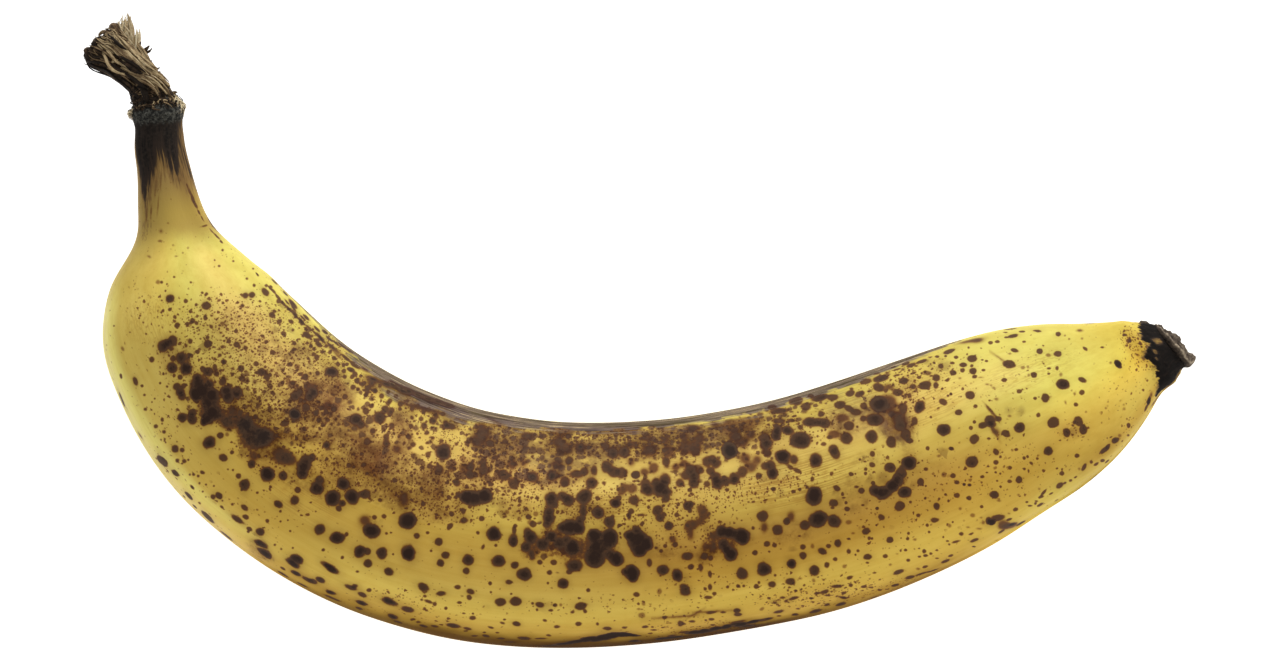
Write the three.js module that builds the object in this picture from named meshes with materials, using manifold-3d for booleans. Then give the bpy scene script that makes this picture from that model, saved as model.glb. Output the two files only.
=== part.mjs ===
// A whole ripe plantain lying on its side: a long curved fruit with five soft ridges, a dried
// black-collared stem with a torn fibrous end, and a short dried blossom disc at the tip.
// Millimetres, +Z up. The bend of the fruit lies in the XY plane, the fruit rests on Z = 0.
import * as THREE from "three";
import { mergeVertices } from "three/addons/utils/BufferGeometryUtils.js";
import Module from "manifold-3d";

// ---- driving dimensions (mm, degrees) -------------------------------------------------
const THICKNESS_RATIO = 0.96; // height of a section over its width
const SIDES = 36; // vertices round each section
const RIDGE_FACETS = [54, 110, 176, 258, 340]; // facet directions, from the inner curve towards +Z
const RIDGE_POWER = 6; // higher is sharper ridges
const RIDGE_BODY = 0.52; // 0 round, 1 fully five-sided, along the body
const RIDGE_STEM = 0.35;
const TIP_RAKE = 0.23; // slope of the blossom disc's face, which looks a little upwards
const TORN_RAKE = 0.18; // the same for the torn end of the stem
const TORN_NOTCH = 1.1; // depth of the notches in the torn end
const DIMPLE = 0.6; // depth of the hollow in the blossom disc
const ORIGIN_SHIFT = [-0.11, 0.31]; // puts the origin under the middle of the fruit's box

// Sections from the torn stem end to the tip: centre x, y, z; heading in XY; half width.
const SECTIONS = [
  [-105.59, 56.55, 24.22, -42.0, 2.73],
  [-104.81, 56.06, 24.16, -43.0, 4.49],
  [-103.55, 55.09, 24.02, -43.0, 5.27],
  [-101.44, 53.61, 23.77, -43.0, 4.78],
  [-99.16, 51.46, 23.44, -44.0, 4.0],
  [-97.09, 49.34, 23.13, -49.0, 3.65],
  [-95.47, 46.96, 22.85, -60.0, 3.72],
  [-94.45, 44.75, 22.65, -74.0, 4.36],
  [-93.86, 43.0, 22.5, -83.0, 4.81],
  [-93.67, 41.63, 22.4, -86.0, 4.92],
  [-93.53, 40.27, 22.3, -86.0, 4.69],
  [-93.42, 38.71, 22.2, -86.0, 4.73],
  [-93.33, 35.96, 22.03, -85.0, 4.97],
  [-92.73, 32.26, 21.82, -83.5, 5.18],
  [-92.15, 28.36, 21.62, -82.0, 5.59],
  [-91.56, 24.46, 21.44, -81.0, 6.19],
  [-90.88, 21.17, 21.31, -80.5, 6.89],
  [-90.31, 18.07, 21.2, -80.0, 8.31],
  [-90.01, 15.11, 21.1, -79.0, 10.63],
  [-89.82, 11.91, 21.0, -77.2, 13.29],
  [-89.23, 8.97, 20.93, -75.0, 15.24],
  [-88.42, 6.1, 20.88, -72.2, 16.92],
  [-86.53, 0.46, 20.82, -65.9, 19.01],
  [-83.59, -4.73, 20.64, -59.5, 20.11],
  [-80.32, -9.73, 20.43, -53.7, 21.05],
  [-76.65, -14.42, 20.39, -48.3, 21.68],
  [-72.48, -18.67, 20.55, -42.9, 22.08],
  [-67.82, -22.38, 20.78, -37.9, 22.25],
  [-62.93, -25.78, 21.01, -33.5, 22.56],
  [-57.86, -28.9, 21.17, -29.3, 22.7],
  [-52.55, -31.62, 21.26, -25.2, 22.75],
  [-47.05, -33.99, 21.29, -21.2, 22.9],
  [-41.35, -35.84, 21.23, -17.3, 22.69],
  [-35.61, -37.6, 21.18, -13.4, 22.69],
  [-29.73, -38.68, 21.12, -9.7, 22.69],
  [-23.81, -39.45, 21.0, -6.2, 22.5],
  [-17.88, -39.94, 20.84, -3.1, 22.31],
  [-11.94, -40.04, 20.7, -0.4, 22.18],
  [-6.0, -39.94, 20.59, 1.9, 22.09],
  [-0.08, -39.54, 20.47, 4.1, 21.92],
  [5.85, -39.08, 20.34, 6.2, 21.87],
  [11.75, -38.25, 20.22, 8.1, 21.6],
  [17.64, -37.3, 20.18, 9.9, 21.71],
  [23.51, -36.23, 20.17, 11.7, 21.54],
  [29.36, -35.07, 20.18, 13.8, 21.74],
  [35.12, -33.51, 20.14, 16.2, 21.58],
  [40.79, -31.68, 20.05, 18.5, 21.58],
  [46.38, -29.64, 19.86, 20.4, 21.31],
  [51.94, -27.51, 19.61, 22.0, 21.11],
  [57.41, -25.17, 19.24, 23.4, 20.7],
  [62.89, -22.85, 18.73, 24.3, 20.25],
  [68.19, -20.12, 18.05, 24.6, 19.42],
  [73.56, -17.63, 17.39, 24.2, 18.55],
  [79.07, -15.55, 17.01, 24.0, 17.76],
  [84.35, -13.32, 16.92, 24.5, 16.23],
  [89.44, -10.85, 17.02, 26.5, 13.69],
  [93.1, -8.72, 17.26, 28.5, 11.57],
  [96.38, -6.43, 17.76, 31.0, 9.46],
  [98.51, -4.91, 18.21, 34.0, 8.24],
  [100.46, -4.12, 18.65, 37.5, 7.67],
  [101.84, -3.51, 19.03, 38.5, 6.56],
  [103.04, -2.99, 19.26, 37.0, 6.08],
  [104.15, -2.9, 19.4, 36.5, 5.56],
  [105.13, -2.9, 19.49, 36.0, 5.06],
  [105.71, -2.94, 19.49, 36.0, 4.28],
];
const TORN_RINGS = 5; // sections that lean with the torn end
const TIP_RINGS = 9; // sections that lean with the blossom disc
const NECK_FROM = 14; // section where the round stem starts to take the body's ridges
const BODY_FROM = 23;

// Torn fibres that stand clear of the stem's end: points x, y, z, r.
const FIBRES = [
  [[-99.6, 55.6, 24.4, 1.0], [-100.6, 58.0, 25.2, 0.8], [-101.3, 60.0, 25.8, 0.55], [-101.0, 61.3, 26.1, 0.3]],
  [[-99.9, 54.6, 23.2, 1.0], [-100.2, 57.2, 22.6, 0.85], [-99.8, 59.4, 22.2, 0.6], [-98.5, 61.2, 22.0, 0.3]],
  [[-98.9, 53.2, 24.6, 1.0], [-98.2, 55.8, 25.1, 0.8], [-97.8, 57.8, 25.4, 0.35]],
  [[-97.6, 52.6, 23.4, 0.9], [-96.6, 54.9, 23.3, 0.7], [-95.3, 55.6, 23.2, 0.35]],
  [[-98.0, 51.6, 25.4, 0.8], [-96.4, 53.6, 26.0, 0.6], [-94.9, 54.4, 26.2, 0.3]],
  [[-94.6, 47.9, 23.6, 0.8], [-93.4, 49.8, 24.0, 0.5], [-92.9, 51.1, 24.2, 0.3]],
];
// Hard lumps on the torn end and the collar: x, y, z, r.
const LUMPS = [
  [-106.9, 53.9, 24.2, 1.35],
  [-106.3, 51.6, 23.0, 1.25],
  [-102.4, 59.2, 23.8, 1.35],
  [-104.6, 58.0, 25.6, 1.2],
  [-98.3, 42.2, 22.6, 1.1],
  [-89.2, 43.6, 22.2, 1.1],
];
const PEEL_COLOUR = 0xcfae4e;
const PEEL_ROUGHNESS = 0.5;

// ---- section shape --------------------------------------------------------------------
const RAD = Math.PI / 180;
function pentagon(a) {
  let sum = 0;
  for (const f of RIDGE_FACETS)
    sum += Math.max(0, Math.cos(a - f * RAD)) ** RIDGE_POWER;
  const r = sum ** (-1 / RIDGE_POWER);
  return [r * Math.cos(a), r * Math.sin(a)];
}
const span = [Infinity, -Infinity, Infinity, -Infinity];
for (let i = 0; i < 720; i++) {
  const [u, w] = pentagon((i * Math.PI) / 360);
  span[0] = Math.min(span[0], u);
  span[1] = Math.max(span[1], u);
  span[2] = Math.min(span[2], w);
  span[3] = Math.max(span[3], w);
}
// Unit section at angle a: u towards the inner curve, w up, both from -1 to 1.
function section(a, ridge) {
  const [pu, pw] = pentagon(a);
  const u = (2 * (pu - span[0])) / (span[1] - span[0]) - 1;
  const w = (2 * (pw - span[2])) / (span[3] - span[2]) - 1;
  return [
    ridge * u + (1 - ridge) * Math.cos(a),
    ridge * w + (1 - ridge) * Math.sin(a),
  ];
}
const smooth = (x) => {
  const t = Math.min(1, Math.max(0, x));
  return t * t * (3 - 2 * t);
};

// ---- the fruit's solid ----------------------------------------------------------------
function fruitGeometry() {
  const points = [];
  const index = [];
  const n = SECTIONS.length;
  SECTIONS.forEach(([x, y, z, heading, half], i) => {
    const t = [Math.cos(heading * RAD), Math.sin(heading * RAD)];
    const side = [-t[1], t[0]]; // towards the inner curve
    const ridge =
      RIDGE_STEM +
      (RIDGE_BODY - RIDGE_STEM) * smooth((i - NECK_FROM) / (BODY_FROM - NECK_FROM));
    const torn = smooth(1 - i / TORN_RINGS);
    const tip = smooth((i - (n - 1 - TIP_RINGS)) / TIP_RINGS);
    for (let k = 0; k < SIDES; k++) {
      const a = (2 * Math.PI * k) / SIDES;
      const [u, w] = section(a, ridge);
      const du = u * half;
      const dz = w * half * THICKNESS_RATIO;
      let along = dz * (torn * TORN_RAKE - tip * TIP_RAKE);
      if (i < 2)
        along +=
          TORN_NOTCH * (0.5 + 0.3 * Math.sin(3 * a + 0.6) + 0.2 * Math.sin(7 * a + 2));
      points.push(
        x + side[0] * du + t[0] * along,
        y + side[1] * du + t[1] * along,
        Math.max(0, z + dz),
      );
    }
  });
  for (let i = 0; i + 1 < n; i++)
    for (let k = 0; k < SIDES; k++) {
      const a = i * SIDES + k;
      const b = i * SIDES + ((k + 1) % SIDES);
      index.push(a, b, a + SIDES, b, b + SIDES, a + SIDES);
    }
  // torn end: one fan
  const [x0, y0, z0] = SECTIONS[0];
  points.push(x0, y0, z0);
  const c0 = points.length / 3 - 1;
  for (let k = 0; k < SIDES; k++) index.push(c0, (k + 1) % SIDES, k);
  // blossom disc: a fan to a point set back in the disc
  const [x1, y1, z1, h1] = SECTIONS[n - 1];
  points.push(
    x1 - DIMPLE * Math.cos(h1 * RAD),
    y1 - DIMPLE * Math.sin(h1 * RAD),
    z1,
  );
  const c1 = points.length / 3 - 1;
  const last = (n - 1) * SIDES;
  for (let k = 0; k < SIDES; k++)
    index.push(c1, last + k, last + ((k + 1) % SIDES));
  const g = new THREE.BufferGeometry();
  g.setAttribute("position", new THREE.Float32BufferAttribute(points, 3));
  g.setIndex(index);
  return g;
}

// A fibre: a closed tube of six sides that tapers along its points.
function fibreGeometry(path, sides = 6) {
  const curve = new THREE.CatmullRomCurve3(
    path.map(([x, y, z]) => new THREE.Vector3(x, y, z)),
  );
  const steps = (path.length - 1) * 2;
  const frames = curve.computeFrenetFrames(steps, false);
  const points = [];
  const index = [];
  for (let i = 0; i <= steps; i++) {
    const p = curve.getPoint(i / steps);
    const f = (i / steps) * (path.length - 1);
    const j = Math.min(path.length - 2, Math.floor(f));
    const r = path[j][3] + (path[j + 1][3] - path[j][3]) * (f - j);
    for (let k = 0; k < sides; k++) {
      const a = (2 * Math.PI * k) / sides;
      const q = p
        .clone()
        .addScaledVector(frames.normals[i], r * Math.cos(a))
        .addScaledVector(frames.binormals[i], r * Math.sin(a));
      points.push(q.x, q.y, q.z);
    }
  }
  for (let i = 0; i < steps; i++)
    for (let k = 0; k < sides; k++) {
      const a = i * sides + k;
      const b = i * sides + ((k + 1) % sides);
      index.push(a, b, a + sides, b, b + sides, a + sides);
    }
  const p0 = curve.getPoint(0);
  const p1 = curve.getPoint(1);
  points.push(p0.x, p0.y, p0.z, p1.x, p1.y, p1.z);
  const c = points.length / 3 - 2;
  for (let k = 0; k < sides; k++) {
    index.push(c, (k + 1) % sides, k);
    index.push(c + 1, steps * sides + k, steps * sides + ((k + 1) % sides));
  }
  const g = new THREE.BufferGeometry();
  g.setAttribute("position", new THREE.Float32BufferAttribute(points, 3));
  g.setIndex(index);
  return g;
}

const wasm = await Module();
wasm.setup();
function solid(geometry) {
  const g = geometry.clone();
  for (const name of Object.keys(g.attributes))
    if (name !== "position") g.deleteAttribute(name);
  const merged = mergeVertices(g, 1e-4);
  const mesh = (tri) =>
    new wasm.Manifold(
      new wasm.Mesh({
        numProp: 3,
        vertProperties: new Float32Array(merged.attributes.position.array),
        triVerts: tri,
      }),
    );
  const tri = new Uint32Array(merged.index.array);
  const made = mesh(tri);
  if (made.volume() > 0) return made;
  for (let i = 0; i < tri.length; i += 3)
    [tri[i + 1], tri[i + 2]] = [tri[i + 2], tri[i + 1]];
  return mesh(tri);
}

let fruit = solid(fruitGeometry());
for (const path of FIBRES) fruit = fruit.add(solid(fibreGeometry(path)));
for (const [x, y, z, r] of LUMPS)
  fruit = fruit.add(
    solid(new THREE.SphereGeometry(r, 10, 7).translate(x, y, z)),
  );

const made = fruit.getMesh();
const geometry = new THREE.BufferGeometry();
const flat = new Float32Array(made.numVert * 3);
for (let i = 0; i < made.numVert; i++)
  for (let k = 0; k < 3; k++)
    flat[3 * i + k] = made.vertProperties[made.numProp * i + k];
geometry.setAttribute("position", new THREE.BufferAttribute(flat, 3));
geometry.setIndex(new THREE.BufferAttribute(new Uint32Array(made.triVerts), 1));
geometry.computeVertexNormals();

const plantain = new THREE.Mesh(
  geometry,
  new THREE.MeshStandardMaterial({
    color: PEEL_COLOUR,
    roughness: PEEL_ROUGHNESS,
    metalness: 0,
  }),
);
plantain.name = "plantain";

plantain.position.set(ORIGIN_SHIFT[0], ORIGIN_SHIFT[1], 0);

const part = new THREE.Group();
part.add(plantain);
export default part;
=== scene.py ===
import math
import bpy
import numpy as np
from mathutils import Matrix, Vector


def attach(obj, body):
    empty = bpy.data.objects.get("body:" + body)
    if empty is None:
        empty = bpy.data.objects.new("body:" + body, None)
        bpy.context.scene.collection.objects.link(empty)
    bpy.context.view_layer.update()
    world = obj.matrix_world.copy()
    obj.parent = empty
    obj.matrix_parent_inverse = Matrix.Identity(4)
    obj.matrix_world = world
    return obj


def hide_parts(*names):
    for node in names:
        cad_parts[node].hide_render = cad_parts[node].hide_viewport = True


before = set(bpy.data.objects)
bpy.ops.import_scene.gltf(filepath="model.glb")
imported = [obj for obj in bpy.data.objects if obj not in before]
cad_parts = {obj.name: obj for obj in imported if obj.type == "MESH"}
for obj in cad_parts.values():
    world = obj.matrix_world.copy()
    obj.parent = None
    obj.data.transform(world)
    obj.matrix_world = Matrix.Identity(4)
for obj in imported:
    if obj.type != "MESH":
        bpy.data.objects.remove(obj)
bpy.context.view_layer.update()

MM = 0.001
RNG = np.random.default_rng(20417)

# ------------------------------------------------------------------ the fruit's sections
# Centre x, y, z; heading in the plane of the bend (degrees); half width. Millimetres.
SHIFT = (-0.11, 0.31)
SECTIONS = np.array([
    [-105.59, 56.55, 24.22, -42.0, 2.73], [-104.81, 56.06, 24.16, -43.0, 4.49],
    [-103.55, 55.09, 24.02, -43.0, 5.27], [-101.44, 53.61, 23.77, -43.0, 4.78],
    [-99.16, 51.46, 23.44, -44.0, 4.0], [-97.09, 49.34, 23.13, -49.0, 3.65],
    [-95.47, 46.96, 22.85, -60.0, 3.72], [-94.45, 44.75, 22.65, -74.0, 4.36],
    [-93.86, 43.0, 22.5, -83.0, 4.81], [-93.67, 41.63, 22.4, -86.0, 4.92],
    [-93.53, 40.27, 22.3, -86.0, 4.69], [-93.42, 38.71, 22.2, -86.0, 4.73],
    [-93.33, 35.96, 22.03, -85.0, 4.97], [-92.73, 32.26, 21.82, -83.5, 5.18],
    [-92.15, 28.36, 21.62, -82.0, 5.59], [-91.56, 24.46, 21.44, -81.0, 6.19],
    [-90.88, 21.17, 21.31, -80.5, 6.89], [-90.31, 18.07, 21.2, -80.0, 8.31],
    [-90.01, 15.11, 21.1, -79.0, 10.63], [-89.82, 11.91, 21.0, -77.2, 13.29],
    [-89.23, 8.97, 20.93, -75.0, 15.24], [-88.42, 6.1, 20.88, -72.2, 16.92],
    [-86.53, 0.46, 20.82, -65.9, 19.01], [-83.59, -4.73, 20.64, -59.5, 20.11],
    [-80.32, -9.73, 20.43, -53.7, 21.05], [-76.65, -14.42, 20.39, -48.3, 21.68],
    [-72.48, -18.67, 20.55, -42.9, 22.08], [-67.82, -22.38, 20.78, -37.9, 22.25],
    [-62.93, -25.78, 21.01, -33.5, 22.56], [-57.86, -28.9, 21.17, -29.3, 22.7],
    [-52.55, -31.62, 21.26, -25.2, 22.75], [-47.05, -33.99, 21.29, -21.2, 22.9],
    [-41.35, -35.84, 21.23, -17.3, 22.69], [-35.61, -37.6, 21.18, -13.4, 22.69],
    [-29.73, -38.68, 21.12, -9.7, 22.69], [-23.81, -39.45, 21.0, -6.2, 22.5],
    [-17.88, -39.94, 20.84, -3.1, 22.31], [-11.94, -40.04, 20.7, -0.4, 22.18],
    [-6.0, -39.94, 20.59, 1.9, 22.09], [-0.08, -39.54, 20.47, 4.1, 21.92],
    [5.85, -39.08, 20.34, 6.2, 21.87], [11.75, -38.25, 20.22, 8.1, 21.6],
    [17.64, -37.3, 20.18, 9.9, 21.71], [23.51, -36.23, 20.17, 11.7, 21.54],
    [29.36, -35.07, 20.18, 13.8, 21.74], [35.12, -33.51, 20.14, 16.2, 21.58],
    [40.79, -31.68, 20.05, 18.5, 21.58], [46.38, -29.64, 19.86, 20.4, 21.31],
    [51.94, -27.51, 19.61, 22.0, 21.11], [57.41, -25.17, 19.24, 23.4, 20.7],
    [62.89, -22.85, 18.73, 24.3, 20.25], [68.19, -20.12, 18.05, 24.6, 19.42],
    [73.56, -17.63, 17.39, 24.2, 18.55], [79.07, -15.55, 17.01, 24.0, 17.76],
    [84.35, -13.32, 16.92, 24.5, 16.23], [89.44, -10.85, 17.02, 26.5, 13.69],
    [93.1, -8.72, 17.26, 28.5, 11.57], [96.38, -6.43, 17.76, 31.0, 9.46],
    [98.51, -4.91, 18.21, 34.0, 8.24], [100.46, -4.12, 18.65, 37.5, 7.67],
    [101.84, -3.51, 19.03, 38.5, 6.56], [103.04, -2.99, 19.26, 37.0, 6.08],
    [104.15, -2.9, 19.4, 36.5, 5.56], [105.13, -2.9, 19.49, 36.0, 5.06],
    [105.71, -2.94, 19.49, 36.0, 4.28],
])
RIDGE_FACETS = np.radians([54, 110, 176, 258, 340])
RIDGE_POWER = 6
THICKNESS_RATIO = 0.96


def smoothstep(a, b, x):
    t = np.clip((np.asarray(x, float) - a) / (b - a), 0, 1)
    return t * t * (3 - 2 * t)


def natural_spline(x, y, q):
    """Natural cubic spline through the points (x, y), read at q."""
    n = len(x)
    h = np.diff(x)
    A = np.zeros((n, n))
    b = np.zeros(n)
    A[0, 0] = A[-1, -1] = 1
    for i in range(1, n - 1):
        A[i, i - 1], A[i, i], A[i, i + 1] = h[i - 1], 2 * (h[i - 1] + h[i]), h[i]
        b[i] = 6 * ((y[i + 1] - y[i]) / h[i] - (y[i] - y[i - 1]) / h[i - 1])
    m = np.linalg.solve(A, b)
    i = np.clip(np.searchsorted(x, q, side="right") - 1, 0, n - 2)
    d = q - x[i]
    return (
        y[i]
        + d * ((y[i + 1] - y[i]) / h[i] - h[i] * (2 * m[i] + m[i + 1]) / 6)
        + d * d * m[i] / 2
        + d**3 * (m[i + 1] - m[i]) / (6 * h[i])
    )


def blur(values, sigma):
    """Gaussian blur of an evenly spaced list, with its ends mirrored through their values."""
    r = int(3 * sigma) + 1
    k = np.exp(-0.5 * (np.arange(-r, r + 1) / sigma) ** 2)
    k /= k.sum()
    left = 2 * values[0] - values[r:0:-1]
    right = 2 * values[-1] - values[-2 : -r - 2 : -1]
    return np.convolve(np.concatenate([left, values, right]), k, "valid")


ARC = np.concatenate([[0], np.cumsum(np.hypot(*np.diff(SECTIONS[:, :2], axis=0).T))])
ARC_END = ARC[-1]
GRID = np.arange(0, ARC_END + 0.1, 0.2)
_raw = [natural_spline(ARC, SECTIONS[:, j], GRID) for j in range(5)]
_body = smoothstep(56, 72, GRID) * (1 - smoothstep(250, 262, GRID))
AXIS = []
for _v in _raw:
    fine, broad = blur(_v, 3), blur(_v, 25)
    AXIS.append(fine * (1 - _body) + broad * _body)


def axis_at(s):
    """Centre, heading (radians) and half width at arc length s."""
    x, y, z, h, w = (np.interp(s, GRID, v) for v in AXIS)
    return x + SHIFT[0], y + SHIFT[1], z, np.radians(h), w


def pentagon(a):
    total = sum(np.maximum(0, np.cos(a - f)) ** RIDGE_POWER for f in RIDGE_FACETS)
    r = total ** (-1 / RIDGE_POWER)
    return r * np.cos(a), r * np.sin(a)


_pu, _pw = pentagon(np.linspace(0, 2 * np.pi, 721)[:-1])
SPAN = (_pu.min(), _pu.max(), _pw.min(), _pw.max())


def section(a, ridge):
    """Unit section at angle a from the inner curve towards +Z."""
    pu, pw = pentagon(a)
    u = 2 * (pu - SPAN[0]) / (SPAN[1] - SPAN[0]) - 1
    w = 2 * (pw - SPAN[2]) / (SPAN[3] - SPAN[2]) - 1
    return ridge * u + (1 - ridge) * np.cos(a), ridge * w + (1 - ridge) * np.sin(a)


# ------------------------------------------------------------------ noise in numpy
def lattice(ix, iy, iz, seed):
    n = (ix * 374761393 + iy * 668265263 + iz * 2147483647 + seed * 974711) & 0xFFFFFFFF
    n = ((n ^ (n >> 13)) * 1274126177) & 0xFFFFFFFF
    n = (n ^ (n >> 16)) & 0xFFFFFFFF
    return n / 4294967295.0


def value_noise(p, seed=0):
    """Smooth noise from -1 to 1 at points p (n, 3)."""
    p = np.asarray(p, float)
    i = np.floor(p).astype(np.int64)
    f = p - i
    f = f * f * f * (f * (f * 6 - 15) + 10)
    out = 0
    for dx in (0, 1):
        for dy in (0, 1):
            for dz in (0, 1):
                w = (
                    (f[:, 0] if dx else 1 - f[:, 0])
                    * (f[:, 1] if dy else 1 - f[:, 1])
                    * (f[:, 2] if dz else 1 - f[:, 2])
                )
                out = out + w * lattice(i[:, 0] + dx, i[:, 1] + dy, i[:, 2] + dz, seed)
    return out * 2 - 1


def fbm(p, seed=0, octaves=4, gain=0.5):
    total, amp, norm = 0, 1.0, 0
    for o in range(octaves):
        total = total + amp * value_noise(np.asarray(p) * 2**o + 17.3 * o, seed + o)
        norm += amp
        amp *= gain
    return total / norm


# ------------------------------------------------------------------ the peel's surface
START = 16.4  # the peel begins at the collar of the torn stem
STEP = 0.45
SIDES = 152


PEEL_END = ARC_END - 1.5  # the rest lies under the dried cap


def ring_positions():
    s = [START]
    while s[-1] < PEEL_END:
        here = s[-1]
        step = STEP
        if here < 30:
            step = 0.3
        if here > 262:
            step = 0.2
        s.append(here + step)
    s[-1] = PEEL_END
    return np.array(s)


def surface(s, a, out=0.0):
    """Points of the peel at arc length s and angle a, pushed out by out (mm)."""
    x, y, z, h, half = axis_at(s)
    ridge = 0.35 + 0.17 * smoothstep(33, 62, s)
    u, w = section(a, ridge)
    tip = smoothstep(ARC_END - 14, ARC_END, s)
    du = u * (half + out)
    dz = w * (half * THICKNESS_RATIO + out)
    along = -dz * tip * 0.23
    px = x - np.sin(h) * du + np.cos(h) * along
    py = y + np.cos(h) * du + np.sin(h) * along
    pz = z + dz
    # the soft underside has settled flat
    pz = np.where(pz < 0.6, 0.15 * np.logaddexp(0, (pz - 0.02) / 0.15), pz)
    return np.stack([px, py, pz], -1)


RINGS = ring_positions()
ANGLES = np.linspace(0, 2 * np.pi, SIDES, endpoint=False)
S, A = np.meshgrid(RINGS, ANGLES, indexing="ij")
P = surface(S.ravel(), A.ravel()).reshape(len(RINGS), SIDES, 3)


# the dried rim of the collar and the wrinkled skin round the blossom end
_noise_p = np.stack([S * 0.9, np.cos(A) * 4.2, np.sin(A) * 4.2], -1).reshape(-1, 3)
_rough = fbm(_noise_p, 71, 3, 0.6).reshape(S.shape)
_away = P - P.mean(1, keepdims=True)
_away /= np.maximum(np.linalg.norm(_away, axis=-1, keepdims=True), 1e-6)
_rim = smoothstep(21.4, 19.2, S)
_lip = np.exp(-(((S - 19.0) / 1.1) ** 2)) * 0.30
_tipwrinkle = smoothstep(266.5, 271.5, S)
P = P - _away * (0.55 * smoothstep(ARC_END - 4.2, ARC_END - 1.4, S))[..., None]
P = P + _away * (_rim * (0.5 * _rough - 0.05) + _lip + _tipwrinkle * 0.22 * _rough)[..., None]


def closed_mesh(name, grid, caps=((0, None), (1, None))):
    """A closed mesh from rings of points (rings, sides, 3) in mm, with a fan at each end."""
    n, m = grid.shape[:2]
    start = grid[0].mean(0) if caps[0][1] is None else np.array(caps[0][1])
    end = grid[-1].mean(0) if caps[1][1] is None else np.array(caps[1][1])
    verts = np.concatenate([grid.reshape(-1, 3), [start, end]]) * MM
    i = np.arange(n - 1)[:, None] * m
    k = np.arange(m)[None, :]
    k2 = (k + 1) % m
    quads = np.stack([i + k, i + k2, i + m + k2, i + m + k], -1).reshape(-1, 4)
    k = np.arange(m)
    first = np.stack([np.full(m, n * m), (k + 1) % m, k], -1)
    base = (n - 1) * m
    last = np.stack([np.full(m, n * m + 1), base + k, base + (k + 1) % m], -1)
    faces = [tuple(f) for f in quads.tolist()] + [tuple(f) for f in first.tolist()] + [tuple(f) for f in last.tolist()]
    me = bpy.data.meshes.new(name)
    me.from_pydata(verts.tolist(), [], faces)
    me.update()
    me.shade_smooth()
    ob = bpy.data.objects.new(name, me)
    bpy.context.scene.collection.objects.link(ob)
    return ob


peel = closed_mesh("peel", P)


# ------------------------------------------------------------------ material helpers
class Nodes:
    def __init__(self, name):
        self.mat = bpy.data.materials.new(name)
        self.mat.use_nodes = True
        self.t = self.mat.node_tree
        self.t.nodes.clear()
        self.out = self.t.nodes.new("ShaderNodeOutputMaterial")
        self.bsdf = self.t.nodes.new("ShaderNodeBsdfPrincipled")
        self.t.links.new(self.bsdf.outputs[0], self.out.inputs[0])

    def put(self, socket, value):
        if value is None:
            return
        if hasattr(value, "is_linked") or hasattr(value, "links"):
            self.t.links.new(value, socket)
        else:
            socket.default_value = value

    def math(self, op, a, b=None, c=None, clamp=False):
        n = self.t.nodes.new("ShaderNodeMath")
        n.operation = op
        n.use_clamp = clamp
        for i, v in enumerate((a, b, c)):
            self.put(n.inputs[i], v)
        return n.outputs[0]

    def vmath(self, op, a, b=None, scale=None):
        n = self.t.nodes.new("ShaderNodeVectorMath")
        n.operation = op
        self.put(n.inputs[0], a)
        self.put(n.inputs[1], b)
        if scale is not None:
            self.put(n.inputs["Scale"], scale)
        return n.outputs["Value"] if op in ("LENGTH", "DISTANCE", "DOT_PRODUCT") else n.outputs[0]

    def attr(self, name):
        n = self.t.nodes.new("ShaderNodeAttribute")
        n.attribute_name = name
        return n

    def xyz(self, v):
        n = self.t.nodes.new("ShaderNodeSeparateXYZ")
        self.put(n.inputs[0], v)
        return n.outputs

    def vec(self, x, y, z):
        n = self.t.nodes.new("ShaderNodeCombineXYZ")
        for i, v in enumerate((x, y, z)):
            self.put(n.inputs[i], v)
        return n.outputs[0]

    def noise(self, p, scale, detail=3.0, rough=0.55, distort=0.0, color=False):
        n = self.t.nodes.new("ShaderNodeTexNoise")
        self.put(n.inputs["Vector"], p)
        self.put(n.inputs["Scale"], scale)
        self.put(n.inputs["Detail"], detail)
        self.put(n.inputs["Roughness"], rough)
        self.put(n.inputs["Distortion"], distort)
        return n.outputs["Color"] if color else n.outputs["Fac"]

    def voronoi(self, p, scale, feature="F1", randomness=1.0):
        n = self.t.nodes.new("ShaderNodeTexVoronoi")
        n.feature = feature
        self.put(n.inputs["Vector"], p)
        self.put(n.inputs["Scale"], scale)
        self.put(n.inputs["Randomness"], randomness)
        return n

    def ramp(self, v, a, b, lo=0.0, hi=1.0, smooth=True):
        n = self.t.nodes.new("ShaderNodeMapRange")
        n.interpolation_type = "SMOOTHSTEP" if smooth else "LINEAR"
        self.put(n.inputs["Value"], v)
        self.put(n.inputs["From Min"], a)
        self.put(n.inputs["From Max"], b)
        self.put(n.inputs["To Min"], lo)
        self.put(n.inputs["To Max"], hi)
        return n.outputs["Result"]

    def mix(self, fac, a, b, blend="MIX"):
        n = self.t.nodes.new("ShaderNodeMix")
        n.data_type = "RGBA"
        n.blend_type = blend
        self.put(n.inputs[0], fac)
        self.put(n.inputs[6], a)
        self.put(n.inputs[7], b)
        return n.outputs[2]

    def bump(self, height, strength, distance, normal=None):
        n = self.t.nodes.new("ShaderNodeBump")
        self.put(n.inputs["Height"], height)
        n.inputs["Strength"].default_value = strength
        n.inputs["Distance"].default_value = distance
        if normal is not None:
            self.put(n.inputs["Normal"], normal)
        return n.outputs[0]


def srgb(r, g, b):
    c = np.array([r, g, b]) / 255.0
    lin = np.where(c <= 0.04045, c / 12.92, ((c + 0.055) / 1.055) ** 2.4)
    return (float(lin[0]), float(lin[1]), float(lin[2]), 1.0)


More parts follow.
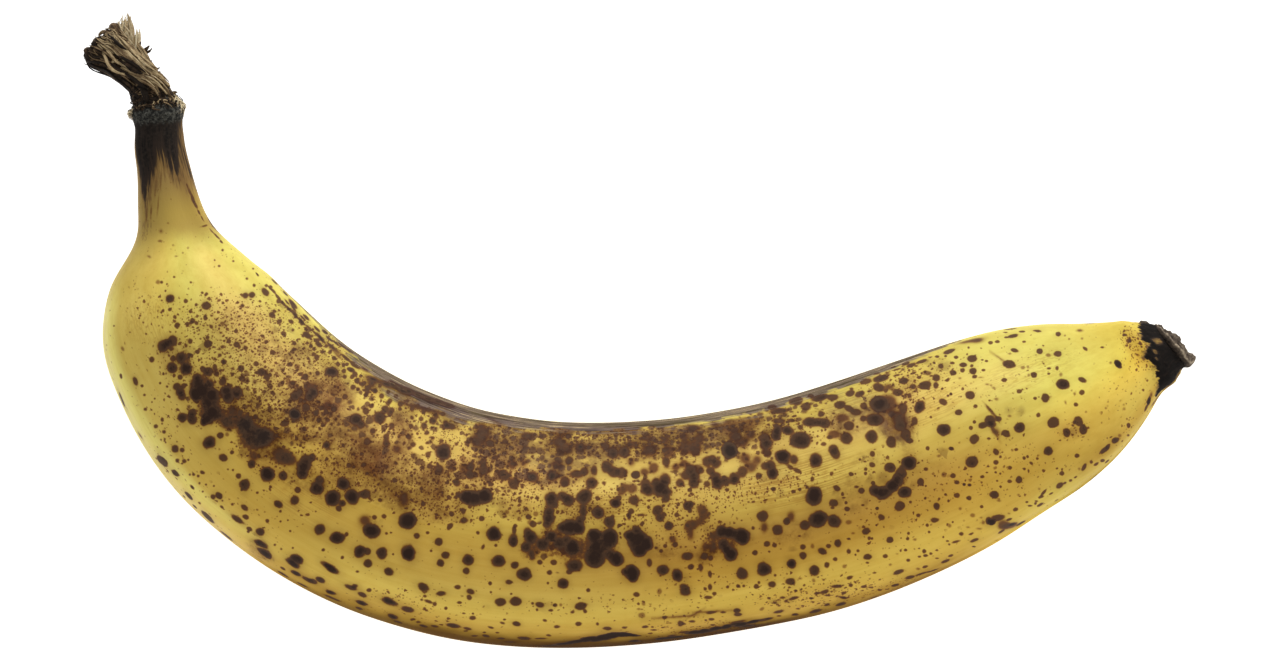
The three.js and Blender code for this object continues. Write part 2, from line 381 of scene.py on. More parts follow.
# ------------------------------------------------------------------ marks on the skin
# Each mark: arc length (mm), angle round the section (degrees), long and short radius (mm),
# turn of the long radius from the fruit's length (degrees). Placed one by one.
MARKS = {
    "dark": [
        (55.4, 92.5, 0.95, 0.82, 159), (59.3, 71.8, 0.89, 0.81, 31), (56.9, 82.8, 0.38, 0.34, 179),
        (58.3, 77.3, 0.29, 0.26, 16), (57.2, 98.5, 0.30, 0.27, 143), (57.4, 99.9, 0.22, 0.19, 139),
        (57.4, 94.0, 0.40, 0.36, 151), (59.2, 82.0, 0.36, 0.34, 4), (59.1, 92.1, 0.39, 0.36, 152),
        (61.0, 82.8, 0.49, 0.47, 0), (61.6, 75.4, 0.44, 0.42, 0), (61.2, 86.5, 0.41, 0.40, 0),
        (61.8, 81.3, 0.35, 0.34, 0), (60.7, 92.3, 0.60, 0.57, 0), (63.8, 74.8, 0.36, 0.34, 0),
        (52.0, 96.8, 0.39, 0.32, 153), (51.6, 86.7, 0.25, 0.21, 171), (53.5, 75.6, 0.25, 0.21, 15),
        (53.8, 94.6, 0.23, 0.19, 157), (56.3, 70.9, 0.31, 0.27, 25), (60.1, 44.6, 0.74, 0.57, 63),
        (60.7, 40.7, 0.77, 0.57, 67), (61.1, 30.4, 0.91, 0.73, 20), (58.4, 34.3, 0.43, 0.29, 65),
        (59.5, 25.6, 0.48, 0.27, 73), (56.1, 35.6, 0.36, 0.23, 60), (55.7, 24.4, 0.53, 0.30, 30),
        (62.3, 50.9, 0.51, 0.42, 65), (63.0, 38.5, 0.31, 0.23, 72), (51.0, 33.1, 0.33, 0.19, 60),
        (51.5, 48.8, 0.33, 0.23, 47), (50.0, 49.4, 0.25, 0.17, 43), (53.9, 22.0, 0.48, 0.19, 70),
        (48.1, 34.4, 0.38, 0.21, 55), (63.1, 98.8, 1.07, 1.01, 0), (63.1, 105.7, 1.25, 1.14, 118),
        (63.0, 102.4, 1.02, 0.95, 122), (64.5, 89.5, 0.51, 0.49, 0), (66.6, 81.7, 0.70, 0.68, 0),
        (68.2, 70.8, 0.44, 0.42, 0), (69.8, 68.5, 0.65, 0.61, 55), (67.7, 73.2, 0.24, 0.23, 0),
        (67.3, 71.1, 0.20, 0.19, 0), (64.2, 115.4, 0.61, 0.53, 109), (66.4, 98.6, 1.06, 1.01, 0),
        (68.5, 99.2, 1.04, 0.99, 0), (67.2, 106.6, 1.04, 0.95, 114), (65.8, 103.2, 0.51, 0.48, 118),
        (66.7, 94.0, 0.39, 0.38, 0), (69.3, 105.0, 0.53, 0.49, 114), (67.3, 112.9, 0.30, 0.27, 109),
        (71.2, 89.4, 0.87, 0.85, 0), (70.3, 91.3, 0.58, 0.57, 0), (72.6, 86.5, 0.42, 0.42, 0),
        (69.8, 79.6, 0.43, 0.42, 0), (71.3, 79.8, 0.54, 0.53, 0), (74.5, 74.4, 0.61, 0.59, 0),
        (77.8, 66.9, 0.73, 0.68, 61), (79.4, 66.7, 0.61, 0.57, 62), (79.5, 64.7, 0.41, 0.38, 64),
        (74.5, 86.6, 0.69, 0.68, 0), (76.4, 77.5, 0.58, 0.57, 0), (65.9, 132.2, 0.82, 0.64, 15),
        (64.1, 142.6, 0.52, 0.42, 51), (67.1, 129.3, 0.33, 0.25, 101), (68.5, 130.5, 0.36, 0.27, 100),
        (68.3, 117.4, 0.25, 0.21, 106), (69.4, 114.5, 0.26, 0.23, 107), (58.6, 124.4, 0.20, 0.15, 111),
        (59.9, 113.2, 0.20, 0.17, 117), (56.7, 138.6, 0.28, 0.15, 105), (57.0, 116.3, 0.19, 0.15, 121),
        (56.6, 115.3, 0.24, 0.19, 123), (70.4, 109.3, 0.88, 0.80, 110), (71.4, 109.3, 0.97, 0.87, 109),
        (72.2, 109.5, 0.91, 0.82, 109), (70.9, 105.5, 0.52, 0.48, 112), (71.9, 97.8, 1.19, 1.14, 0),
        (71.1, 96.7, 0.79, 0.76, 0), (73.5, 98.3, 1.59, 1.52, 0), (75.4, 95.4, 1.57, 1.52, 0),
        (73.3, 102.1, 1.41, 1.33, 0), (73.5, 92.9, 0.78, 0.76, 0), (76.3, 87.9, 0.96, 0.95, 0),
        (77.9, 84.1, 1.05, 1.04, 0), (77.4, 89.0, 1.15, 1.14, 0), (75.9, 99.4, 1.39, 1.33, 0),
        (75.1, 95.6, 1.18, 1.14, 0), (77.6, 100.7, 1.50, 1.42, 0), (78.0, 105.2, 1.12, 1.04, 110),
        (78.0, 107.6, 0.83, 0.76, 109), (78.4, 99.6, 0.99, 0.95, 0), (75.1, 116.3, 1.01, 0.88, 104),
        (75.6, 109.8, 0.88, 0.80, 107), (76.4, 112.1, 1.11, 0.99, 106), (81.2, 112.9, 1.41, 1.25, 105),
        (81.7, 105.4, 0.65, 0.61, 110), (84.7, 112.9, 0.85, 0.68, 141), (85.2, 107.3, 0.45, 0.42, 108),
        (89.1, 105.1, 0.77, 0.72, 109), (92.3, 104.0, 1.47, 1.38, 0), (94.9, 99.7, 0.87, 0.83, 0),
        (88.7, 114.5, 0.60, 0.53, 104), (90.4, 116.1, 1.12, 0.99, 104), (90.5, 119.5, 0.27, 0.23, 102),
        (94.2, 108.4, 0.29, 0.27, 107), (92.9, 115.3, 0.30, 0.27, 104), (97.0, 113.7, 0.86, 0.67, 170),
        (97.9, 116.2, 0.26, 0.23, 102), (78.1, 131.7, 0.94, 0.76, 99), (79.0, 128.5, 0.59, 0.46, 100),
        (79.7, 135.8, 0.63, 0.42, 98), (80.5, 132.1, 0.58, 0.42, 99), (80.8, 129.3, 0.30, 0.23, 100),
        (80.5, 134.5, 0.28, 0.19, 98), (83.8, 128.0, 0.50, 0.40, 137), (83.0, 133.3, 0.43, 0.31, 99),
        (82.6, 135.3, 0.31, 0.21, 98), (83.7, 131.6, 0.34, 0.25, 99), (86.5, 147.0, 0.46, 0.34, 99),
        (75.0, 131.4, 0.55, 0.40, 99), (73.5, 134.3, 0.53, 0.36, 98), (73.3, 128.0, 0.45, 0.34, 55),
        (73.8, 129.6, 0.25, 0.19, 100), (75.9, 133.9, 0.36, 0.25, 98), (75.6, 136.6, 0.24, 0.15, 97),
        (76.4, 134.8, 0.20, 0.13, 98), (76.0, 130.3, 0.20, 0.15, 99), (77.5, 127.9, 0.22, 0.17, 100),
        (70.4, 134.8, 0.48, 0.33, 98), (70.1, 128.1, 0.22, 0.17, 101), (69.9, 125.4, 0.22, 0.17, 102),
        (87.6, 134.8, 0.72, 0.50, 98), (88.2, 131.5, 0.78, 0.72, 111), (89.1, 132.3, 0.26, 0.19, 99),
        (89.6, 136.1, 0.39, 0.34, 164), (90.7, 130.1, 0.35, 0.27, 100), (92.6, 126.9, 0.73, 0.52, 176),
        (92.9, 135.7, 1.46, 0.71, 171), (93.6, 131.3, 0.69, 0.51, 141), (95.1, 136.4, 0.60, 0.49, 151),
        (96.9, 133.3, 0.93, 0.81, 107), (97.8, 140.4, 1.47, 0.95, 166), (95.2, 138.4, 0.46, 0.29, 97),
        (84.6, 134.4, 0.30, 0.21, 98), (85.5, 131.9, 0.26, 0.19, 99), (86.6, 128.9, 0.25, 0.19, 100),
        (85.8, 137.2, 0.30, 0.19, 98), (86.7, 138.6, 0.28, 0.17, 98), (96.9, 125.1, 0.42, 0.34, 100),
        (98.8, 121.0, 0.22, 0.19, 100), (99.9, 135.2, 0.30, 0.21, 97), (85.1, 103.3, 0.18, 0.17, 0),
        (86.6, 115.8, 0.22, 0.19, 104), (87.3, 114.2, 0.24, 0.21, 104), (67.7, 38.6, 0.71, 0.54, 74),
        (70.2, 38.3, 0.66, 0.50, 75), (73.4, 41.3, 0.57, 0.42, 103), (71.8, 31.5, 0.60, 0.54, 126),
        (65.0, 27.1, 0.64, 0.38, 79), (74.0, 34.8, 0.48, 0.34, 77), (77.1, 40.8, 0.54, 0.42, 76),
        (67.5, 18.3, 1.28, 0.93, 32), (70.1, 24.7, 1.01, 0.65, 18), (73.0, 18.8, 0.80, 0.64, 19),
        (73.5, 25.4, 0.81, 0.50, 17), (77.4, 30.1, 0.87, 0.80, 9), (77.6, 20.2, 0.79, 0.49, 11),
        (82.5, 36.9, 0.52, 0.38, 77), (83.7, 36.9, 0.67, 0.50, 77), (80.4, 33.9, 0.40, 0.29, 78),
        (82.4, 41.6, 0.29, 0.23, 76), (80.6, 52.1, 0.57, 0.46, 111), (85.3, 51.5, 0.72, 0.61, 73),
        (84.3, 58.8, 0.54, 0.47, 70), (88.6, 39.4, 1.01, 0.76, 77), (89.0, 38.0, 1.02, 0.76, 77),
        (89.9, 37.9, 0.89, 0.67, 77), (92.5, 36.3, 0.52, 0.38, 78), (90.2, 29.9, 0.58, 0.38, 79),
        (92.5, 29.8, 0.77, 0.64, 165), (94.0, 30.7, 0.71, 0.48, 79), (95.7, 38.9, 0.63, 0.48, 78),
        (96.8, 34.4, 0.48, 0.34, 79), (99.1, 36.4, 0.68, 0.50, 80), (100.7, 33.7, 0.54, 0.38, 81),
        (95.6, 47.0, 0.59, 0.48, 76), (86.7, 63.6, 0.94, 0.85, 67), (86.9, 60.1, 0.64, 0.57, 70),
        (89.4, 55.6, 1.10, 0.95, 72), (89.3, 58.8, 0.86, 0.76, 71), (81.8, 69.3, 0.32, 0.30, 0),
        (90.2, 64.8, 0.74, 0.68, 67), (92.7, 64.0, 0.62, 0.57, 68), (95.3, 56.5, 0.52, 0.46, 73),
        (100.8, 55.2, 1.32, 1.14, 77), (102.2, 55.8, 0.99, 0.85, 77), (101.6, 47.7, 0.70, 0.57, 79),
        (102.0, 43.3, 0.58, 0.46, 80), (105.1, 47.5, 1.40, 1.14, 80), (105.2, 41.2, 0.89, 0.69, 82),
        (106.7, 39.5, 0.65, 0.50, 82), (106.8, 42.4, 0.61, 0.48, 82), (108.5, 48.5, 0.65, 0.53, 82),
        (105.3, 56.0, 0.65, 0.57, 79), (108.5, 55.8, 0.66, 0.57, 80), (109.1, 58.9, 0.81, 0.72, 80),
        (105.3, 62.8, 0.71, 0.64, 76), (105.0, 36.6, 0.67, 0.50, 82), (108.3, 36.7, 0.47, 0.34, 83),
        (112.5, 43.8, 0.53, 0.42, 84), (113.1, 50.4, 0.64, 0.53, 84), (114.7, 53.6, 0.58, 0.49, 84),
        (114.2, 56.3, 0.39, 0.34, 84), (112.7, 54.8, 0.35, 0.30, 83), (115.3, 40.7, 0.82, 0.63, 86),
        (116.5, 43.9, 0.55, 0.44, 86), (113.9, 37.2, 0.57, 0.42, 86), (111.9, 38.8, 0.45, 0.34, 84),
        (116.8, 35.6, 0.95, 0.69, 87), (120.1, 35.2, 1.06, 0.77, 88), (121.6, 51.6, 1.81, 1.52, 87),
        (120.3, 46.0, 0.47, 0.38, 87), (118.3, 45.8, 0.38, 0.30, 87), (117.4, 49.9, 0.30, 0.25, 86),
        (118.6, 56.0, 0.61, 0.53, 86), (119.8, 61.8, 0.59, 0.53, 86), (121.8, 61.3, 0.88, 0.80, 86),
        (98.5, 74.8, 0.74, 0.72, 0), (94.2, 82.3, 0.29, 0.28, 0), (94.9, 82.4, 0.17, 0.17, 0),
        (89.1, 78.3, 0.75, 0.46, 125), (97.0, 90.3, 1.24, 1.23, 0), (97.4, 83.8, 0.76, 0.75, 0),
        (96.7, 86.6, 1.14, 1.13, 0), (97.6, 93.5, 0.96, 0.95, 0), (102.2, 79.8, 0.31, 0.30, 0),
        (98.5, 101.5, 0.60, 0.57, 0), (99.0, 107.0, 0.98, 0.91, 105), (101.2, 95.7, 1.22, 1.19, 0),
        (101.0, 91.2, 0.86, 0.85, 0), (105.2, 87.1, 1.18, 1.17, 0), (104.8, 96.0, 1.55, 1.51, 0),
        (107.8, 91.3, 1.33, 1.32, 0), (106.7, 95.9, 0.77, 0.76, 0), (106.6, 99.0, 0.63, 0.61, 0),
        (109.9, 86.8, 0.91, 0.91, 0), (109.1, 87.8, 0.57, 0.57, 0), (112.9, 86.7, 0.38, 0.38, 0),
        (105.3, 113.4, 1.18, 1.06, 100), (108.5, 113.2, 1.43, 1.20, 138), (109.8, 109.3, 0.35, 0.32, 99),
        (107.3, 122.7, 0.36, 0.30, 97), (110.7, 121.9, 0.34, 0.28, 96), (113.6, 102.5, 1.58, 1.51, 0),
        (113.0, 114.9, 1.31, 1.17, 96), (114.3, 113.3, 0.80, 0.72, 95), (116.6, 111.4, 1.16, 1.06, 94),
        (115.0, 119.2, 0.85, 0.74, 94), (118.8, 119.7, 0.89, 0.85, 0), (113.2, 95.6, 0.42, 0.42, 0),
        (114.8, 93.3, 0.44, 0.43, 0), (116.3, 100.9, 0.27, 0.26, 0), (117.0, 99.7, 0.18, 0.17, 0),
        (118.6, 109.9, 0.21, 0.19, 93), (119.2, 91.3, 1.71, 1.70, 0), (121.2, 107.0, 1.75, 1.35, 65),
        (121.7, 97.1, 0.62, 0.60, 0), (123.4, 94.2, 0.31, 0.30, 0), (125.8, 97.2, 0.72, 0.70, 0),
        (127.5, 102.7, 0.77, 0.74, 0), (127.0, 107.3, 0.71, 0.66, 93), (124.9, 102.5, 0.26, 0.25, 0),
        (127.2, 88.3, 0.68, 0.45, 106), (129.5, 84.1, 0.76, 0.53, 158), (121.0, 81.4, 0.53, 0.53, 0),
        (126.3, 66.3, 0.77, 0.72, 86), (131.7, 102.9, 1.11, 1.06, 0), (131.7, 108.7, 0.65, 0.61, 91),
        (113.9, 126.0, 0.40, 0.26, 147), (125.1, 122.8, 1.18, 0.89, 15), (128.3, 123.7, 0.90, 0.57, 155),
        (130.7, 118.2, 0.61, 0.47, 164), (123.5, 139.1, 1.24, 0.85, 5), (120.3, 137.4, 1.68, 0.97, 8),
        (126.4, 130.2, 0.76, 0.39, 9), (127.6, 130.7, 0.50, 0.38, 92), (126.1, 135.4, 0.38, 0.27, 92),
        (129.5, 131.9, 0.38, 0.29, 92), (131.5, 126.9, 0.39, 0.28, 163), (131.1, 143.6, 1.30, 0.76, 4),
        (128.2, 148.1, 0.74, 0.55, 165), (126.4, 151.3, 0.77, 0.68, 8), (121.2, 149.6, 1.01, 0.76, 86),
        (121.7, 151.3, 0.83, 0.39, 124), (122.4, 155.8, 0.77, 0.61, 13), (124.6, 146.6, 0.61, 0.37, 127),
        (125.5, 147.9, 0.61, 0.36, 129), (115.8, 139.2, 0.92, 0.67, 10), (116.7, 134.2, 0.48, 0.37, 124),
        (113.8, 137.1, 1.25, 0.68, 171), (114.3, 135.1, 0.77, 0.53, 135), (116.1, 146.4, 0.96, 0.84, 8),
        (116.0, 154.2, 0.82, 0.69, 142), (110.9, 148.9, 0.81, 0.69, 144), (111.5, 155.3, 1.56, 0.73, 172),
        (106.5, 158.0, 1.19, 0.72, 165), (109.5, 130.5, 1.81, 0.84, 10), (104.1, 135.9, 1.25, 1.12, 169),
        (103.8, 140.1, 1.53, 0.96, 5), (104.8, 147.0, 0.97, 0.78, 167), (108.8, 141.5, 0.96, 0.88, 15),
        (107.8, 145.8, 0.98, 0.81, 160), (102.7, 149.6, 0.64, 0.56, 118), (103.0, 158.4, 1.16, 0.86, 14),
        (101.0, 122.7, 0.27, 0.23, 99), (101.1, 135.3, 0.33, 0.23, 97), (102.7, 130.6, 0.25, 0.19, 97),
        (101.7, 103.3, 0.20, 0.19, 0), (103.2, 106.1, 0.16, 0.15, 103), (121.1, 35.0, 1.06, 0.79, 163),
        (123.9, 44.9, 0.43, 0.34, 88), (126.2, 43.1, 0.61, 0.48, 88), (125.7, 47.0, 0.30, 0.25, 88),
        (128.4, 55.4, 0.77, 0.67, 87), (128.6, 60.5, 0.85, 0.76, 87), (131.3, 56.1, 1.10, 0.95, 88),
        (130.8, 52.2, 0.79, 0.67, 88), (129.1, 72.3, 1.47, 1.42, 0), (130.7, 72.0, 1.57, 1.51, 0),
        (132.5, 70.1, 1.59, 1.52, 0), (127.2, 72.3, 0.59, 0.57, 0), (133.4, 63.2, 0.54, 0.49, 89),
        (129.0, 79.5, 0.57, 0.42, 78), (132.8, 81.5, 0.49, 0.49, 0), (132.6, 88.7, 0.30, 0.30, 0),
        (135.6, 87.8, 1.36, 1.36, 0), (139.5, 90.8, 0.91, 0.91, 0), (139.4, 84.9, 0.76, 0.38, 84),
        (139.5, 82.9, 0.38, 0.38, 0), (136.3, 93.5, 0.31, 0.30, 0), (134.0, 95.2, 0.48, 0.28, 111),
        (137.1, 100.9, 1.25, 1.21, 0), (140.1, 102.4, 0.71, 0.68, 0), (142.0, 106.9, 1.35, 1.27, 0),
        (135.8, 57.1, 1.09, 0.95, 91), (138.1, 61.4, 1.01, 0.91, 92), (139.6, 68.6, 0.36, 0.34, 0),
        (143.3, 67.7, 0.40, 0.38, 94), (140.0, 62.5, 0.31, 0.28, 93), (141.9, 77.8, 0.54, 0.53, 0),
        (142.9, 81.1, 0.57, 0.57, 0), (142.7, 88.1, 1.23, 1.23, 0), (141.9, 92.8, 0.95, 0.95, 0),
        (143.1, 96.6, 0.96, 0.57, 81), (144.7, 100.2, 0.55, 0.53, 0), (147.2, 99.9, 0.55, 0.53, 0),
        (146.5, 105.3, 0.60, 0.57, 0), (133.3, 47.6, 0.58, 0.48, 90), (131.4, 39.8, 0.90, 0.69, 89),
        (134.7, 36.2, 0.79, 0.57, 90), (143.3, 29.1, 0.80, 0.72, 140), (149.1, 28.1, 0.78, 0.48, 91),
        (149.5, 45.1, 0.96, 0.76, 92), (148.8, 58.0, 1.04, 0.91, 93), (151.3, 53.1, 1.33, 0.90, 178),
        (152.8, 51.2, 0.91, 0.76, 92), (154.9, 50.7, 1.15, 0.57, 92), (154.4, 57.9, 1.19, 1.05, 93),
        (146.1, 67.2, 1.22, 1.14, 94), (146.4, 69.9, 1.20, 1.14, 0), (148.5, 65.9, 1.02, 0.95, 94),
        (149.6, 68.0, 1.11, 1.04, 94), (145.9, 74.6, 0.97, 0.95, 0), (145.9, 77.7, 1.25, 1.23, 0),
        (145.6, 80.7, 0.76, 0.76, 0), (152.8, 66.3, 1.53, 1.42, 94), (155.6, 74.9, 1.26, 1.23, 0),
        (152.6, 73.7, 1.37, 0.66, 91), (152.0, 78.3, 0.77, 0.76, 0), (150.1, 82.4, 1.52, 1.52, 0),
        (151.5, 82.4, 1.33, 1.33, 0), (148.7, 82.4, 0.95, 0.95, 0), (148.3, 90.0, 1.14, 1.13, 0),
        (150.5, 91.9, 1.43, 1.42, 0), (146.5, 86.6, 0.95, 0.94, 0), (144.9, 90.8, 1.14, 1.13, 0),
        (149.4, 88.4, 0.95, 0.95, 0), (150.9, 101.6, 1.52, 1.18, 1), (150.1, 104.8, 0.60, 0.57, 0),
        (157.7, 79.7, 1.05, 1.04, 0), (154.9, 86.5, 1.42, 1.42, 0), (157.6, 87.8, 1.71, 1.70, 0),
        (155.1, 91.5, 1.33, 1.33, 0), (154.8, 97.1, 2.03, 1.99, 0), (156.9, 91.2, 1.14, 1.14, 0),
        (158.9, 98.7, 1.36, 1.33, 0), (157.6, 96.4, 0.96, 0.95, 0), (157.3, 35.4, 1.07, 0.77, 92),
        (156.9, 58.6, 0.43, 0.38, 93), (159.2, 70.5, 0.70, 0.66, 0), (139.4, 111.7, 0.68, 0.54, 173),
        (136.2, 113.4, 0.42, 0.38, 89), (136.5, 118.2, 0.28, 0.25, 89), (140.0, 118.0, 0.26, 0.23, 88),
        (133.1, 119.7, 0.73, 0.56, 17), (133.0, 122.9, 0.63, 0.53, 91), (138.3, 123.4, 0.95, 0.86, 180),
        (140.9, 122.2, 1.06, 0.93, 4), (143.8, 122.7, 0.29, 0.25, 88), (145.0, 123.2, 0.80, 0.63, 6),
        (147.7, 123.3, 0.42, 0.40, 0), (147.0, 126.5, 0.38, 0.28, 179), (144.6, 126.4, 0.30, 0.25, 88),
        (152.1, 124.1, 1.15, 0.81, 167), (150.7, 127.5, 0.46, 0.38, 2), (152.9, 127.0, 0.47, 0.38, 88),
        (146.3, 110.9, 0.27, 0.25, 86), (149.1, 110.7, 1.09, 1.01, 87), (153.5, 114.9, 0.46, 0.42, 87),
        (162.1, 118.8, 0.61, 0.56, 15), (151.7, 135.4, 0.65, 0.54, 4), (155.0, 135.6, 0.41, 0.29, 89),
        (148.1, 137.3, 0.57, 0.43, 179), (146.0, 133.0, 0.43, 0.30, 26), (141.3, 136.3, 0.81, 0.60, 16),
        (139.0, 136.4, 0.51, 0.33, 20), (139.3, 133.9, 0.29, 0.26, 160), (134.0, 135.3, 0.65, 0.54, 170),
        (132.5, 133.1, 0.29, 0.20, 162), (134.0, 132.2, 0.20, 0.15, 91), (133.5, 144.3, 0.77, 0.52, 5),
        (133.2, 147.0, 0.41, 0.27, 148), (137.2, 140.7, 0.50, 0.32, 14), (136.2, 145.7, 0.35, 0.29, 135),
        (138.3, 144.7, 0.36, 0.29, 151), (136.5, 149.7, 0.68, 0.57, 32), (134.7, 151.5, 0.65, 0.40, 144),
        (142.7, 148.7, 1.27, 0.85, 1), (146.7, 144.6, 0.48, 0.32, 22), (145.4, 148.2, 0.96, 0.36, 176),
        (138.9, 151.1, 0.70, 0.42, 159), (140.4, 155.8, 0.99, 0.42, 164), (156.6, 139.5, 0.82, 0.51, 14),
        (159.6, 139.7, 0.50, 0.39, 14), (163.2, 140.4, 0.61, 0.41, 2), (161.6, 158.0, 1.03, 0.69, 28),
        (157.6, 49.0, 1.40, 1.15, 93), (158.8, 52.2, 1.24, 1.05, 93), (160.5, 53.0, 1.13, 0.95, 93),
        (159.0, 40.0, 1.39, 1.05, 92), (161.3, 39.7, 1.52, 1.15, 93), (170.0, 48.3, 0.94, 0.76, 94),
        (169.2, 59.1, 1.29, 1.14, 95), (167.5, 60.4, 1.07, 0.95, 95), (168.2, 63.5, 1.67, 1.52, 96),
        (169.1, 66.0, 1.23, 1.14, 97), (169.1, 69.9, 0.80, 0.76, 0), (165.3, 59.9, 1.07, 0.95, 95),
        (165.7, 64.0, 1.25, 1.14, 96), (162.8, 69.5, 1.00, 0.95, 0), (159.0, 70.0, 1.00, 0.95, 0),
        (174.9, 55.1, 1.33, 1.14, 94), (173.7, 57.7, 1.09, 0.95, 95), (175.3, 58.9, 1.30, 1.14, 94),
        (175.1, 63.0, 1.05, 0.95, 95), (176.8, 56.6, 0.70, 0.61, 94), (172.3, 61.9, 0.84, 0.76, 96),
        (177.6, 64.6, 0.66, 0.61, 94), (178.4, 51.1, 1.14, 0.95, 93), (179.5, 50.3, 0.92, 0.76, 93),
        (180.1, 53.2, 1.13, 0.95, 93), (178.8, 57.5, 0.87, 0.76, 93), (179.6, 61.5, 1.06, 0.95, 94),
        (179.8, 65.1, 1.24, 1.14, 94), (181.3, 64.6, 1.03, 0.95, 94), (183.2, 63.2, 1.05, 0.95, 94),
        (185.0, 61.2, 1.06, 0.95, 93), (183.0, 65.5, 0.82, 0.76, 94), (189.8, 60.4, 0.85, 0.76, 93),
        (190.8, 60.4, 1.07, 0.95, 94), (190.8, 65.7, 1.13, 1.05, 94), (188.1, 65.3, 0.74, 0.68, 94),
        (191.3, 47.4, 1.42, 1.15, 93), (191.0, 43.1, 1.22, 0.96, 93), (190.8, 52.4, 0.91, 0.76, 93),
        (193.8, 57.6, 1.41, 1.24, 95), (195.9, 42.0, 0.99, 0.77, 94), (193.6, 43.0, 0.98, 0.77, 93),
        (194.4, 38.7, 1.02, 0.77, 94), (190.2, 73.8, 0.35, 0.34, 0), (189.0, 74.7, 0.25, 0.25, 0),
        (173.3, 75.0, 0.89, 0.87, 0), (173.5, 77.7, 0.48, 0.47, 0), (170.9, 78.9, 0.54, 0.53, 0),
        (169.1, 84.0, 0.85, 0.85, 0), (167.3, 75.3, 0.97, 0.95, 0), (167.6, 79.5, 0.76, 0.76, 0),
        (164.0, 77.1, 0.76, 0.25, 4), (161.6, 77.2, 0.77, 0.38, 94), (162.1, 74.7, 0.58, 0.57, 0),
        (162.8, 89.6, 1.90, 1.89, 0), (164.3, 92.5, 1.53, 1.52, 0), (163.3, 94.3, 1.54, 1.52, 0),
        (161.6, 86.9, 1.14, 1.14, 0), (162.8, 84.5, 0.95, 0.95, 0), (168.0, 94.0, 0.42, 0.42, 0),
        (167.2, 96.3, 0.39, 0.38, 0), (166.3, 94.5, 0.29, 0.28, 0), (169.9, 94.0, 0.48, 0.47, 0),
        (171.9, 100.8, 1.05, 0.78, 9), (164.8, 101.8, 0.79, 0.53, 94), (175.0, 101.9, 0.69, 0.66, 0),
        (176.2, 103.5, 0.44, 0.42, 0), (179.0, 90.4, 1.14, 1.14, 0), (180.3, 92.0, 1.14, 1.14, 0),
        (181.3, 93.0, 0.96, 0.95, 0), (182.6, 94.7, 1.63, 1.61, 0), (179.0, 97.2, 0.97, 0.95, 0),
        (179.4, 100.6, 0.98, 0.95, 0), (180.0, 103.1, 1.39, 1.33, 0), (187.2, 86.5, 1.01, 1.00, 0),
        (189.4, 95.2, 0.96, 0.95, 0), (191.4, 91.6, 0.67, 0.66, 0), (184.9, 91.6, 0.34, 0.34, 0),
        (184.4, 104.7, 0.54, 0.51, 0), (186.9, 101.3, 0.59, 0.57, 0), (188.2, 102.7, 0.46, 0.44, 0),
        (187.0, 105.5, 0.22, 0.21, 0), (161.5, 106.1, 1.51, 1.42, 0), (160.2, 105.8, 0.80, 0.76, 0),
        (161.6, 108.8, 1.02, 0.95, 85), (167.2, 106.5, 1.17, 1.10, 0), (169.7, 110.1, 1.19, 1.10, 84),
        (172.3, 106.7, 0.61, 0.57, 0), (174.1, 108.0, 0.73, 0.42, 96), (175.6, 112.2, 0.54, 0.34, 96),
        (170.8, 119.5, 1.26, 1.10, 86), (174.4, 120.3, 0.39, 0.34, 86), (175.3, 119.6, 0.65, 0.38, 95),
        (175.9, 124.0, 0.43, 0.40, 37), (174.8, 125.7, 0.77, 0.41, 12), (178.4, 121.2, 0.33, 0.29, 87),
        (180.3, 121.6, 0.40, 0.34, 87), (181.3, 122.3, 0.33, 0.29, 87), (179.3, 123.6, 0.23, 0.19, 87),
        (181.4, 115.2, 1.16, 1.05, 87), (185.4, 114.6, 1.39, 1.26, 87), (190.4, 114.6, 0.84, 0.76, 87),
        (193.2, 107.0, 0.52, 0.49, 0), (192.9, 111.7, 0.68, 0.63, 86), (194.2, 121.7, 1.13, 0.97, 86),
        (186.3, 124.2, 0.75, 0.70, 49), (189.7, 125.0, 0.92, 0.81, 19), (183.5, 123.9, 0.50, 0.42, 88),
        (187.2, 119.5, 0.28, 0.25, 88), (184.1, 121.9, 0.29, 0.25, 88), (187.7, 134.2, 0.55, 0.38, 23),
        (189.8, 136.3, 0.92, 0.39, 175), (193.8, 136.6, 0.52, 0.36, 10), (192.7, 139.2, 0.37, 0.20, 26),
        (188.9, 130.1, 0.29, 0.23, 88), (190.3, 131.6, 0.24, 0.21, 46), (179.4, 137.4, 0.67, 0.61, 37),
        (179.5, 140.8, 0.71, 0.51, 30), (177.0, 137.1, 0.55, 0.33, 19), (174.9, 135.9, 0.77, 0.36, 179),
        (166.7, 134.8, 0.47, 0.41, 30), (186.2, 137.0, 0.36, 0.27, 29), (186.6, 145.2, 1.06, 0.58, 178),
        (184.8, 151.0, 0.68, 0.43, 12), (186.6, 150.2, 0.57, 0.34, 43), (189.3, 152.7, 0.63, 0.55, 122),
        (192.9, 154.9, 1.25, 1.11, 177), (169.3, 141.3, 0.84, 0.50, 88), (171.4, 140.4, 0.63, 0.40, 20),
        (174.8, 141.2, 0.56, 0.40, 27), (173.8, 141.0, 0.25, 0.21, 47), (174.9, 147.0, 0.54, 0.38, 39),
        (164.4, 141.1, 0.28, 0.25, 40), (164.6, 143.9, 0.59, 0.29, 13), (166.2, 142.5, 0.30, 0.23, 25),
        (178.8, 150.2, 1.73, 0.83, 179), (180.8, 157.2, 1.64, 0.93, 23), (175.4, 151.4, 1.21, 0.83, 23),
        (233.9, 23.5, 1.22, 0.71, 170), (231.3, 24.5, 0.58, 0.45, 81), (232.8, 26.8, 0.34, 0.28, 88),
        (234.5, 30.8, 0.49, 0.43, 88), (228.0, 24.0, 1.08, 0.57, 179), (225.0, 20.1, 0.84, 0.68, 150),
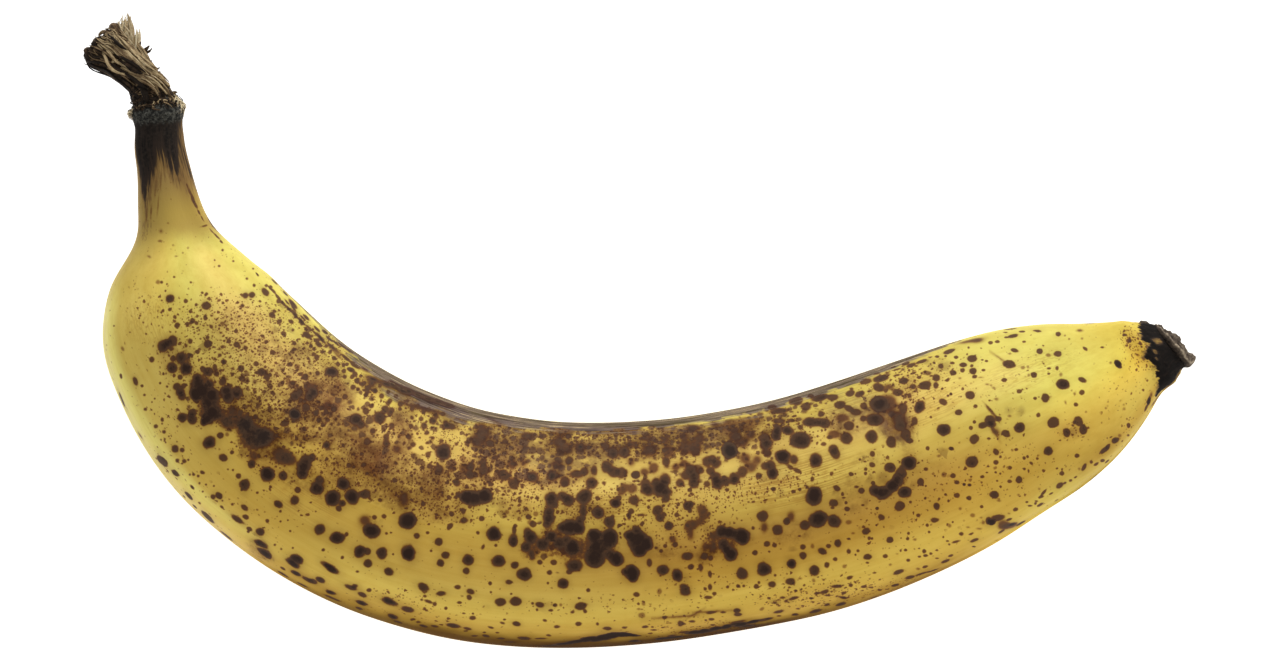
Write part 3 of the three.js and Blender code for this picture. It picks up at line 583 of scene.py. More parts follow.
        (225.7, 24.0, 0.91, 0.63, 168), (231.0, 33.5, 0.71, 0.48, 110), (233.3, 34.3, 0.49, 0.44, 48),
        (230.1, 29.0, 0.40, 0.25, 107), (232.5, 41.5, 0.69, 0.66, 0), (229.4, 29.1, 0.25, 0.15, 107),
        (224.9, 28.0, 0.47, 0.29, 105), (225.4, 31.3, 0.59, 0.37, 174), (222.7, 23.3, 0.77, 0.33, 7),
        (222.3, 19.5, 0.58, 0.38, 9), (220.8, 23.0, 0.58, 0.30, 7), (218.5, 20.3, 0.68, 0.41, 20),
        (222.2, 28.3, 0.58, 0.31, 16), (226.0, 36.0, 0.49, 0.42, 44), (229.1, 40.3, 0.93, 0.77, 109),
        (230.8, 45.2, 0.40, 0.38, 0), (218.8, 26.2, 1.35, 1.00, 14), (215.7, 24.2, 1.16, 0.92, 17),
        (222.9, 34.3, 0.94, 0.92, 0), (226.4, 42.7, 1.25, 1.05, 7), (224.1, 40.7, 0.68, 0.64, 74),
        (228.3, 45.6, 0.79, 0.50, 114), (217.6, 32.7, 1.24, 0.96, 74), (218.7, 36.8, 0.48, 0.35, 104),
        (220.8, 41.0, 1.12, 0.86, 55), (222.0, 44.2, 0.39, 0.34, 38), (212.3, 26.6, 0.48, 0.37, 80),
        (211.7, 29.7, 0.97, 0.85, 118), (213.4, 32.4, 0.95, 0.82, 159), (216.2, 43.9, 1.98, 1.80, 88),
        (214.1, 52.3, 1.63, 1.36, 30), (213.2, 41.6, 0.87, 0.67, 102), (211.2, 44.0, 0.97, 0.72, 30),
        (212.0, 49.7, 0.70, 0.57, 103), (210.1, 39.8, 1.10, 0.66, 63), (208.6, 35.3, 1.15, 1.07, 21),
        (207.7, 28.4, 1.26, 0.98, 52), (205.4, 25.5, 1.56, 1.16, 20), (203.5, 20.6, 0.90, 0.55, 83),
        (200.2, 21.6, 1.65, 0.95, 98), (199.0, 21.3, 1.10, 0.57, 91), (201.7, 29.0, 1.09, 0.88, 63),
        (195.9, 26.7, 1.98, 0.78, 21), (194.5, 21.2, 1.10, 0.73, 78), (204.1, 37.5, 0.78, 0.58, 97),
        (206.7, 39.9, 0.30, 0.25, 39), (198.7, 33.5, 0.40, 0.31, 38), (195.0, 34.0, 1.21, 0.65, 31),
        (197.7, 35.9, 0.60, 0.46, 33), (201.5, 40.9, 1.76, 1.13, 26), (204.2, 44.1, 1.22, 1.05, 91),
        (203.2, 42.4, 1.12, 0.95, 90), (208.7, 51.0, 1.04, 0.95, 91), (194.0, 40.7, 1.37, 0.96, 96),
        (196.3, 42.1, 1.28, 0.89, 56), (199.1, 42.2, 0.62, 0.48, 96), (193.5, 43.8, 0.97, 0.77, 93),
        (198.2, 50.1, 2.23, 1.89, 30), (207.5, 57.3, 1.42, 1.24, 103), (204.2, 54.0, 0.58, 0.44, 26),
        (204.1, 61.6, 1.06, 0.95, 102), (204.2, 64.1, 1.10, 0.95, 105), (212.3, 61.6, 1.32, 1.18, 108),
        (215.4, 68.6, 1.21, 0.92, 98), (218.4, 61.9, 1.07, 0.95, 113), (218.6, 67.8, 1.23, 0.95, 115),
        (218.8, 71.5, 0.76, 0.52, 22), (220.4, 52.7, 1.37, 0.86, 112), (223.5, 54.9, 1.50, 1.02, 132),
        (221.3, 62.1, 0.90, 0.68, 115), (202.6, 56.6, 0.48, 0.43, 32), (201.9, 51.0, 0.23, 0.19, 98),
        (210.3, 53.2, 0.27, 0.23, 103), (193.6, 57.1, 1.42, 1.24, 95), (194.2, 60.3, 0.85, 0.76, 95),
        (195.7, 61.0, 1.02, 0.80, 101), (194.7, 64.3, 0.71, 0.47, 66), (195.8, 67.1, 0.78, 0.44, 44),
        (200.0, 64.4, 1.41, 1.24, 103), (190.9, 65.2, 1.13, 1.05, 95), (211.1, 71.2, 0.59, 0.54, 96),
        (208.4, 71.8, 0.26, 0.25, 0), (210.3, 76.6, 0.61, 0.50, 53), (208.8, 77.6, 0.33, 0.32, 0),
        (208.5, 79.6, 0.33, 0.32, 0), (205.8, 77.6, 0.47, 0.42, 52), (209.2, 73.7, 0.30, 0.18, 20),
        (213.3, 81.1, 1.07, 0.96, 17), (217.0, 82.9, 1.45, 1.37, 0), (215.0, 86.2, 1.14, 0.96, 113),
        (213.9, 88.9, 1.15, 1.14, 0), (212.4, 90.5, 1.53, 1.14, 172), (210.4, 91.9, 1.73, 1.33, 21),
        (209.1, 89.8, 1.34, 1.14, 21), (209.2, 85.8, 0.38, 0.38, 0), (214.3, 96.2, 1.21, 1.18, 0),
        (212.5, 102.5, 1.00, 0.95, 0), (214.6, 102.4, 0.30, 0.29, 0), (217.8, 94.4, 0.76, 0.66, 109),
        (219.6, 89.2, 0.50, 0.38, 22), (218.4, 97.5, 0.20, 0.19, 0), (217.4, 103.7, 0.30, 0.29, 0),
        (221.5, 79.3, 0.43, 0.38, 121), (225.6, 84.4, 0.48, 0.31, 23), (223.9, 98.6, 0.52, 0.46, 33),
        (224.1, 102.9, 0.60, 0.46, 30), (223.1, 109.7, 0.57, 0.47, 38), (221.2, 106.4, 0.31, 0.29, 62),
        (219.8, 107.2, 0.27, 0.25, 64), (221.3, 110.5, 0.32, 0.29, 65), (218.9, 110.3, 0.75, 0.63, 79),
        (215.1, 111.1, 0.46, 0.40, 40), (208.6, 104.4, 0.72, 0.57, 63), (208.3, 99.0, 0.33, 0.32, 0),
        (206.0, 94.7, 0.31, 0.17, 20), (202.9, 93.9, 0.53, 0.46, 21), (203.1, 90.7, 0.34, 0.34, 0),
        (200.9, 88.8, 0.86, 0.68, 17), (200.4, 91.1, 0.38, 0.23, 17), (206.6, 87.4, 0.65, 0.57, 19),
        (206.0, 84.7, 0.46, 0.30, 19), (202.3, 82.0, 0.72, 0.50, 48), (203.0, 86.0, 0.38, 0.30, 109),
        (203.0, 87.9, 0.38, 0.19, 18), (197.6, 82.4, 1.71, 1.59, 108), (195.3, 77.4, 0.31, 0.30, 0),
        (194.0, 77.5, 0.38, 0.25, 14), (190.4, 74.2, 0.39, 0.38, 0), (196.5, 76.1, 0.19, 0.19, 0),
        (197.2, 94.5, 1.77, 1.53, 18), (200.0, 97.9, 1.25, 1.21, 0), (217.7, 117.7, 0.86, 0.57, 32),
        (224.6, 63.7, 0.24, 0.21, 120), (228.2, 57.9, 0.85, 0.68, 75), (230.0, 67.4, 0.69, 0.63, 12),
        (225.8, 73.4, 1.31, 1.20, 11), (229.1, 49.5, 0.29, 0.23, 115), (229.5, 55.2, 0.28, 0.23, 119),
        (230.2, 54.8, 0.28, 0.23, 119), (194.4, 95.8, 0.99, 0.92, 19), (205.0, 108.7, 0.80, 0.69, 4),
        (205.2, 113.1, 0.38, 0.34, 79), (205.7, 113.8, 0.25, 0.23, 79), (201.6, 109.6, 0.35, 0.24, 22),
        (207.2, 107.5, 0.20, 0.19, 75), (208.7, 118.2, 0.69, 0.61, 50), (212.3, 118.6, 0.33, 0.29, 76),
        (211.8, 121.5, 0.40, 0.34, 78), (210.7, 119.5, 0.18, 0.15, 78), (216.0, 118.6, 0.35, 0.30, 74),
        (226.1, 107.5, 0.37, 0.27, 33), (225.2, 105.8, 0.27, 0.25, 57), (225.1, 114.4, 0.60, 0.52, 72),
        (226.7, 122.8, 0.35, 0.29, 67), (226.9, 134.1, 1.02, 0.62, 90), (220.6, 123.3, 0.23, 0.19, 73),
        (215.9, 122.9, 0.34, 0.29, 76), (221.3, 132.9, 0.58, 0.42, 60), (223.0, 136.4, 0.48, 0.33, 12),
        (223.3, 142.8, 0.91, 0.52, 22), (219.9, 136.6, 0.86, 0.37, 18), (218.5, 133.4, 0.34, 0.22, 46),
        (218.6, 136.2, 0.34, 0.23, 79), (218.0, 129.6, 0.22, 0.17, 77), (216.1, 136.3, 0.35, 0.23, 51),
        (214.9, 136.8, 0.36, 0.25, 58), (213.9, 136.6, 0.46, 0.31, 50), (213.9, 133.0, 0.56, 0.39, 87),
        (213.2, 130.0, 0.26, 0.18, 41), (212.8, 135.5, 0.36, 0.24, 46), (215.7, 142.7, 0.45, 0.22, 47),
        (218.2, 146.2, 0.57, 0.43, 48), (217.0, 149.7, 1.06, 0.69, 27), (222.8, 149.1, 0.57, 0.22, 61),
        (210.8, 127.6, 0.35, 0.29, 62), (209.9, 126.8, 0.24, 0.19, 80), (210.7, 134.8, 0.47, 0.35, 62),
        (207.0, 126.4, 0.50, 0.39, 42), (204.0, 123.1, 0.86, 0.66, 19), (203.6, 126.5, 0.37, 0.28, 38),
        (202.6, 117.8, 0.34, 0.30, 82), (202.0, 119.6, 0.20, 0.17, 83), (201.0, 116.4, 0.59, 0.48, 95),
        (199.5, 110.1, 0.77, 0.65, 96), (197.8, 110.1, 0.46, 0.40, 27), (196.4, 112.2, 0.80, 0.60, 44),
        (198.3, 118.5, 0.44, 0.41, 60), (193.0, 100.7, 0.34, 0.23, 15), (190.5, 114.9, 0.84, 0.76, 87),
        (196.6, 120.4, 0.61, 0.50, 92), (199.9, 132.1, 0.64, 0.50, 19), (204.3, 134.5, 0.40, 0.26, 20),
        (199.8, 137.7, 0.53, 0.38, 80), (200.7, 136.4, 0.33, 0.20, 34), (200.5, 141.7, 0.40, 0.23, 40),
        (201.9, 142.2, 0.62, 0.45, 31), (203.1, 145.1, 0.58, 0.25, 41), (197.4, 135.4, 0.99, 0.42, 17),
        (195.1, 137.0, 0.84, 0.51, 1), (195.5, 140.3, 0.72, 0.29, 27), (190.2, 131.3, 0.30, 0.24, 30),
        (192.6, 139.4, 0.41, 0.23, 26), (198.0, 146.5, 1.08, 0.41, 53), (197.4, 154.4, 1.14, 1.03, 57),
        (195.0, 149.3, 0.63, 0.58, 81), (190.0, 146.1, 0.44, 0.28, 41), (190.9, 144.3, 0.33, 0.23, 44),
        (189.4, 153.1, 0.87, 0.49, 65), (207.3, 153.7, 0.89, 0.61, 60), (208.4, 140.5, 1.07, 0.69, 7),
        (210.2, 150.9, 1.06, 0.71, 47), (212.4, 152.5, 1.45, 0.46, 18), (214.4, 155.5, 1.26, 0.45, 20),
        (204.4, 151.7, 0.69, 0.31, 68), (203.3, 163.9, 0.86, 0.67, 41), (213.2, 145.7, 0.58, 0.42, 43),
        (237.1, 36.0, 1.00, 0.94, 9), (236.7, 31.5, 0.30, 0.19, 110), (237.6, 26.1, 0.41, 0.23, 107),
        (235.0, 38.4, 0.68, 0.64, 0), (234.4, 42.3, 0.51, 0.46, 112), (236.4, 41.6, 0.39, 0.29, 114),
        (236.1, 45.8, 0.85, 0.73, 116), (235.9, 49.9, 0.54, 0.48, 21), (238.0, 47.5, 0.38, 0.34, 20),
        (238.8, 39.7, 0.23, 0.21, 28), (239.4, 41.7, 0.31, 0.26, 24), (241.9, 27.5, 0.56, 0.42, 103),
        (243.2, 28.2, 0.52, 0.48, 89), (245.3, 39.7, 0.76, 0.52, 48), (246.4, 25.7, 1.11, 0.62, 173),
        (245.2, 25.7, 0.49, 0.42, 37), (247.1, 14.1, 1.17, 0.50, 8), (245.6, 19.2, 0.49, 0.30, 40),
        (248.6, 22.2, 0.58, 0.43, 24), (247.9, 33.9, 0.39, 0.35, 6), (251.5, 24.4, 0.78, 0.52, 30),
        (243.0, 49.5, 1.19, 0.93, 38), (249.7, 45.3, 0.72, 0.61, 127), (252.7, 51.0, 0.81, 0.76, 0),
        (255.0, 31.2, 0.73, 0.50, 116), (256.1, 33.9, 0.35, 0.21, 114), (256.5, 38.3, 0.36, 0.23, 118),
        (258.4, 51.6, 0.62, 0.39, 77), (261.7, 54.9, 0.44, 0.32, 9), (246.4, 62.4, 0.65, 0.60, 101),
        (249.7, 61.1, 0.39, 0.25, 14), (249.2, 64.9, 0.28, 0.22, 8), (251.2, 62.8, 0.46, 0.31, 121),
        (240.7, 59.1, 0.54, 0.49, 6), (242.4, 69.9, 0.47, 0.41, 6), (250.8, 75.3, 1.22, 1.08, 19),
        (254.7, 77.7, 0.78, 0.51, 44), (253.5, 86.0, 0.55, 0.50, 179), (246.4, 80.1, 0.94, 0.84, 114),
        (244.6, 77.7, 0.38, 0.34, 4), (243.8, 88.2, 0.46, 0.44, 0), (251.4, 92.1, 0.42, 0.38, 16),
        (233.5, 60.5, 0.96, 0.91, 0), (236.4, 68.3, 0.25, 0.21, 15), (233.4, 68.2, 0.45, 0.41, 2),
        (229.2, 49.3, 0.23, 0.19, 27), (234.8, 79.6, 0.99, 0.89, 8), (233.1, 80.3, 0.88, 0.62, 22),
        (236.4, 80.5, 0.69, 0.51, 20), (234.6, 81.8, 0.98, 0.58, 23), (231.9, 76.4, 0.34, 0.32, 148),
        (230.8, 78.7, 0.43, 0.39, 129), (230.5, 85.2, 0.95, 0.88, 12), (233.1, 88.5, 0.40, 0.23, 24),
        (234.6, 91.1, 0.20, 0.19, 0), (236.5, 90.5, 0.85, 0.64, 45), (239.5, 90.4, 1.11, 1.05, 0),
        (245.9, 96.4, 1.24, 1.00, 32), (247.5, 106.8, 0.90, 0.73, 82), (250.5, 103.5, 1.03, 0.89, 69),
        (250.7, 111.0, 1.03, 0.92, 75), (242.8, 111.9, 1.01, 0.88, 54), (247.7, 125.3, 0.55, 0.40, 51),
        (237.1, 101.7, 0.46, 0.31, 29), (233.3, 97.2, 0.73, 0.58, 58), (233.7, 101.1, 0.29, 0.27, 43),
        (232.5, 102.8, 0.56, 0.46, 34), (228.2, 96.1, 1.20, 1.14, 0), (225.7, 84.5, 0.47, 0.31, 23),
        (230.8, 102.8, 0.31, 0.19, 29), (234.6, 109.8, 0.42, 0.38, 64), (237.9, 108.8, 0.35, 0.31, 51),
        (238.6, 109.0, 0.26, 0.23, 51), (240.2, 113.1, 0.31, 0.27, 55), (238.8, 114.0, 0.44, 0.27, 55),
        (237.1, 115.1, 0.31, 0.27, 57), (237.7, 117.6, 0.33, 0.21, 104), (243.7, 131.3, 0.67, 0.47, 55),
        (235.3, 119.4, 0.71, 0.60, 70), (233.5, 117.4, 0.44, 0.32, 41), (229.7, 119.9, 0.99, 0.72, 42),
        (226.1, 107.6, 0.37, 0.25, 31), (229.0, 106.6, 0.39, 0.27, 32), (227.0, 103.4, 0.26, 0.19, 30),
        (230.1, 105.6, 0.25, 0.15, 30), (231.7, 108.1, 0.26, 0.23, 53), (232.4, 110.0, 0.22, 0.19, 54),
        (231.3, 113.1, 0.26, 0.23, 57), (231.5, 117.4, 0.32, 0.27, 60), (255.8, 136.1, 1.01, 0.69, 46),
        (253.2, 136.1, 1.28, 0.68, 15), (254.0, 135.1, 0.61, 0.44, 6), (248.3, 137.2, 0.95, 0.57, 124),
        (249.9, 137.3, 0.59, 0.37, 76), (250.7, 142.8, 0.67, 0.43, 38), (252.1, 144.5, 0.82, 0.34, 64),
        (253.0, 151.6, 0.64, 0.48, 40), (246.0, 140.9, 0.47, 0.34, 25), (244.9, 141.2, 0.56, 0.30, 62),
        (242.5, 139.5, 0.96, 0.77, 49), (243.6, 140.2, 0.42, 0.33, 51), (239.0, 137.5, 0.78, 0.36, 149),
        (238.2, 139.7, 0.57, 0.33, 31), (240.3, 142.1, 0.49, 0.31, 12), (249.8, 164.9, 0.97, 0.62, 172),
        (246.0, 167.0, 0.78, 0.50, 172), (259.2, 135.1, 0.70, 0.46, 81), (258.0, 128.7, 0.28, 0.19, 60),
        (259.4, 127.8, 0.28, 0.19, 60), (258.5, 144.6, 0.59, 0.23, 73), (268.1, 46.3, 0.52, 0.27, 66),
        (268.0, 57.5, 0.49, 0.46, 0), (269.4, 38.9, 0.27, 0.19, 96), (232.6, 137.2, 0.62, 0.44, 46),
        (230.8, 141.8, 0.69, 0.36, 29), (228.7, 135.4, 1.46, 0.73, 31), (228.7, 149.3, 0.83, 0.59, 19),
        (237.6, 146.8, 0.73, 0.49, 22), (235.5, 141.2, 0.67, 0.21, 46), (236.7, 142.4, 0.47, 0.25, 73),
        (235.2, 136.9, 0.32, 0.17, 51), (237.0, 140.7, 0.43, 0.20, 52), (222.7, 148.7, 0.59, 0.22, 57),
        (225.2, 105.9, 0.27, 0.25, 57), (267.8, 46.4, 0.39, 0.29, 114), (268.2, 58.7, 0.37, 0.31, 113),
        (270.9, 74.1, 0.37, 0.31, 140), (264.6, 137.0, 0.55, 0.31, 72), (268.6, 75.5, 0.28, 0.27, 0),
        (267.9, 81.8, 0.29, 0.27, 0), (34.0, 37.9, 0.43, 0.23, 173), (35.1, 35.3, 0.77, 0.34, 171),
        (36.6, 32.9, 0.87, 0.38, 174), (38.0, 31.3, 0.77, 0.37, 173), (39.6, 30.0, 0.62, 0.27, 174),
        (40.8, 29.0, 0.55, 0.18, 177), (42.4, 33.0, 0.85, 0.17, 87), (43.7, 26.2, 0.70, 0.22, 175),
        (44.9, 25.0, 0.81, 0.37, 180), (46.2, 26.3, 0.48, 0.34, 34), (55.7, 24.2, 0.48, 0.29, 19),
        (60.2, 22.3, 0.43, 0.33, 71), (61.7, 23.7, 0.58, 0.41, 20), (80.0, 24.0, 0.99, 0.50, 9),
        (81.5, 29.2, 0.70, 0.58, 9), (80.4, 33.9, 0.48, 0.34, 78), (89.3, 24.2, 1.00, 0.50, 12),
        (92.4, 24.8, 1.19, 0.66, 9), (169.8, 150.3, 0.97, 0.46, 6), (167.6, 153.2, 0.96, 0.49, 176),
        (179.3, 147.7, 1.35, 0.39, 180), (184.1, 151.4, 1.35, 0.67, 175), (99.2, 146.0, 1.55, 1.34, 21),
        (105.0, 146.5, 0.78, 0.59, 170), (107.0, 147.1, 1.15, 0.80, 179), (111.2, 147.9, 0.88, 0.64, 166),
        (116.1, 146.2, 1.16, 0.67, 172), (121.5, 150.0, 1.19, 0.92, 113), (139.5, 89.6, 1.17, 0.87, 84),
        (142.0, 86.3, 1.13, 0.79, 85), (93.9, 33.6, 0.54, 0.38, 79), (95.5, 34.1, 0.65, 0.46, 79),
        (95.5, 29.6, 0.47, 0.31, 80), (97.3, 32.8, 0.60, 0.42, 80), (97.0, 38.3, 0.46, 0.34, 78),
        (98.8, 34.3, 0.69, 0.50, 80), (98.9, 29.9, 0.52, 0.35, 81), (100.7, 33.7, 0.65, 0.46, 81),
        (101.0, 28.8, 0.51, 0.33, 82), (99.4, 39.0, 0.51, 0.38, 79), (102.8, 34.4, 0.64, 0.46, 82),
        (103.6, 29.9, 0.52, 0.35, 83), (105.2, 34.8, 0.64, 0.46, 82), (105.8, 29.8, 0.50, 0.33, 83),
        (107.7, 33.6, 0.60, 0.42, 83), (108.9, 29.6, 0.53, 0.35, 84), (110.9, 33.3, 0.65, 0.46, 84),
        (111.8, 29.0, 0.48, 0.31, 85), (113.7, 32.3, 0.61, 0.42, 86), (114.7, 28.7, 0.51, 0.33, 86),
        (117.1, 32.3, 0.66, 0.46, 87), (118.4, 28.6, 0.54, 0.35, 88), (85.1, 28.2, 0.55, 0.35, 79),
        (87.0, 29.9, 0.64, 0.42, 79), (88.9, 31.6, 0.56, 0.38, 78), (91.3, 33.2, 0.60, 0.42, 78),
        (90.7, 27.8, 0.49, 0.31, 80), (83.1, 26.5, 0.51, 0.31, 80), (80.3, 27.1, 0.56, 0.35, 80),
        (78.4, 28.0, 0.45, 0.29, 80), (83.6, 31.9, 0.50, 0.34, 78), (75.8, 27.3, 0.49, 0.31, 80),
        (73.2, 26.6, 0.51, 0.31, 80), (71.4, 26.0, 0.45, 0.27, 80), (68.3, 26.0, 0.49, 0.29, 80),
        (65.7, 25.4, 0.50, 0.29, 80), (79.1, 34.3, 0.48, 0.34, 78), (81.6, 34.1, 0.43, 0.31, 78),
        (76.9, 32.7, 0.41, 0.29, 78), (63.9, 24.7, 0.81, 0.40, 13), (66.4, 25.4, 0.80, 0.36, 12),
        (68.4, 25.4, 1.00, 0.41, 10), (71.1, 25.4, 0.79, 0.32, 7), (73.1, 25.4, 0.98, 0.36, 3),
        (76.0, 24.9, 0.97, 0.40, 1), (78.2, 24.4, 0.78, 0.34, 2), (66.3, 21.7, 0.82, 0.34, 15),
        (69.0, 21.9, 0.81, 0.34, 14), (72.7, 22.0, 0.78, 0.34, 5), (60.5, 24.3, 0.60, 0.31, 6),
        (81.0, 24.9, 0.98, 0.40, 3), (84.0, 23.7, 0.98, 0.38, 3), (263.8, 140.1, 0.70, 0.40, 161),
    ],
    "bluish": [
        (89.3, 71.1, 1.15, 1.10, 0), (183.3, 46.4, 2.02, 1.63, 92),
    ],
    "soft": [
        (80.9, 98.2, 1.22, 1.18, 0), (80.0, 91.7, 0.77, 0.76, 0), (85.1, 92.9, 1.74, 1.71, 0),
        (86.4, 93.1, 1.93, 1.89, 0), (88.5, 100.7, 0.91, 0.87, 0), (98.9, 29.9, 1.16, 0.77, 81),
        (88.3, 54.4, 1.33, 1.14, 73), (93.5, 56.8, 0.70, 0.61, 72), (111.8, 59.4, 0.77, 0.68, 81),
        (92.8, 92.0, 1.54, 1.51, 0), (94.2, 91.1, 1.15, 1.14, 0), (108.2, 32.1, 0.77, 0.44, 168),
        (110.8, 31.1, 0.96, 0.51, 168), (113.6, 30.1, 0.96, 0.52, 168), (116.6, 29.0, 0.96, 0.54, 168),
        (111.9, 99.1, 0.98, 0.95, 0), (117.0, 81.1, 0.76, 0.75, 0), (117.4, 83.8, 0.66, 0.66, 0),
        (137.2, 50.3, 1.03, 0.86, 91), (139.7, 48.4, 0.70, 0.57, 92), (139.6, 30.4, 1.23, 1.09, 130),
        (128.2, 30.6, 1.45, 0.96, 88), (128.4, 38.9, 1.52, 1.15, 88), (129.6, 33.3, 1.37, 0.96, 89),
        (148.5, 35.9, 1.59, 1.15, 92), (146.9, 31.9, 1.41, 0.96, 92), (146.9, 47.3, 1.15, 0.94, 172),
        (163.2, 34.4, 1.15, 0.81, 6), (166.7, 40.1, 1.64, 1.25, 93), (162.7, 46.5, 0.71, 0.57, 93),
        (166.3, 30.7, 1.16, 0.87, 9), (170.6, 41.9, 1.49, 1.15, 94), (170.3, 33.4, 1.11, 0.77, 93),
        (174.3, 39.9, 1.52, 1.15, 93), (176.4, 41.5, 1.74, 1.34, 93), (176.6, 26.7, 1.19, 0.94, 27),
        (181.4, 26.3, 0.86, 0.73, 62), (177.7, 35.2, 1.34, 0.96, 92), (174.4, 33.5, 1.10, 0.77, 93),
        (186.1, 53.3, 1.13, 0.95, 93), (186.9, 59.3, 1.08, 0.95, 93), (188.5, 55.9, 0.88, 0.76, 93),
        (185.1, 37.9, 1.55, 1.15, 92), (186.4, 43.6, 1.22, 0.96, 92), (188.2, 39.2, 1.02, 0.77, 92),
        (219.6, 35.0, 0.98, 0.67, 34), (218.8, 55.6, 1.34, 1.12, 27), (218.2, 45.6, 1.94, 1.53, 106),
        (218.6, 59.5, 1.30, 1.14, 111), (234.9, 86.7, 0.77, 0.52, 68), (238.6, 18.9, 1.94, 0.67, 11),
        (240.0, 21.2, 0.97, 0.87, 24), (85.2, 24.2, 1.36, 0.61, 1), (87.4, 26.8, 0.79, 0.37, 8),
        (95.0, 23.5, 0.97, 0.57, 179), (131.6, 23.1, 0.94, 0.27, 27),
    ],
    "soft_bluish": [
        (83.6, 91.8, 1.44, 1.42, 0), (87.5, 90.4, 1.82, 1.80, 0), (103.5, 22.2, 1.02, 0.88, 35),
        (105.8, 22.1, 1.04, 0.93, 54), (108.0, 21.3, 1.08, 0.95, 66), (110.6, 21.2, 1.07, 1.05, 0),
        (113.3, 21.1, 1.07, 1.06, 0), (116.0, 20.2, 1.19, 1.01, 151), (118.7, 19.5, 1.21, 0.96, 148),
        (142.0, 56.2, 1.09, 0.95, 93), (146.2, 54.7, 1.11, 0.95, 93), (151.8, 35.7, 1.06, 0.77, 92),
        (98.5, 26.8, 1.35, 0.69, 165), (102.0, 25.2, 1.16, 0.86, 165), (106.7, 23.8, 1.35, 0.93, 171),
    ],
    "faint": [
        (60.5, 133.0, 0.54, 0.38, 137), (44.0, 103.8, 0.48, 0.27, 106), (46.6, 113.7, 0.58, 0.24, 123),
        (51.8, 99.6, 0.61, 0.50, 149), (82.4, 102.4, 0.40, 0.38, 0), (82.2, 50.2, 0.68, 0.57, 73),
        (83.2, 59.9, 0.53, 0.47, 69), (124.5, 59.2, 0.85, 0.76, 87), (127.1, 58.0, 0.97, 0.85, 87),
        (126.2, 52.3, 0.67, 0.57, 87), (137.2, 58.3, 0.65, 0.57, 92), (148.7, 123.2, 0.34, 0.29, 88),
        (162.7, 131.9, 0.67, 0.63, 50), (166.2, 118.3, 0.60, 0.42, 92), (163.2, 124.5, 0.45, 0.38, 87),
        (162.3, 127.6, 0.38, 0.23, 8), (183.8, 139.8, 0.64, 0.50, 129), (167.5, 139.4, 0.29, 0.21, 18),
        (222.9, 85.5, 0.39, 0.25, 22), (222.4, 95.7, 0.49, 0.48, 0), (202.5, 100.8, 0.54, 0.43, 22),
        (202.7, 107.4, 0.35, 0.26, 23), (213.0, 123.7, 0.41, 0.30, 36), (224.5, 125.1, 0.49, 0.37, 48),
        (222.8, 117.7, 0.33, 0.29, 68), (225.8, 129.1, 0.34, 0.19, 39), (219.8, 124.7, 0.42, 0.34, 74),
        (222.9, 130.9, 0.33, 0.18, 37), (224.7, 135.5, 0.61, 0.23, 38), (194.9, 107.7, 0.48, 0.38, 99),
        (199.5, 124.3, 0.47, 0.41, 69), (193.7, 127.7, 0.47, 0.38, 87), (191.4, 124.3, 0.39, 0.27, 20),
        (211.9, 144.6, 0.57, 0.31, 62), (207.4, 132.9, 0.36, 0.28, 61), (209.1, 127.8, 0.29, 0.18, 32),
        (233.2, 47.2, 0.29, 0.25, 26), (236.9, 51.8, 0.38, 0.14, 24), (244.1, 41.3, 0.38, 0.26, 19),
        (250.9, 50.4, 0.48, 0.43, 163), (259.0, 39.6, 0.39, 0.25, 120), (261.5, 73.5, 0.25, 0.21, 155),
        (245.2, 54.9, 0.47, 0.42, 2), (246.1, 55.3, 0.36, 0.29, 121), (245.5, 61.5, 0.34, 0.29, 126),
        (251.3, 68.3, 0.44, 0.38, 139), (252.1, 84.6, 0.27, 0.25, 175), (249.7, 87.7, 0.38, 0.21, 94),
        (252.6, 100.1, 0.28, 0.25, 33), (256.5, 106.1, 0.23, 0.19, 38), (237.7, 69.1, 0.43, 0.29, 20),
        (238.3, 62.0, 0.38, 0.26, 20), (237.4, 58.0, 0.38, 0.23, 23), (238.0, 59.6, 0.23, 0.19, 124),
        (238.6, 81.8, 0.35, 0.23, 21), (249.1, 103.9, 0.26, 0.23, 41), (236.4, 100.9, 0.31, 0.29, 41),
        (247.2, 135.8, 0.36, 0.23, 70), (256.9, 135.5, 0.57, 0.35, 66), (260.0, 114.1, 0.25, 0.19, 48),
        (230.2, 125.0, 0.49, 0.25, 37), (225.9, 133.1, 0.53, 0.38, 73), (234.1, 128.6, 0.30, 0.23, 66),
        (238.4, 132.9, 0.33, 0.23, 68), (241.1, 155.5, 0.52, 0.37, 60), (227.4, 160.5, 0.78, 0.18, 58),
        (231.1, 137.0, 0.31, 0.17, 51), (40.8, 90.6, 0.19, 0.17, 161), (45.3, 86.6, 0.22, 0.17, 169),
        (46.4, 70.4, 0.26, 0.19, 14), (47.6, 83.6, 0.29, 0.20, 104), (47.2, 76.5, 0.20, 0.15, 4),
        (38.5, 129.4, 1.55, 0.27, 9), (38.1, 118.8, 1.16, 0.19, 10), (235.9, 74.8, 1.73, 0.12, 75),
        (33.5, 114.7, 2.33, 0.22, 9), (32.9, 102.9, 1.94, 0.19, 11), (31.9, 91.0, 1.75, 0.14, 11),
        (37.0, 103.2, 1.36, 0.14, 13), (31.5, 51.1, 1.37, 0.88, 5), (142.3, 80.3, 0.57, 0.46, 175),
        (140.1, 79.3, 0.42, 0.42, 0), (143.3, 76.0, 0.50, 0.49, 0), (137.6, 76.5, 0.46, 0.45, 0),
    ],
    "brown": [
        (73.0, 155.7, 0.74, 0.50, 149), (171.9, 52.1, 0.91, 0.76, 94), (173.6, 50.8, 0.92, 0.76, 94),
        (167.2, 51.3, 1.14, 0.95, 94), (165.4, 53.3, 0.90, 0.76, 94), (160.9, 61.4, 0.85, 0.76, 94),
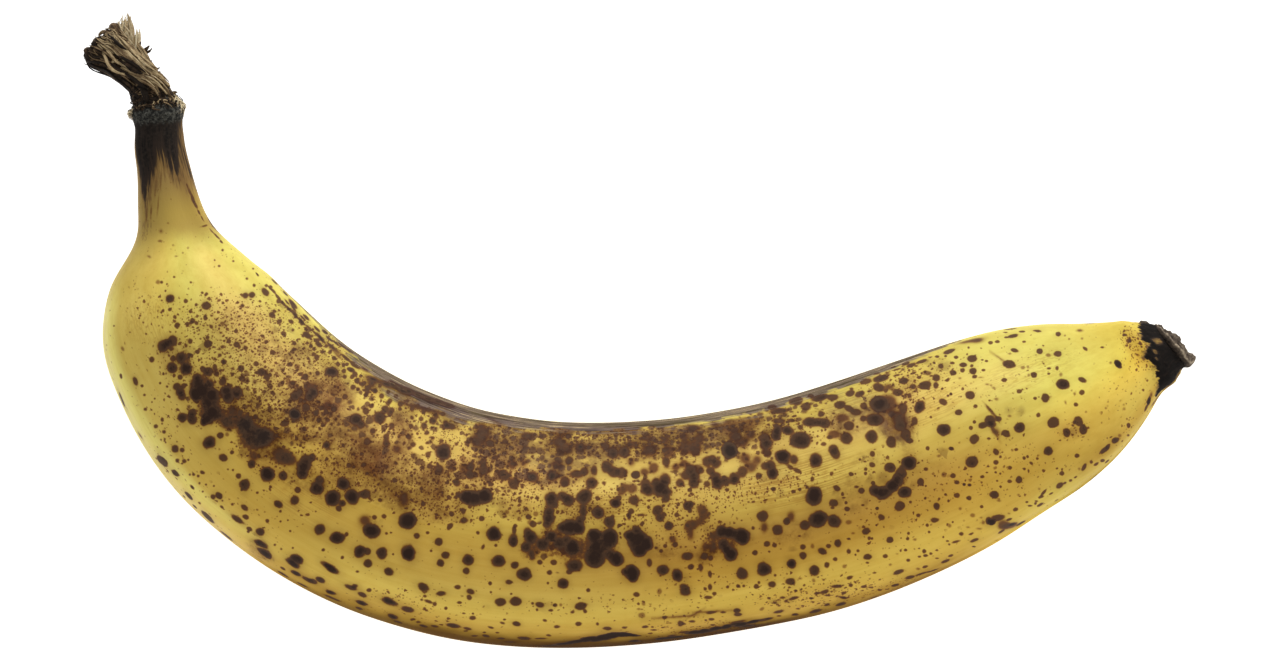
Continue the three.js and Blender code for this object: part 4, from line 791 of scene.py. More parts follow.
        (162.5, 62.2, 1.05, 0.95, 95), (160.3, 64.1, 0.83, 0.76, 95), (175.9, 77.6, 0.96, 0.95, 0),
        (176.3, 80.9, 0.95, 0.95, 0), (175.4, 83.6, 0.76, 0.76, 0), (174.1, 84.7, 0.76, 0.76, 0),
        (173.1, 85.4, 1.14, 1.14, 0), (173.1, 89.5, 0.95, 0.57, 98), (169.6, 90.9, 0.67, 0.66, 0),
        (176.9, 97.9, 0.97, 0.57, 98), (175.4, 97.2, 0.77, 0.57, 97), (177.4, 91.8, 0.76, 0.76, 0),
        (187.0, 92.5, 0.95, 0.57, 101), (208.1, 44.6, 1.26, 0.95, 30), (205.4, 53.1, 1.25, 0.90, 25),
        (192.4, 89.7, 0.95, 0.76, 103), (259.6, 28.4, 0.53, 0.41, 168), (235.5, 72.2, 0.29, 0.10, 79),
        (235.7, 74.9, 0.58, 0.12, 78), (236.0, 78.0, 0.57, 0.12, 79), (234.5, 83.9, 0.57, 0.12, 86),
        (234.7, 88.0, 0.67, 0.12, 85), (229.4, 143.7, 2.02, 1.00, 65), (230.3, 148.2, 2.42, 0.92, 48),
        (42.1, 103.0, 0.27, 0.23, 139), (168.5, 135.3, 3.07, 0.21, 4), (172.0, 135.1, 1.21, 0.20, 150),
        (175.1, 135.2, 2.51, 0.21, 8), (242.0, 42.9, 1.40, 0.16, 66), (265.9, 135.0, 0.49, 0.38, 128),
        (268.3, 170.9, 0.78, 0.68, 175), (269.4, 158.1, 0.93, 0.57, 134), (270.7, 152.4, 0.92, 0.52, 36),
        (267.0, 158.5, 0.97, 0.45, 40), (265.7, 153.4, 0.95, 0.41, 33),
    ],
    "slate": [
        (78.1, 147.6, 1.71, 1.34, 124), (80.8, 144.0, 0.90, 0.77, 125), (84.1, 140.9, 0.55, 0.43, 166),
        (84.5, 150.3, 0.96, 0.88, 3), (84.0, 158.4, 0.49, 0.39, 94), (86.2, 156.8, 0.62, 0.58, 97),
        (88.7, 154.5, 1.54, 1.48, 0), (92.5, 160.8, 1.55, 1.11, 177), (67.1, 156.5, 1.55, 0.80, 9),
        (163.5, 54.8, 0.89, 0.76, 94), (232.9, 155.7, 1.06, 0.68, 21), (231.0, 148.6, 1.02, 0.48, 38),
        (59.0, 12.4, 0.70, 0.62, 176), (63.6, 13.8, 0.67, 0.57, 41), (79.6, 16.0, 0.91, 0.73, 88),
        (82.1, 19.2, 0.82, 0.54, 5), (86.1, 15.5, 1.18, 0.73, 7), (84.2, 17.9, 0.99, 0.49, 7),
        (88.3, 15.1, 0.97, 0.61, 1),
    ],
    "black": [
        (146.9, 161.2, 2.17, 0.61, 167), (149.2, 155.8, 2.43, 0.82, 160), (151.3, 151.9, 2.46, 0.97, 156),
        (153.3, 149.3, 2.39, 1.21, 160), (154.6, 149.8, 1.60, 1.36, 147), (155.8, 148.0, 1.98, 1.35, 159),
        (157.4, 146.3, 1.93, 1.19, 172), (159.1, 145.9, 2.32, 0.92, 7), (160.8, 147.4, 1.82, 0.61, 21),
        (161.1, 156.3, 0.97, 0.74, 5), (172.5, 153.8, 2.94, 1.21, 10), (167.6, 157.2, 2.32, 0.92, 3),
        (262.7, 78.1, 0.83, 0.64, 93), (227.4, 135.9, 1.09, 0.79, 55), (165.9, 156.9, 1.35, 0.86, 2),
        (171.5, 153.1, 1.55, 1.35, 9), (173.2, 153.1, 1.36, 1.10, 10), (175.4, 152.2, 1.54, 0.91, 177),
        (177.3, 151.9, 1.35, 1.20, 178), (179.8, 152.5, 1.73, 1.17, 0), (181.7, 151.6, 1.55, 0.83, 173),
        (264.9, 137.6, 0.88, 0.59, 141),
    ],
}
# name: (strength, slate tint, edge softness in mm)
MARK_STYLE = {
    "dark": (1.0, 0.0, 0.13),
    "bluish": (1.0, 0.45, 0.25),
    "soft": (0.70, 0.15, 0.80),
    "soft_bluish": (0.88, 0.5, 0.75),
    "faint": (0.42, 0.0, 0.2),
    "brown": (0.62, 0.0, 0.5),
    "slate": (0.85, 0.6, 0.2),
    "black": (1.15, 0.2, 0.12),
}
SLOTS = 4


def tangent_frame(s, a):
    """Point, unit vectors along the fruit and round it, and outward normal at (s, a)."""
    c = surface(np.array([s]), np.array([a]))[0]
    along = surface(np.array([s + 0.1]), np.array([a]))[0] - surface(np.array([s - 0.1]), np.array([a]))[0]
    along /= np.linalg.norm(along)
    across = surface(np.array([s]), np.array([a + 0.01]))[0] - surface(np.array([s]), np.array([a - 0.01]))[0]
    across -= along * along.dot(across)
    across /= np.linalg.norm(across)
    return c, along, across, np.cross(across, along)


def mark_list():
    rows = []
    for kind, items in MARKS.items():
        strength, tint, soft = MARK_STYLE[kind]
        for s, a, r1, r2, turn in items:
            size = math.sqrt(r1 * r2)
            k = strength
            if kind == "dark":
                odd = math.sin(s * 12.9898 + a * 78.233) * 43758.5453 % 1.0
                k = 0.68 + 0.15 * float(smoothstep(0.2, 0.9, size)) + 0.14 * float(smoothstep(0.9, 1.5, size)) + 0.09 * (odd - 0.4)
                k *= 1 - 0.03 * float(smoothstep(190, 215, s))
                soft = min(0.33, 0.11 + 0.17 * size) * (1 - 0.25 * float(smoothstep(190, 210, s)))
                belt = float(smoothstep(78, 60, a) * smoothstep(96, 112, s) * smoothstep(232, 216, s))
                k *= 1 - 0.06 * belt
                soft *= 1 + 0.30 * belt
                if s > 254:
                    soft = min(0.24, soft)
                    k *= 0.62 if size < 0.32 else 1.0
            rows.append((s, math.radians(a), r1, r2, math.radians(turn), k, tint, soft))
    # the underside and the flanks carry the same kinds of marks, scattered
    rng = np.random.default_rng(90210)
    placed = []
    for _ in range(1500):
        s = rng.uniform(34, 268)
        a = rng.uniform(0, 2 * math.pi)
        c, along, across, out = tangent_frame(s, a)
        if out[2] > -0.02:
            continue
        big = rng.random()
        r = 0.2 + 0.5 * rng.random() ** 2
        if big < 0.30:
            r = rng.uniform(0.6, 1.3)
        if big < 0.05:
            r = rng.uniform(1.2, 2.0)
        centre = 1 - 0.65 * float(smoothstep(70, 135, abs(s - 135)))
        if rng.random() > centre:
            continue
        stretch = rng.uniform(1.0, 1.5)
        rows.append((s, a, r * stretch, r, rng.uniform(-0.5, 0.5), 0.78 + 0.25 * min(1, r), 0.0, min(0.38, 0.13 + 0.2 * r)))
    return rows


def paint_marks(mesh, grid, rings, angles):
    """Writes, on each face corner, where it lies in the up to SLOTS marks nearest to its face."""
    n, m = grid.shape[:2]
    k2 = (np.arange(m) + 1) % m
    corners = np.stack([grid[:-1], grid[:-1][:, k2], grid[1:][:, k2], grid[1:]], 2)  # n-1, m, 4, 3
    centre = corners.mean(2)
    faces = (n - 1) * m
    best = np.full((n - 1, m, SLOTS), 1e3)
    place = np.zeros((n - 1, m, SLOTS, 4, 3), np.float32)
    place[..., 0] = 9.0
    place[..., 2] = 1.0
    tone = np.zeros((n - 1, m, SLOTS, 3), np.float32)
    tone[..., 2] = 0.1
    for s, a, r1, r2, turn, strength, tint, soft in mark_list():
        c, along, across, out = tangent_frame(s, a)
        e1 = math.cos(turn) * along + math.sin(turn) * across
        e2 = -math.sin(turn) * along + math.cos(turn) * across
        reach = r1 + soft + 1.0
        lo = max(0, np.searchsorted(rings, s - reach * 1.6) - 1)
        hi = min(n - 1, np.searchsorted(rings, s + reach * 1.6) + 1)
        if hi <= lo:
            continue
        d = centre[lo:hi] - c
        u = d @ e1 / r1
        w = d @ e2 / r2
        dist = np.sqrt(u * u + w * w)
        sd = (dist - 1) * r2
        near = (np.linalg.norm(d, axis=-1) < reach) & (sd < min(soft, 0.55) + 0.75)
        ii, kk = np.nonzero(near)
        if not len(ii):
            continue
        fi, value = ii + lo, sd[ii, kk]
        worst = best[fi, kk].argmax(-1)
        better = value < best[fi, kk, worst]
        fi, kk, worst, value = fi[better], kk[better], worst[better], value[better]
        q = corners[fi, kk] - c
        best[fi, kk, worst] = value
        place[fi, kk, worst, :, 0] = q @ e1 / r1
        place[fi, kk, worst, :, 1] = q @ e2 / r2
        place[fi, kk, worst, :, 2] = 1 / r2
        tone[fi, kk, worst] = (strength, tint, soft)
    loops = len(mesh.loops)
    for slot in range(SLOTS):
        flat = np.tile(np.array([9.0, 0, 1.0], np.float32), (loops, 1))
        flat[: faces * 4] = place[:, :, slot].reshape(-1, 3)
        at = mesh.attributes.new(f"mark{slot}", "FLOAT_VECTOR", "CORNER")
        at.data.foreach_set("vector", flat.ravel())
        flat = np.tile(np.array([0, 0, 0.1], np.float32), (loops, 1))
        flat[: faces * 4] = np.repeat(tone[:, :, slot].reshape(-1, 3), 4, axis=0)
        at = mesh.attributes.new(f"tone{slot}", "FLOAT_VECTOR", "CORNER")
        at.data.foreach_set("vector", flat.ravel())


# Broad discoloured regions of the skin: arc length, angle, half length, half width (mm), turn, amount
FIELDS = {
    "wash": [
        (67.8, 59, 11.9, 8.3, 115, 0.3), (81.2, 72, 14.2, 8.3, 132, 0.28), (91.5, 57, 7.4, 6.3, 125, 0.74),
        (95.3, 46, 3.8, 3.2, 104, 0.5), (101.4, 64, 6.1, 5.3, 139, 0.68), (108.6, 70, 5.7, 5.0, 150, 0.9),
        (102.9, 80, 4.7, 2.9, 150, 0.45), (114.2, 69, 5.3, 4.4, 155, 0.5), (121.5, 71, 4.3, 3.4, 74, 0.8),
        (113.9, 80, 3.8, 2.3, 158, 0.5), (125.4, 81, 4.7, 2.3, 165, 0.4), (134.9, 39, 8.1, 5.0, 165, 0.85),
        (128.6, 35, 4.3, 2.6, 158, 0.62), (147.3, 36, 5.5, 5.2, 0, 0.7), (144.5, 53, 5.7, 3.6, 174, 0.28),
        (156.2, 36, 5.8, 3.7, 1, 0.65), (167.0, 34, 7.7, 3.3, 7, 0.65), (177.6, 36, 7.7, 3.7, 13, 0.55),
        (187.2, 37, 6.8, 3.6, 17, 0.6), (174.6, 55, 3.8, 2.7, 10, 0.12), (147.8, 57, 4.8, 2.2, 177, 0.25),
        (196.5, 33, 5.5, 2.2, 23, 0.25), (209.6, 46, 4.9, 4.2, 38, 0.35), (217.4, 60, 4.3, 3.0, 112, 0.85),
        (215.7, 49, 4.3, 4.1, 0, 0.6), (128.4, 58, 6.7, 2.6, 165, 0.55), (106.4, 27, 8.1, 2.8, 0, 0.6),
        (78.2, 38, 5.5, 3.5, 83, 0.12), (89.7, 37, 5.1, 3.5, 13, 0.42), (175.2, 102, 3.0, 2.4, 11, 0.45),
        (164.7, 42, 5.7, 2.5, 5, 0.35), (150.8, 51, 3.8, 2.7, 178, 0.4), (86.3, 82, 5.7, 2.7, 139, 0.5),
        (80.1, 87, 5.7, 3.0, 133, 0.3), (93.2, 79, 6.8, 1.7, 144, 0.8), (118.7, 26, 5.8, 3.2, 2, 0.6),
        (219.0, 71, 8.1, 2.7, 114, 0.22), (230.9, 32, 3.9, 2.8, 36, 0.25), (126.8, 84, 11.3, 1.9, 166, 0.22),
        (117.6, 84, 3.8, 1.9, 161, 0.3), (153.9, 44, 4.8, 1.9, 91, 0.3), (248.3, 106, 3.0, 1.9, 30, 0.2),
        (111.6, 25, 4.8, 3.4, 0, 0.5), (98.7, 32, 4.2, 2.2, 178, 0.4), (116.4, 83, 5.7, 2.6, 160, 0.35),
        (129.5, 70, 5.3, 2.4, 167, 0.3), (97.8, 96, 4.6, 3.0, 146, 0.3), (204.3, 90, 4.6, 4.2, 20, 0.32),
        (191.4, 98, 6.1, 3.1, 13, 0.3), (168.8, 97, 3.8, 2.3, 7, 0.32), (218.7, 66, 3.3, 2.3, 114, 0.35),
        (155.9, 74, 5.7, 1.9, 2, 0.2), (65.0, 100, 4.4, 2.7, 119, 0.22), (207.6, 77, 5.7, 3.1, 20, 0.2),
        (220.7, 88, 5.8, 3.0, 23, 0.18), (239.1, 78, 2.7, 2.0, 19, 0.15), (132.6, 23, 6.2, 2.6, 177, 0.8),
        (147.2, 23, 6.8, 2.3, 177, 0.85), (160.7, 24, 6.8, 2.1, 4, 0.85), (173.7, 27, 6.7, 1.9, 5, 0.85),
        (186.3, 30, 6.5, 2.4, 1, 0.95), (120.9, 24, 5.4, 2.8, 175, 0.8), (110.0, 42, 4.0, 3.3, 70, 0.7),
        (112.5, 53, 3.1, 2.3, 75, 0.6), (89.4, 93, 2.9, 2.3, 174, 0.7), (139.4, 74, 4.5, 2.7, 173, 0.34),
        (106.2, 85, 5.7, 1.9, 173, 0.32), (90.5, 101, 5.8, 1.4, 166, 0.32), (205.8, 44, 2.8, 2.5, 58, 0.4),
        (150.5, 74, 4.9, 1.9, 179, 0.35), (81.3, 46, 4.5, 2.6, 122, 0.3), (98.1, 149, 4.5, 2.6, 85, 0.5),
        (79.8, 42, 2.8, 2.4, 19, 0.4), (223.1, 40, 4.1, 2.3, 111, 0.3), (207.6, 52, 3.2, 3.0, 0, 0.25),
        (210.5, 72, 3.8, 2.0, 21, 0.22), (122.4, 34, 2.6, 1.8, 146, 0.35), (101.9, 96, 3.5, 1.7, 149, 0.3),
        (90.9, 93, 3.1, 1.3, 142, 0.3), (82.1, 36, 4.0, 3.5, 31, 0.3), (151.5, 68, 4.9, 1.4, 180, 0.28),
        (65.6, 106, 3.4, 2.1, 30, 0.2),
    ],
    "infill": [
        (72.8, 96, 2.7, 2.4, 34, 0.9), (73.4, 102, 1.8, 1.7, 0, 0.8), (75.9, 98, 2.4, 2.3, 0, 1),
        (77.7, 102, 2.8, 1.9, 127, 1), (77.0, 88, 2.5, 1.0, 129, 0.7), (68.7, 100, 1.8, 1.5, 121, 0.8),
        (80.6, 97, 2.0, 1.7, 130, 0.8), (78.0, 98, 1.6, 1.5, 0, 0.7), (80.6, 91, 2.3, 1.5, 133, 0.5),
        (83.1, 92, 2.5, 2.1, 135, 1), (86.9, 92, 4.2, 2.1, 139, 1), (86.7, 98, 2.7, 1.5, 138, 0.7),
        (92.7, 80, 5.7, 0.6, 146, 0.5), (92.4, 92, 3.1, 1.9, 143, 0.7), (97.7, 91, 2.3, 2.3, 0, 0.55),
        (101.7, 95, 2.3, 1.5, 61, 0.55), (66.8, 97, 1.6, 1.5, 0, 0.8), (130.7, 72, 3.4, 1.8, 168, 0.5),
        (147.9, 91, 5.7, 2.7, 179, 0.7), (142.7, 93, 2.7, 2.3, 85, 0.6), (146.6, 84, 2.3, 2.3, 0, 0.55),
        (151.1, 94, 2.7, 2.3, 89, 0.75), (155.0, 91, 3.0, 2.7, 91, 0.9), (156.9, 91, 2.7, 2.7, 0, 0.75),
        (151.1, 79, 3.0, 1.5, 180, 0.5), (156.9, 79, 1.9, 1.5, 93, 0.35), (178.7, 95, 3.8, 1.9, 10, 0.65),
        (179.6, 100, 1.8, 1.7, 0, 0.6), (176.7, 97, 1.7, 1.5, 96, 0.45), (175.4, 102, 2.3, 1.6, 10, 0.3),
        (197.1, 95, 2.7, 1.5, 16, 0.45), (212.6, 91, 3.1, 1.5, 172, 0.7), (214.7, 86, 1.5, 1.5, 0, 0.5),
        (63.0, 102, 1.6, 1.1, 118, 0.5), (113.4, 100, 1.6, 1.3, 74, 0.5), (105.8, 93, 2.7, 1.9, 151, 0.4),
        (122.4, 34, 1.8, 1.3, 145, 0.45),
    ],
    "freckle": [
        (67.8, 59, 11.9, 9.3, 111, 0.8), (140.0, 74, 4.9, 2.7, 174, 0.6), (98.6, 34, 5.2, 2.6, 14, 0.8),
        (112.5, 30, 5.4, 2.3, 3, 0.6), (74.9, 26, 7.8, 2.5, 5, 0.5), (219.5, 66, 10.4, 2.3, 114, 0.35),
        (248.7, 107, 3.5, 2.3, 31, 0.5), (223.1, 40, 5.1, 2.7, 111, 0.45), (65.3, 106, 3.8, 2.9, 30, 0.4),
        (82.1, 36, 4.0, 3.5, 31, 0.7), (90.5, 43, 3.9, 2.8, 13, 0.7), (180.8, 86, 4.6, 2.3, 10, 0.3),
        (126.8, 84, 13.2, 1.9, 166, 0.4), (230.6, 35, 4.7, 3.3, 33, 0.4), (150.9, 74, 6.8, 2.7, 180, 0.6),
        (121.8, 132, 7.1, 2.5, 157, 0.35), (105.3, 86, 7.6, 2.3, 172, 0.5), (90.5, 101, 6.9, 1.8, 166, 0.5),
        (119.3, 41, 5.9, 2.4, 154, 0.5), (205.5, 43, 3.2, 2.8, 49, 0.5), (76.4, 65, 13.5, 6.1, 126, 1),
        (82.7, 72, 14.2, 6.9, 134, 1), (90.9, 72, 9.4, 4.9, 141, 0.9), (84.6, 27, 9.5, 7.6, 70, 0.6),
        (109.5, 43, 8.9, 5.8, 143, 0.6), (110.4, 73, 11.3, 5.9, 155, 0.8), (123.3, 72, 9.5, 5.9, 163, 0.9),
        (135.2, 60, 11.4, 5.3, 170, 0.8), (147.8, 63, 11.4, 4.2, 178, 0.6), (163.8, 74, 11.4, 5.9, 4, 0.55),
        (173.3, 82, 7.6, 6.6, 7, 0.55), (183.8, 71, 17.1, 3.6, 2, 0.7), (160.5, 31, 28.8, 5.7, 4, 0.8),
        (128.9, 39, 11.7, 6.2, 161, 0.8), (194.7, 40, 11.7, 5.0, 20, 0.5), (100.1, 78, 7.5, 3.8, 148, 0.8),
        (60.3, 71, 7.6, 5.1, 110, 0.35), (58.5, 102, 8.5, 7.6, 133, 0.22), (173.7, 115, 11.5, 4.2, 10, 0.3),
        (125.6, 141, 18.4, 4.8, 155, 0.22), (148.5, 124, 7.6, 2.7, 180, 0.2),
        (162.5, 127, 11.5, 3.7, 6, 0.26), (221.9, 36, 11.7, 6.6, 30, 0.4), (212.9, 99, 11.8, 11.4, 0, 0.22),
        (232.7, 108, 14.7, 7.8, 30, 0.22), (240.9, 51, 15.4, 12.0, 19, 0.12),
        (201.0, 144, 17.7, 3.8, 33, 0.4), (190.7, 139, 12.0, 3.4, 20, 0.5), (176.0, 156, 12.5, 4.5, 25, 0.6),
        (261.5, 115, 8.1, 7.1, 100, 0.25), (269.0, 67, 5.1, 3.1, 107, 0.9), (76.5, 131, 10.6, 5.9, 52, 0.25),
        (95.4, 114, 12.2, 7.9, 138, 0.18),
    ],
    "blotch": [
        (81.3, 76, 13.2, 6.8, 133, 0.45), (96.0, 63, 9.6, 7.2, 140, 0.45), (78.3, 39, 5.5, 4.2, 76, 0.3),
        (106.5, 54, 6.8, 4.4, 145, 0.4), (115.7, 50, 5.0, 4.4, 130, 0.35), (135.0, 41, 8.7, 5.9, 164, 0.75),
        (126.3, 59, 6.7, 2.6, 163, 0.7), (147.5, 42, 7.7, 6.2, 172, 0.6), (158.3, 38, 6.7, 4.1, 2, 0.7),
        (169.1, 36, 8.6, 5.3, 8, 0.6), (180.8, 38, 8.7, 5.1, 15, 0.7), (174.6, 56, 5.7, 3.1, 10, 0.4),
        (189.0, 43, 6.8, 5.3, 23, 0.6), (193.7, 26, 8.1, 3.2, 26, 0.7), (203.9, 28, 6.1, 2.4, 30, 0.5),
        (209.0, 51, 5.1, 4.7, 0, 0.35), (216.8, 42, 4.9, 3.7, 33, 0.45), (223.2, 34, 7.8, 3.3, 30, 0.3),
        (148.2, 91, 7.6, 4.7, 179, 0.35), (133.1, 61, 7.6, 3.2, 169, 0.4), (164.4, 52, 5.7, 3.4, 5, 0.3),
        (143.4, 52, 6.7, 3.6, 173, 0.6), (98.9, 44, 5.2, 4.4, 111, 0.4), (125.6, 30, 11.5, 2.9, 172, 0.5),
        (147.2, 26, 11.6, 2.0, 174, 0.6), (167.3, 26, 11.6, 2.0, 8, 0.6),
    ],
    "grey": [
        (144.5, 52, 6.7, 3.6, 174, 0.9), (134.7, 38, 8.7, 5.1, 165, 0.35), (156.2, 41, 7.7, 4.5, 1, 0.45),
        (177.6, 36, 11.6, 4.2, 13, 0.4), (217.4, 60, 4.3, 3.0, 112, 0.8), (111.0, 70, 3.0, 1.5, 66, 0.4),
        (212.1, 44, 7.8, 6.0, 32, 0.5), (106.1, 26, 7.7, 2.6, 180, 0.4), (89.1, 70, 1.6, 1.5, 0, 0.6),
        (77.9, 67, 1.2, 1.1, 0, 0.4),
    ],
    "striae": [
        (156.0, 71, 9.9, 3.2, 5, 0.55), (195.9, 72, 12.6, 5.1, 179, 0.7), (174.6, 55, 5.7, 4.4, 11, 0.5),
        (57.6, 108, 6.5, 4.3, 105, 0.35), (99.8, 105, 7.6, 4.0, 177, 0.3), (246.2, 58, 10.2, 3.9, 175, 0.35),
        (225.9, 54, 7.9, 5.8, 171, 0.4), (115.5, 8, 5.8, 4.8, 6, 0.5), (151.8, 31, 17.3, 2.3, 179, 0.4),
        (211.1, 34, 9.7, 2.7, 1, 0.45),
    ],
}
# the grey purple band along the inner curve: arc length and the angle where it ends
BAND = [
    (58, 2), (70, 5), (80, 8.5), (87, 13), (94, 17.5), (99, 21.5), (105, 24.5), (113, 24.5), (118, 24.5), (127, 23.5),
    (137, 22), (147, 20.5), (156, 20.5), (170, 20.2), (183, 20.2), (196, 20.2), (210, 20), (219, 18.5), (226, 16.5),
    (235, 13), (250, 8),
]


def field(items, softness=0.6):
    """A smooth field over the peel's vertices from listed ellipses."""
    total = np.zeros(P.shape[:2])
    for s, a, l1, l2, turn, amount in items:
        c, along, across, out = tangent_frame(s, math.radians(a))
        t = math.radians(turn)
        d = P - c
        u, w = S - s, d @ across
        deep = d @ out
        q = np.sqrt(((u * math.cos(t) + w * math.sin(t)) / l1) ** 2 + ((-u * math.sin(t) + w * math.cos(t)) / l2) ** 2)
        v = amount * (1 - smoothstep(1 - softness, 1 + softness * 0.6, q)) * (deep > -14)
        total = 1 - (1 - total) * (1 - v)
    return total


def bloom_field():
    """The brown halo that surrounds the larger marks and fills the gaps where they crowd."""
    clear = np.ones(P.shape[:2])
    for s, a, r1, r2, turn, strength, tint, soft in mark_list():
        size = math.sqrt(r1 * r2)
        if size < 0.6:
            continue
        reach = r1 + 0.9 + size
        lo, hi = np.searchsorted(RINGS, (s - reach * 1.5, s + reach * 1.5))
        if hi <= lo:
            continue
        c, along, across, out = tangent_frame(s, a)
        e1 = math.cos(turn) * along + math.sin(turn) * across
        e2 = -math.sin(turn) * along + math.cos(turn) * across
        d = P[lo:hi] - c
        q = np.sqrt((d @ e1 / r1) ** 2 + (d @ e2 / r2) ** 2)
        far = np.maximum(q - 1, 0) * r2
        near = np.linalg.norm(d, axis=-1) < reach * 1.4
        g = (0.54 - 0.22 * float(smoothstep(190, 214, s))) * min(strength, 1) * np.exp(-((far / (0.30 + 0.38 * size)) ** 1.5)) * near
        clear[lo:hi] *= 1 - g
    return 1 - clear


def point_attribute(mesh, name, values, kind="FLOAT", extra=None):
    n = len(mesh.vertices)
    values = np.asarray(values, np.float32)
    width = 1 if kind == "FLOAT" else 3
    flat = np.zeros((n, width), np.float32)
    flat[: values.shape[0] * values.shape[1]] = values.reshape(-1, width)
    rest = n - values.shape[0] * values.shape[1]
    if rest:
        flat[-rest] = values[0].reshape(-1, width).mean(0)
        flat[-1] = values[-1].reshape(-1, width).mean(0)
    at = mesh.attributes.new(name, kind, "POINT")
    at.data.foreach_set("value" if kind == "FLOAT" else "vector", flat.ravel())


_x, _y, _z, _h, _half = axis_at(S.ravel())
_half = _half.reshape(S.shape)
ROUND = np.maximum(_half, 3.0)
straight = np.stack([S, ROUND * np.cos(A), ROUND * np.sin(A)], -1)
point_attribute(peel.data, "straight", straight, "FLOAT_VECTOR")
for _name in ("wash", "infill", "freckle", "blotch", "grey", "striae"):
    point_attribute(peel.data, _name, field(FIELDS[_name]))
point_attribute(peel.data, "bloom", bloom_field())


def flat_attribute(mesh):
    """Arc length and distance round from the side that faces up, cut along the underside."""
    n = len(RINGS)
    seam = SIDES * 3 // 4
    half = axis_at(RINGS)[4]
    column = (np.arange(SIDES) - seam) % SIDES
    t0, t1 = (column / SIDES - 0.5) * 2 * np.pi, ((column + 1) / SIDES - 0.5) * 2 * np.pi
    a, b = np.arange(n - 1), np.arange(1, n)
    quad = np.stack([
        np.stack([np.broadcast_to(RINGS[i][:, None], (n - 1, SIDES)), half[i][:, None] * t[None]], -1)
        for i, t in ((a, t0), (a, t1), (b, t1), (b, t0))
    ], 2)
    flat = np.zeros((len(mesh.loops), 3), np.float32)
    flat[: quad.size // 2, :2] = quad.reshape(-1, 2)
    at = mesh.attributes.new("flat", "FLOAT_VECTOR", "CORNER")
    at.data.foreach_set("vector", flat.ravel())


flat_attribute(peel.data)
# paler yellow towards the upper side is partly painted light on the side that faces the light; the shoulder and tip
# are paler in their own colour
_lit_upper = smoothstep(108, 58, np.degrees(np.abs((A + np.pi) % (2 * np.pi) - np.pi)))
_ends = 0.55 * smoothstep(96, 66, S) + 0.45 * smoothstep(222, 250, S)
point_attribute(peel.data, "lemon_and_lit_side", np.clip(0.75 * _lit_upper + _ends, 0, 1))
DEG = np.degrees(A)


def rgb_scale(amount, r, g, b):
    return 1 + np.asarray(amount)[..., None] * (np.array([r, g, b]) - 1)


def bump_at(x, mid, wide):
    return np.exp(-(((x - mid) / wide) ** 2))


# broad multipliers, mostly painted light and shade with some of the skin's own tint: a painted sheen on the pale upper
# side, painted shade in the ochre middle and along the lower outer edge, painted light on a belt above the ridge of
# the outer side and on both flanks, the skin on that ridge browned partly in its own colour and partly with painted
# shade, a bright yellow shoulder and tip that is partly painted light
_edgen = fbm(np.stack([S * 0.10, np.cos(A) * 4.0, np.sin(A) * 4.0], -1).reshape(-1, 3), 67, 4, 0.6).reshape(S.shape)
_turned = DEG + 5.0 * _edgen - 4.5 * bump_at(S, 181, 20)
# painted sheen: the upper side that faces the light made paler
_tint_and_painted_light = rgb_scale(bump_at(DEG, 56, 15) * smoothstep(252, 240, S) * smoothstep(42, 50, S), 1.16, 1.06, 1.27)
# painted shade: the middle belt darker and more ochre
_tint_and_painted_light = _tint_and_painted_light * rgb_scale(bump_at(DEG, 96, 15) * (0.25 * smoothstep(92, 116, S) + 0.75 * smoothstep(142, 172, S)) * smoothstep(240, 218, S), 0.83, 0.76, 0.84)
# painted light: lighter belts on the outer side above its ridge and on the left flank
_tint_and_painted_light = _tint_and_painted_light * rgb_scale(bump_at(DEG, 113, 15) * smoothstep(72, 96, S) * smoothstep(176, 148, S), 1.08, 1.17, 1.42)
_tint_and_painted_light = _tint_and_painted_light * rgb_scale(bump_at(DEG, 120, 22) * smoothstep(92, 70, S) * smoothstep(47, 56, S), 1.05, 1.04, 1.22)
_tint_and_painted_light = _tint_and_painted_light * rgb_scale(bump_at(DEG, 129, 9) * smoothstep(92, 120, S) * smoothstep(236, 214, S), 1.28, 1.46, 1.74)
# the ridge of the outer side darkened: partly browned skin, partly painted shade
_ridge = smoothstep(139, 156, _turned) * smoothstep(206, 174, _turned)
_browned_and_shaded = smoothstep(92, 130, S) * (0.36 + 0.64 * smoothstep(204, 182, S)) * smoothstep(232, 208, S)
_ridgen = fbm(np.stack([S * 0.05, np.cos(A) * 4, np.sin(A) * 4], -1).reshape(-1, 3), 97, 4, 0.6).reshape(S.shape)
_ridge = _ridge * (1 - np.clip(0.30 + 0.9 * _ridgen, 0, 0.9) * smoothstep(164, 172, _turned))
_tint_and_painted_light = _tint_and_painted_light * rgb_scale(_ridge * _browned_and_shaded, 0.19, 0.14, 0.13)
# painted shade: the lower outer edge darker, near the tip too
_outer_edge_shade = smoothstep(154, 162, DEG) * smoothstep(215, 190, DEG)
_tint_and_painted_light = _tint_and_painted_light * rgb_scale(_outer_edge_shade * smoothstep(92, 110, S) * smoothstep(232, 212, S) * (1 - 0.9 * bump_at(S, 128, 12)), 0.60, 0.55, 0.52)
_tint_and_painted_light = _tint_and_painted_light * rgb_scale(_outer_edge_shade * smoothstep(236, 246, S) * smoothstep(266, 260, S), 0.74, 0.70, 0.55)
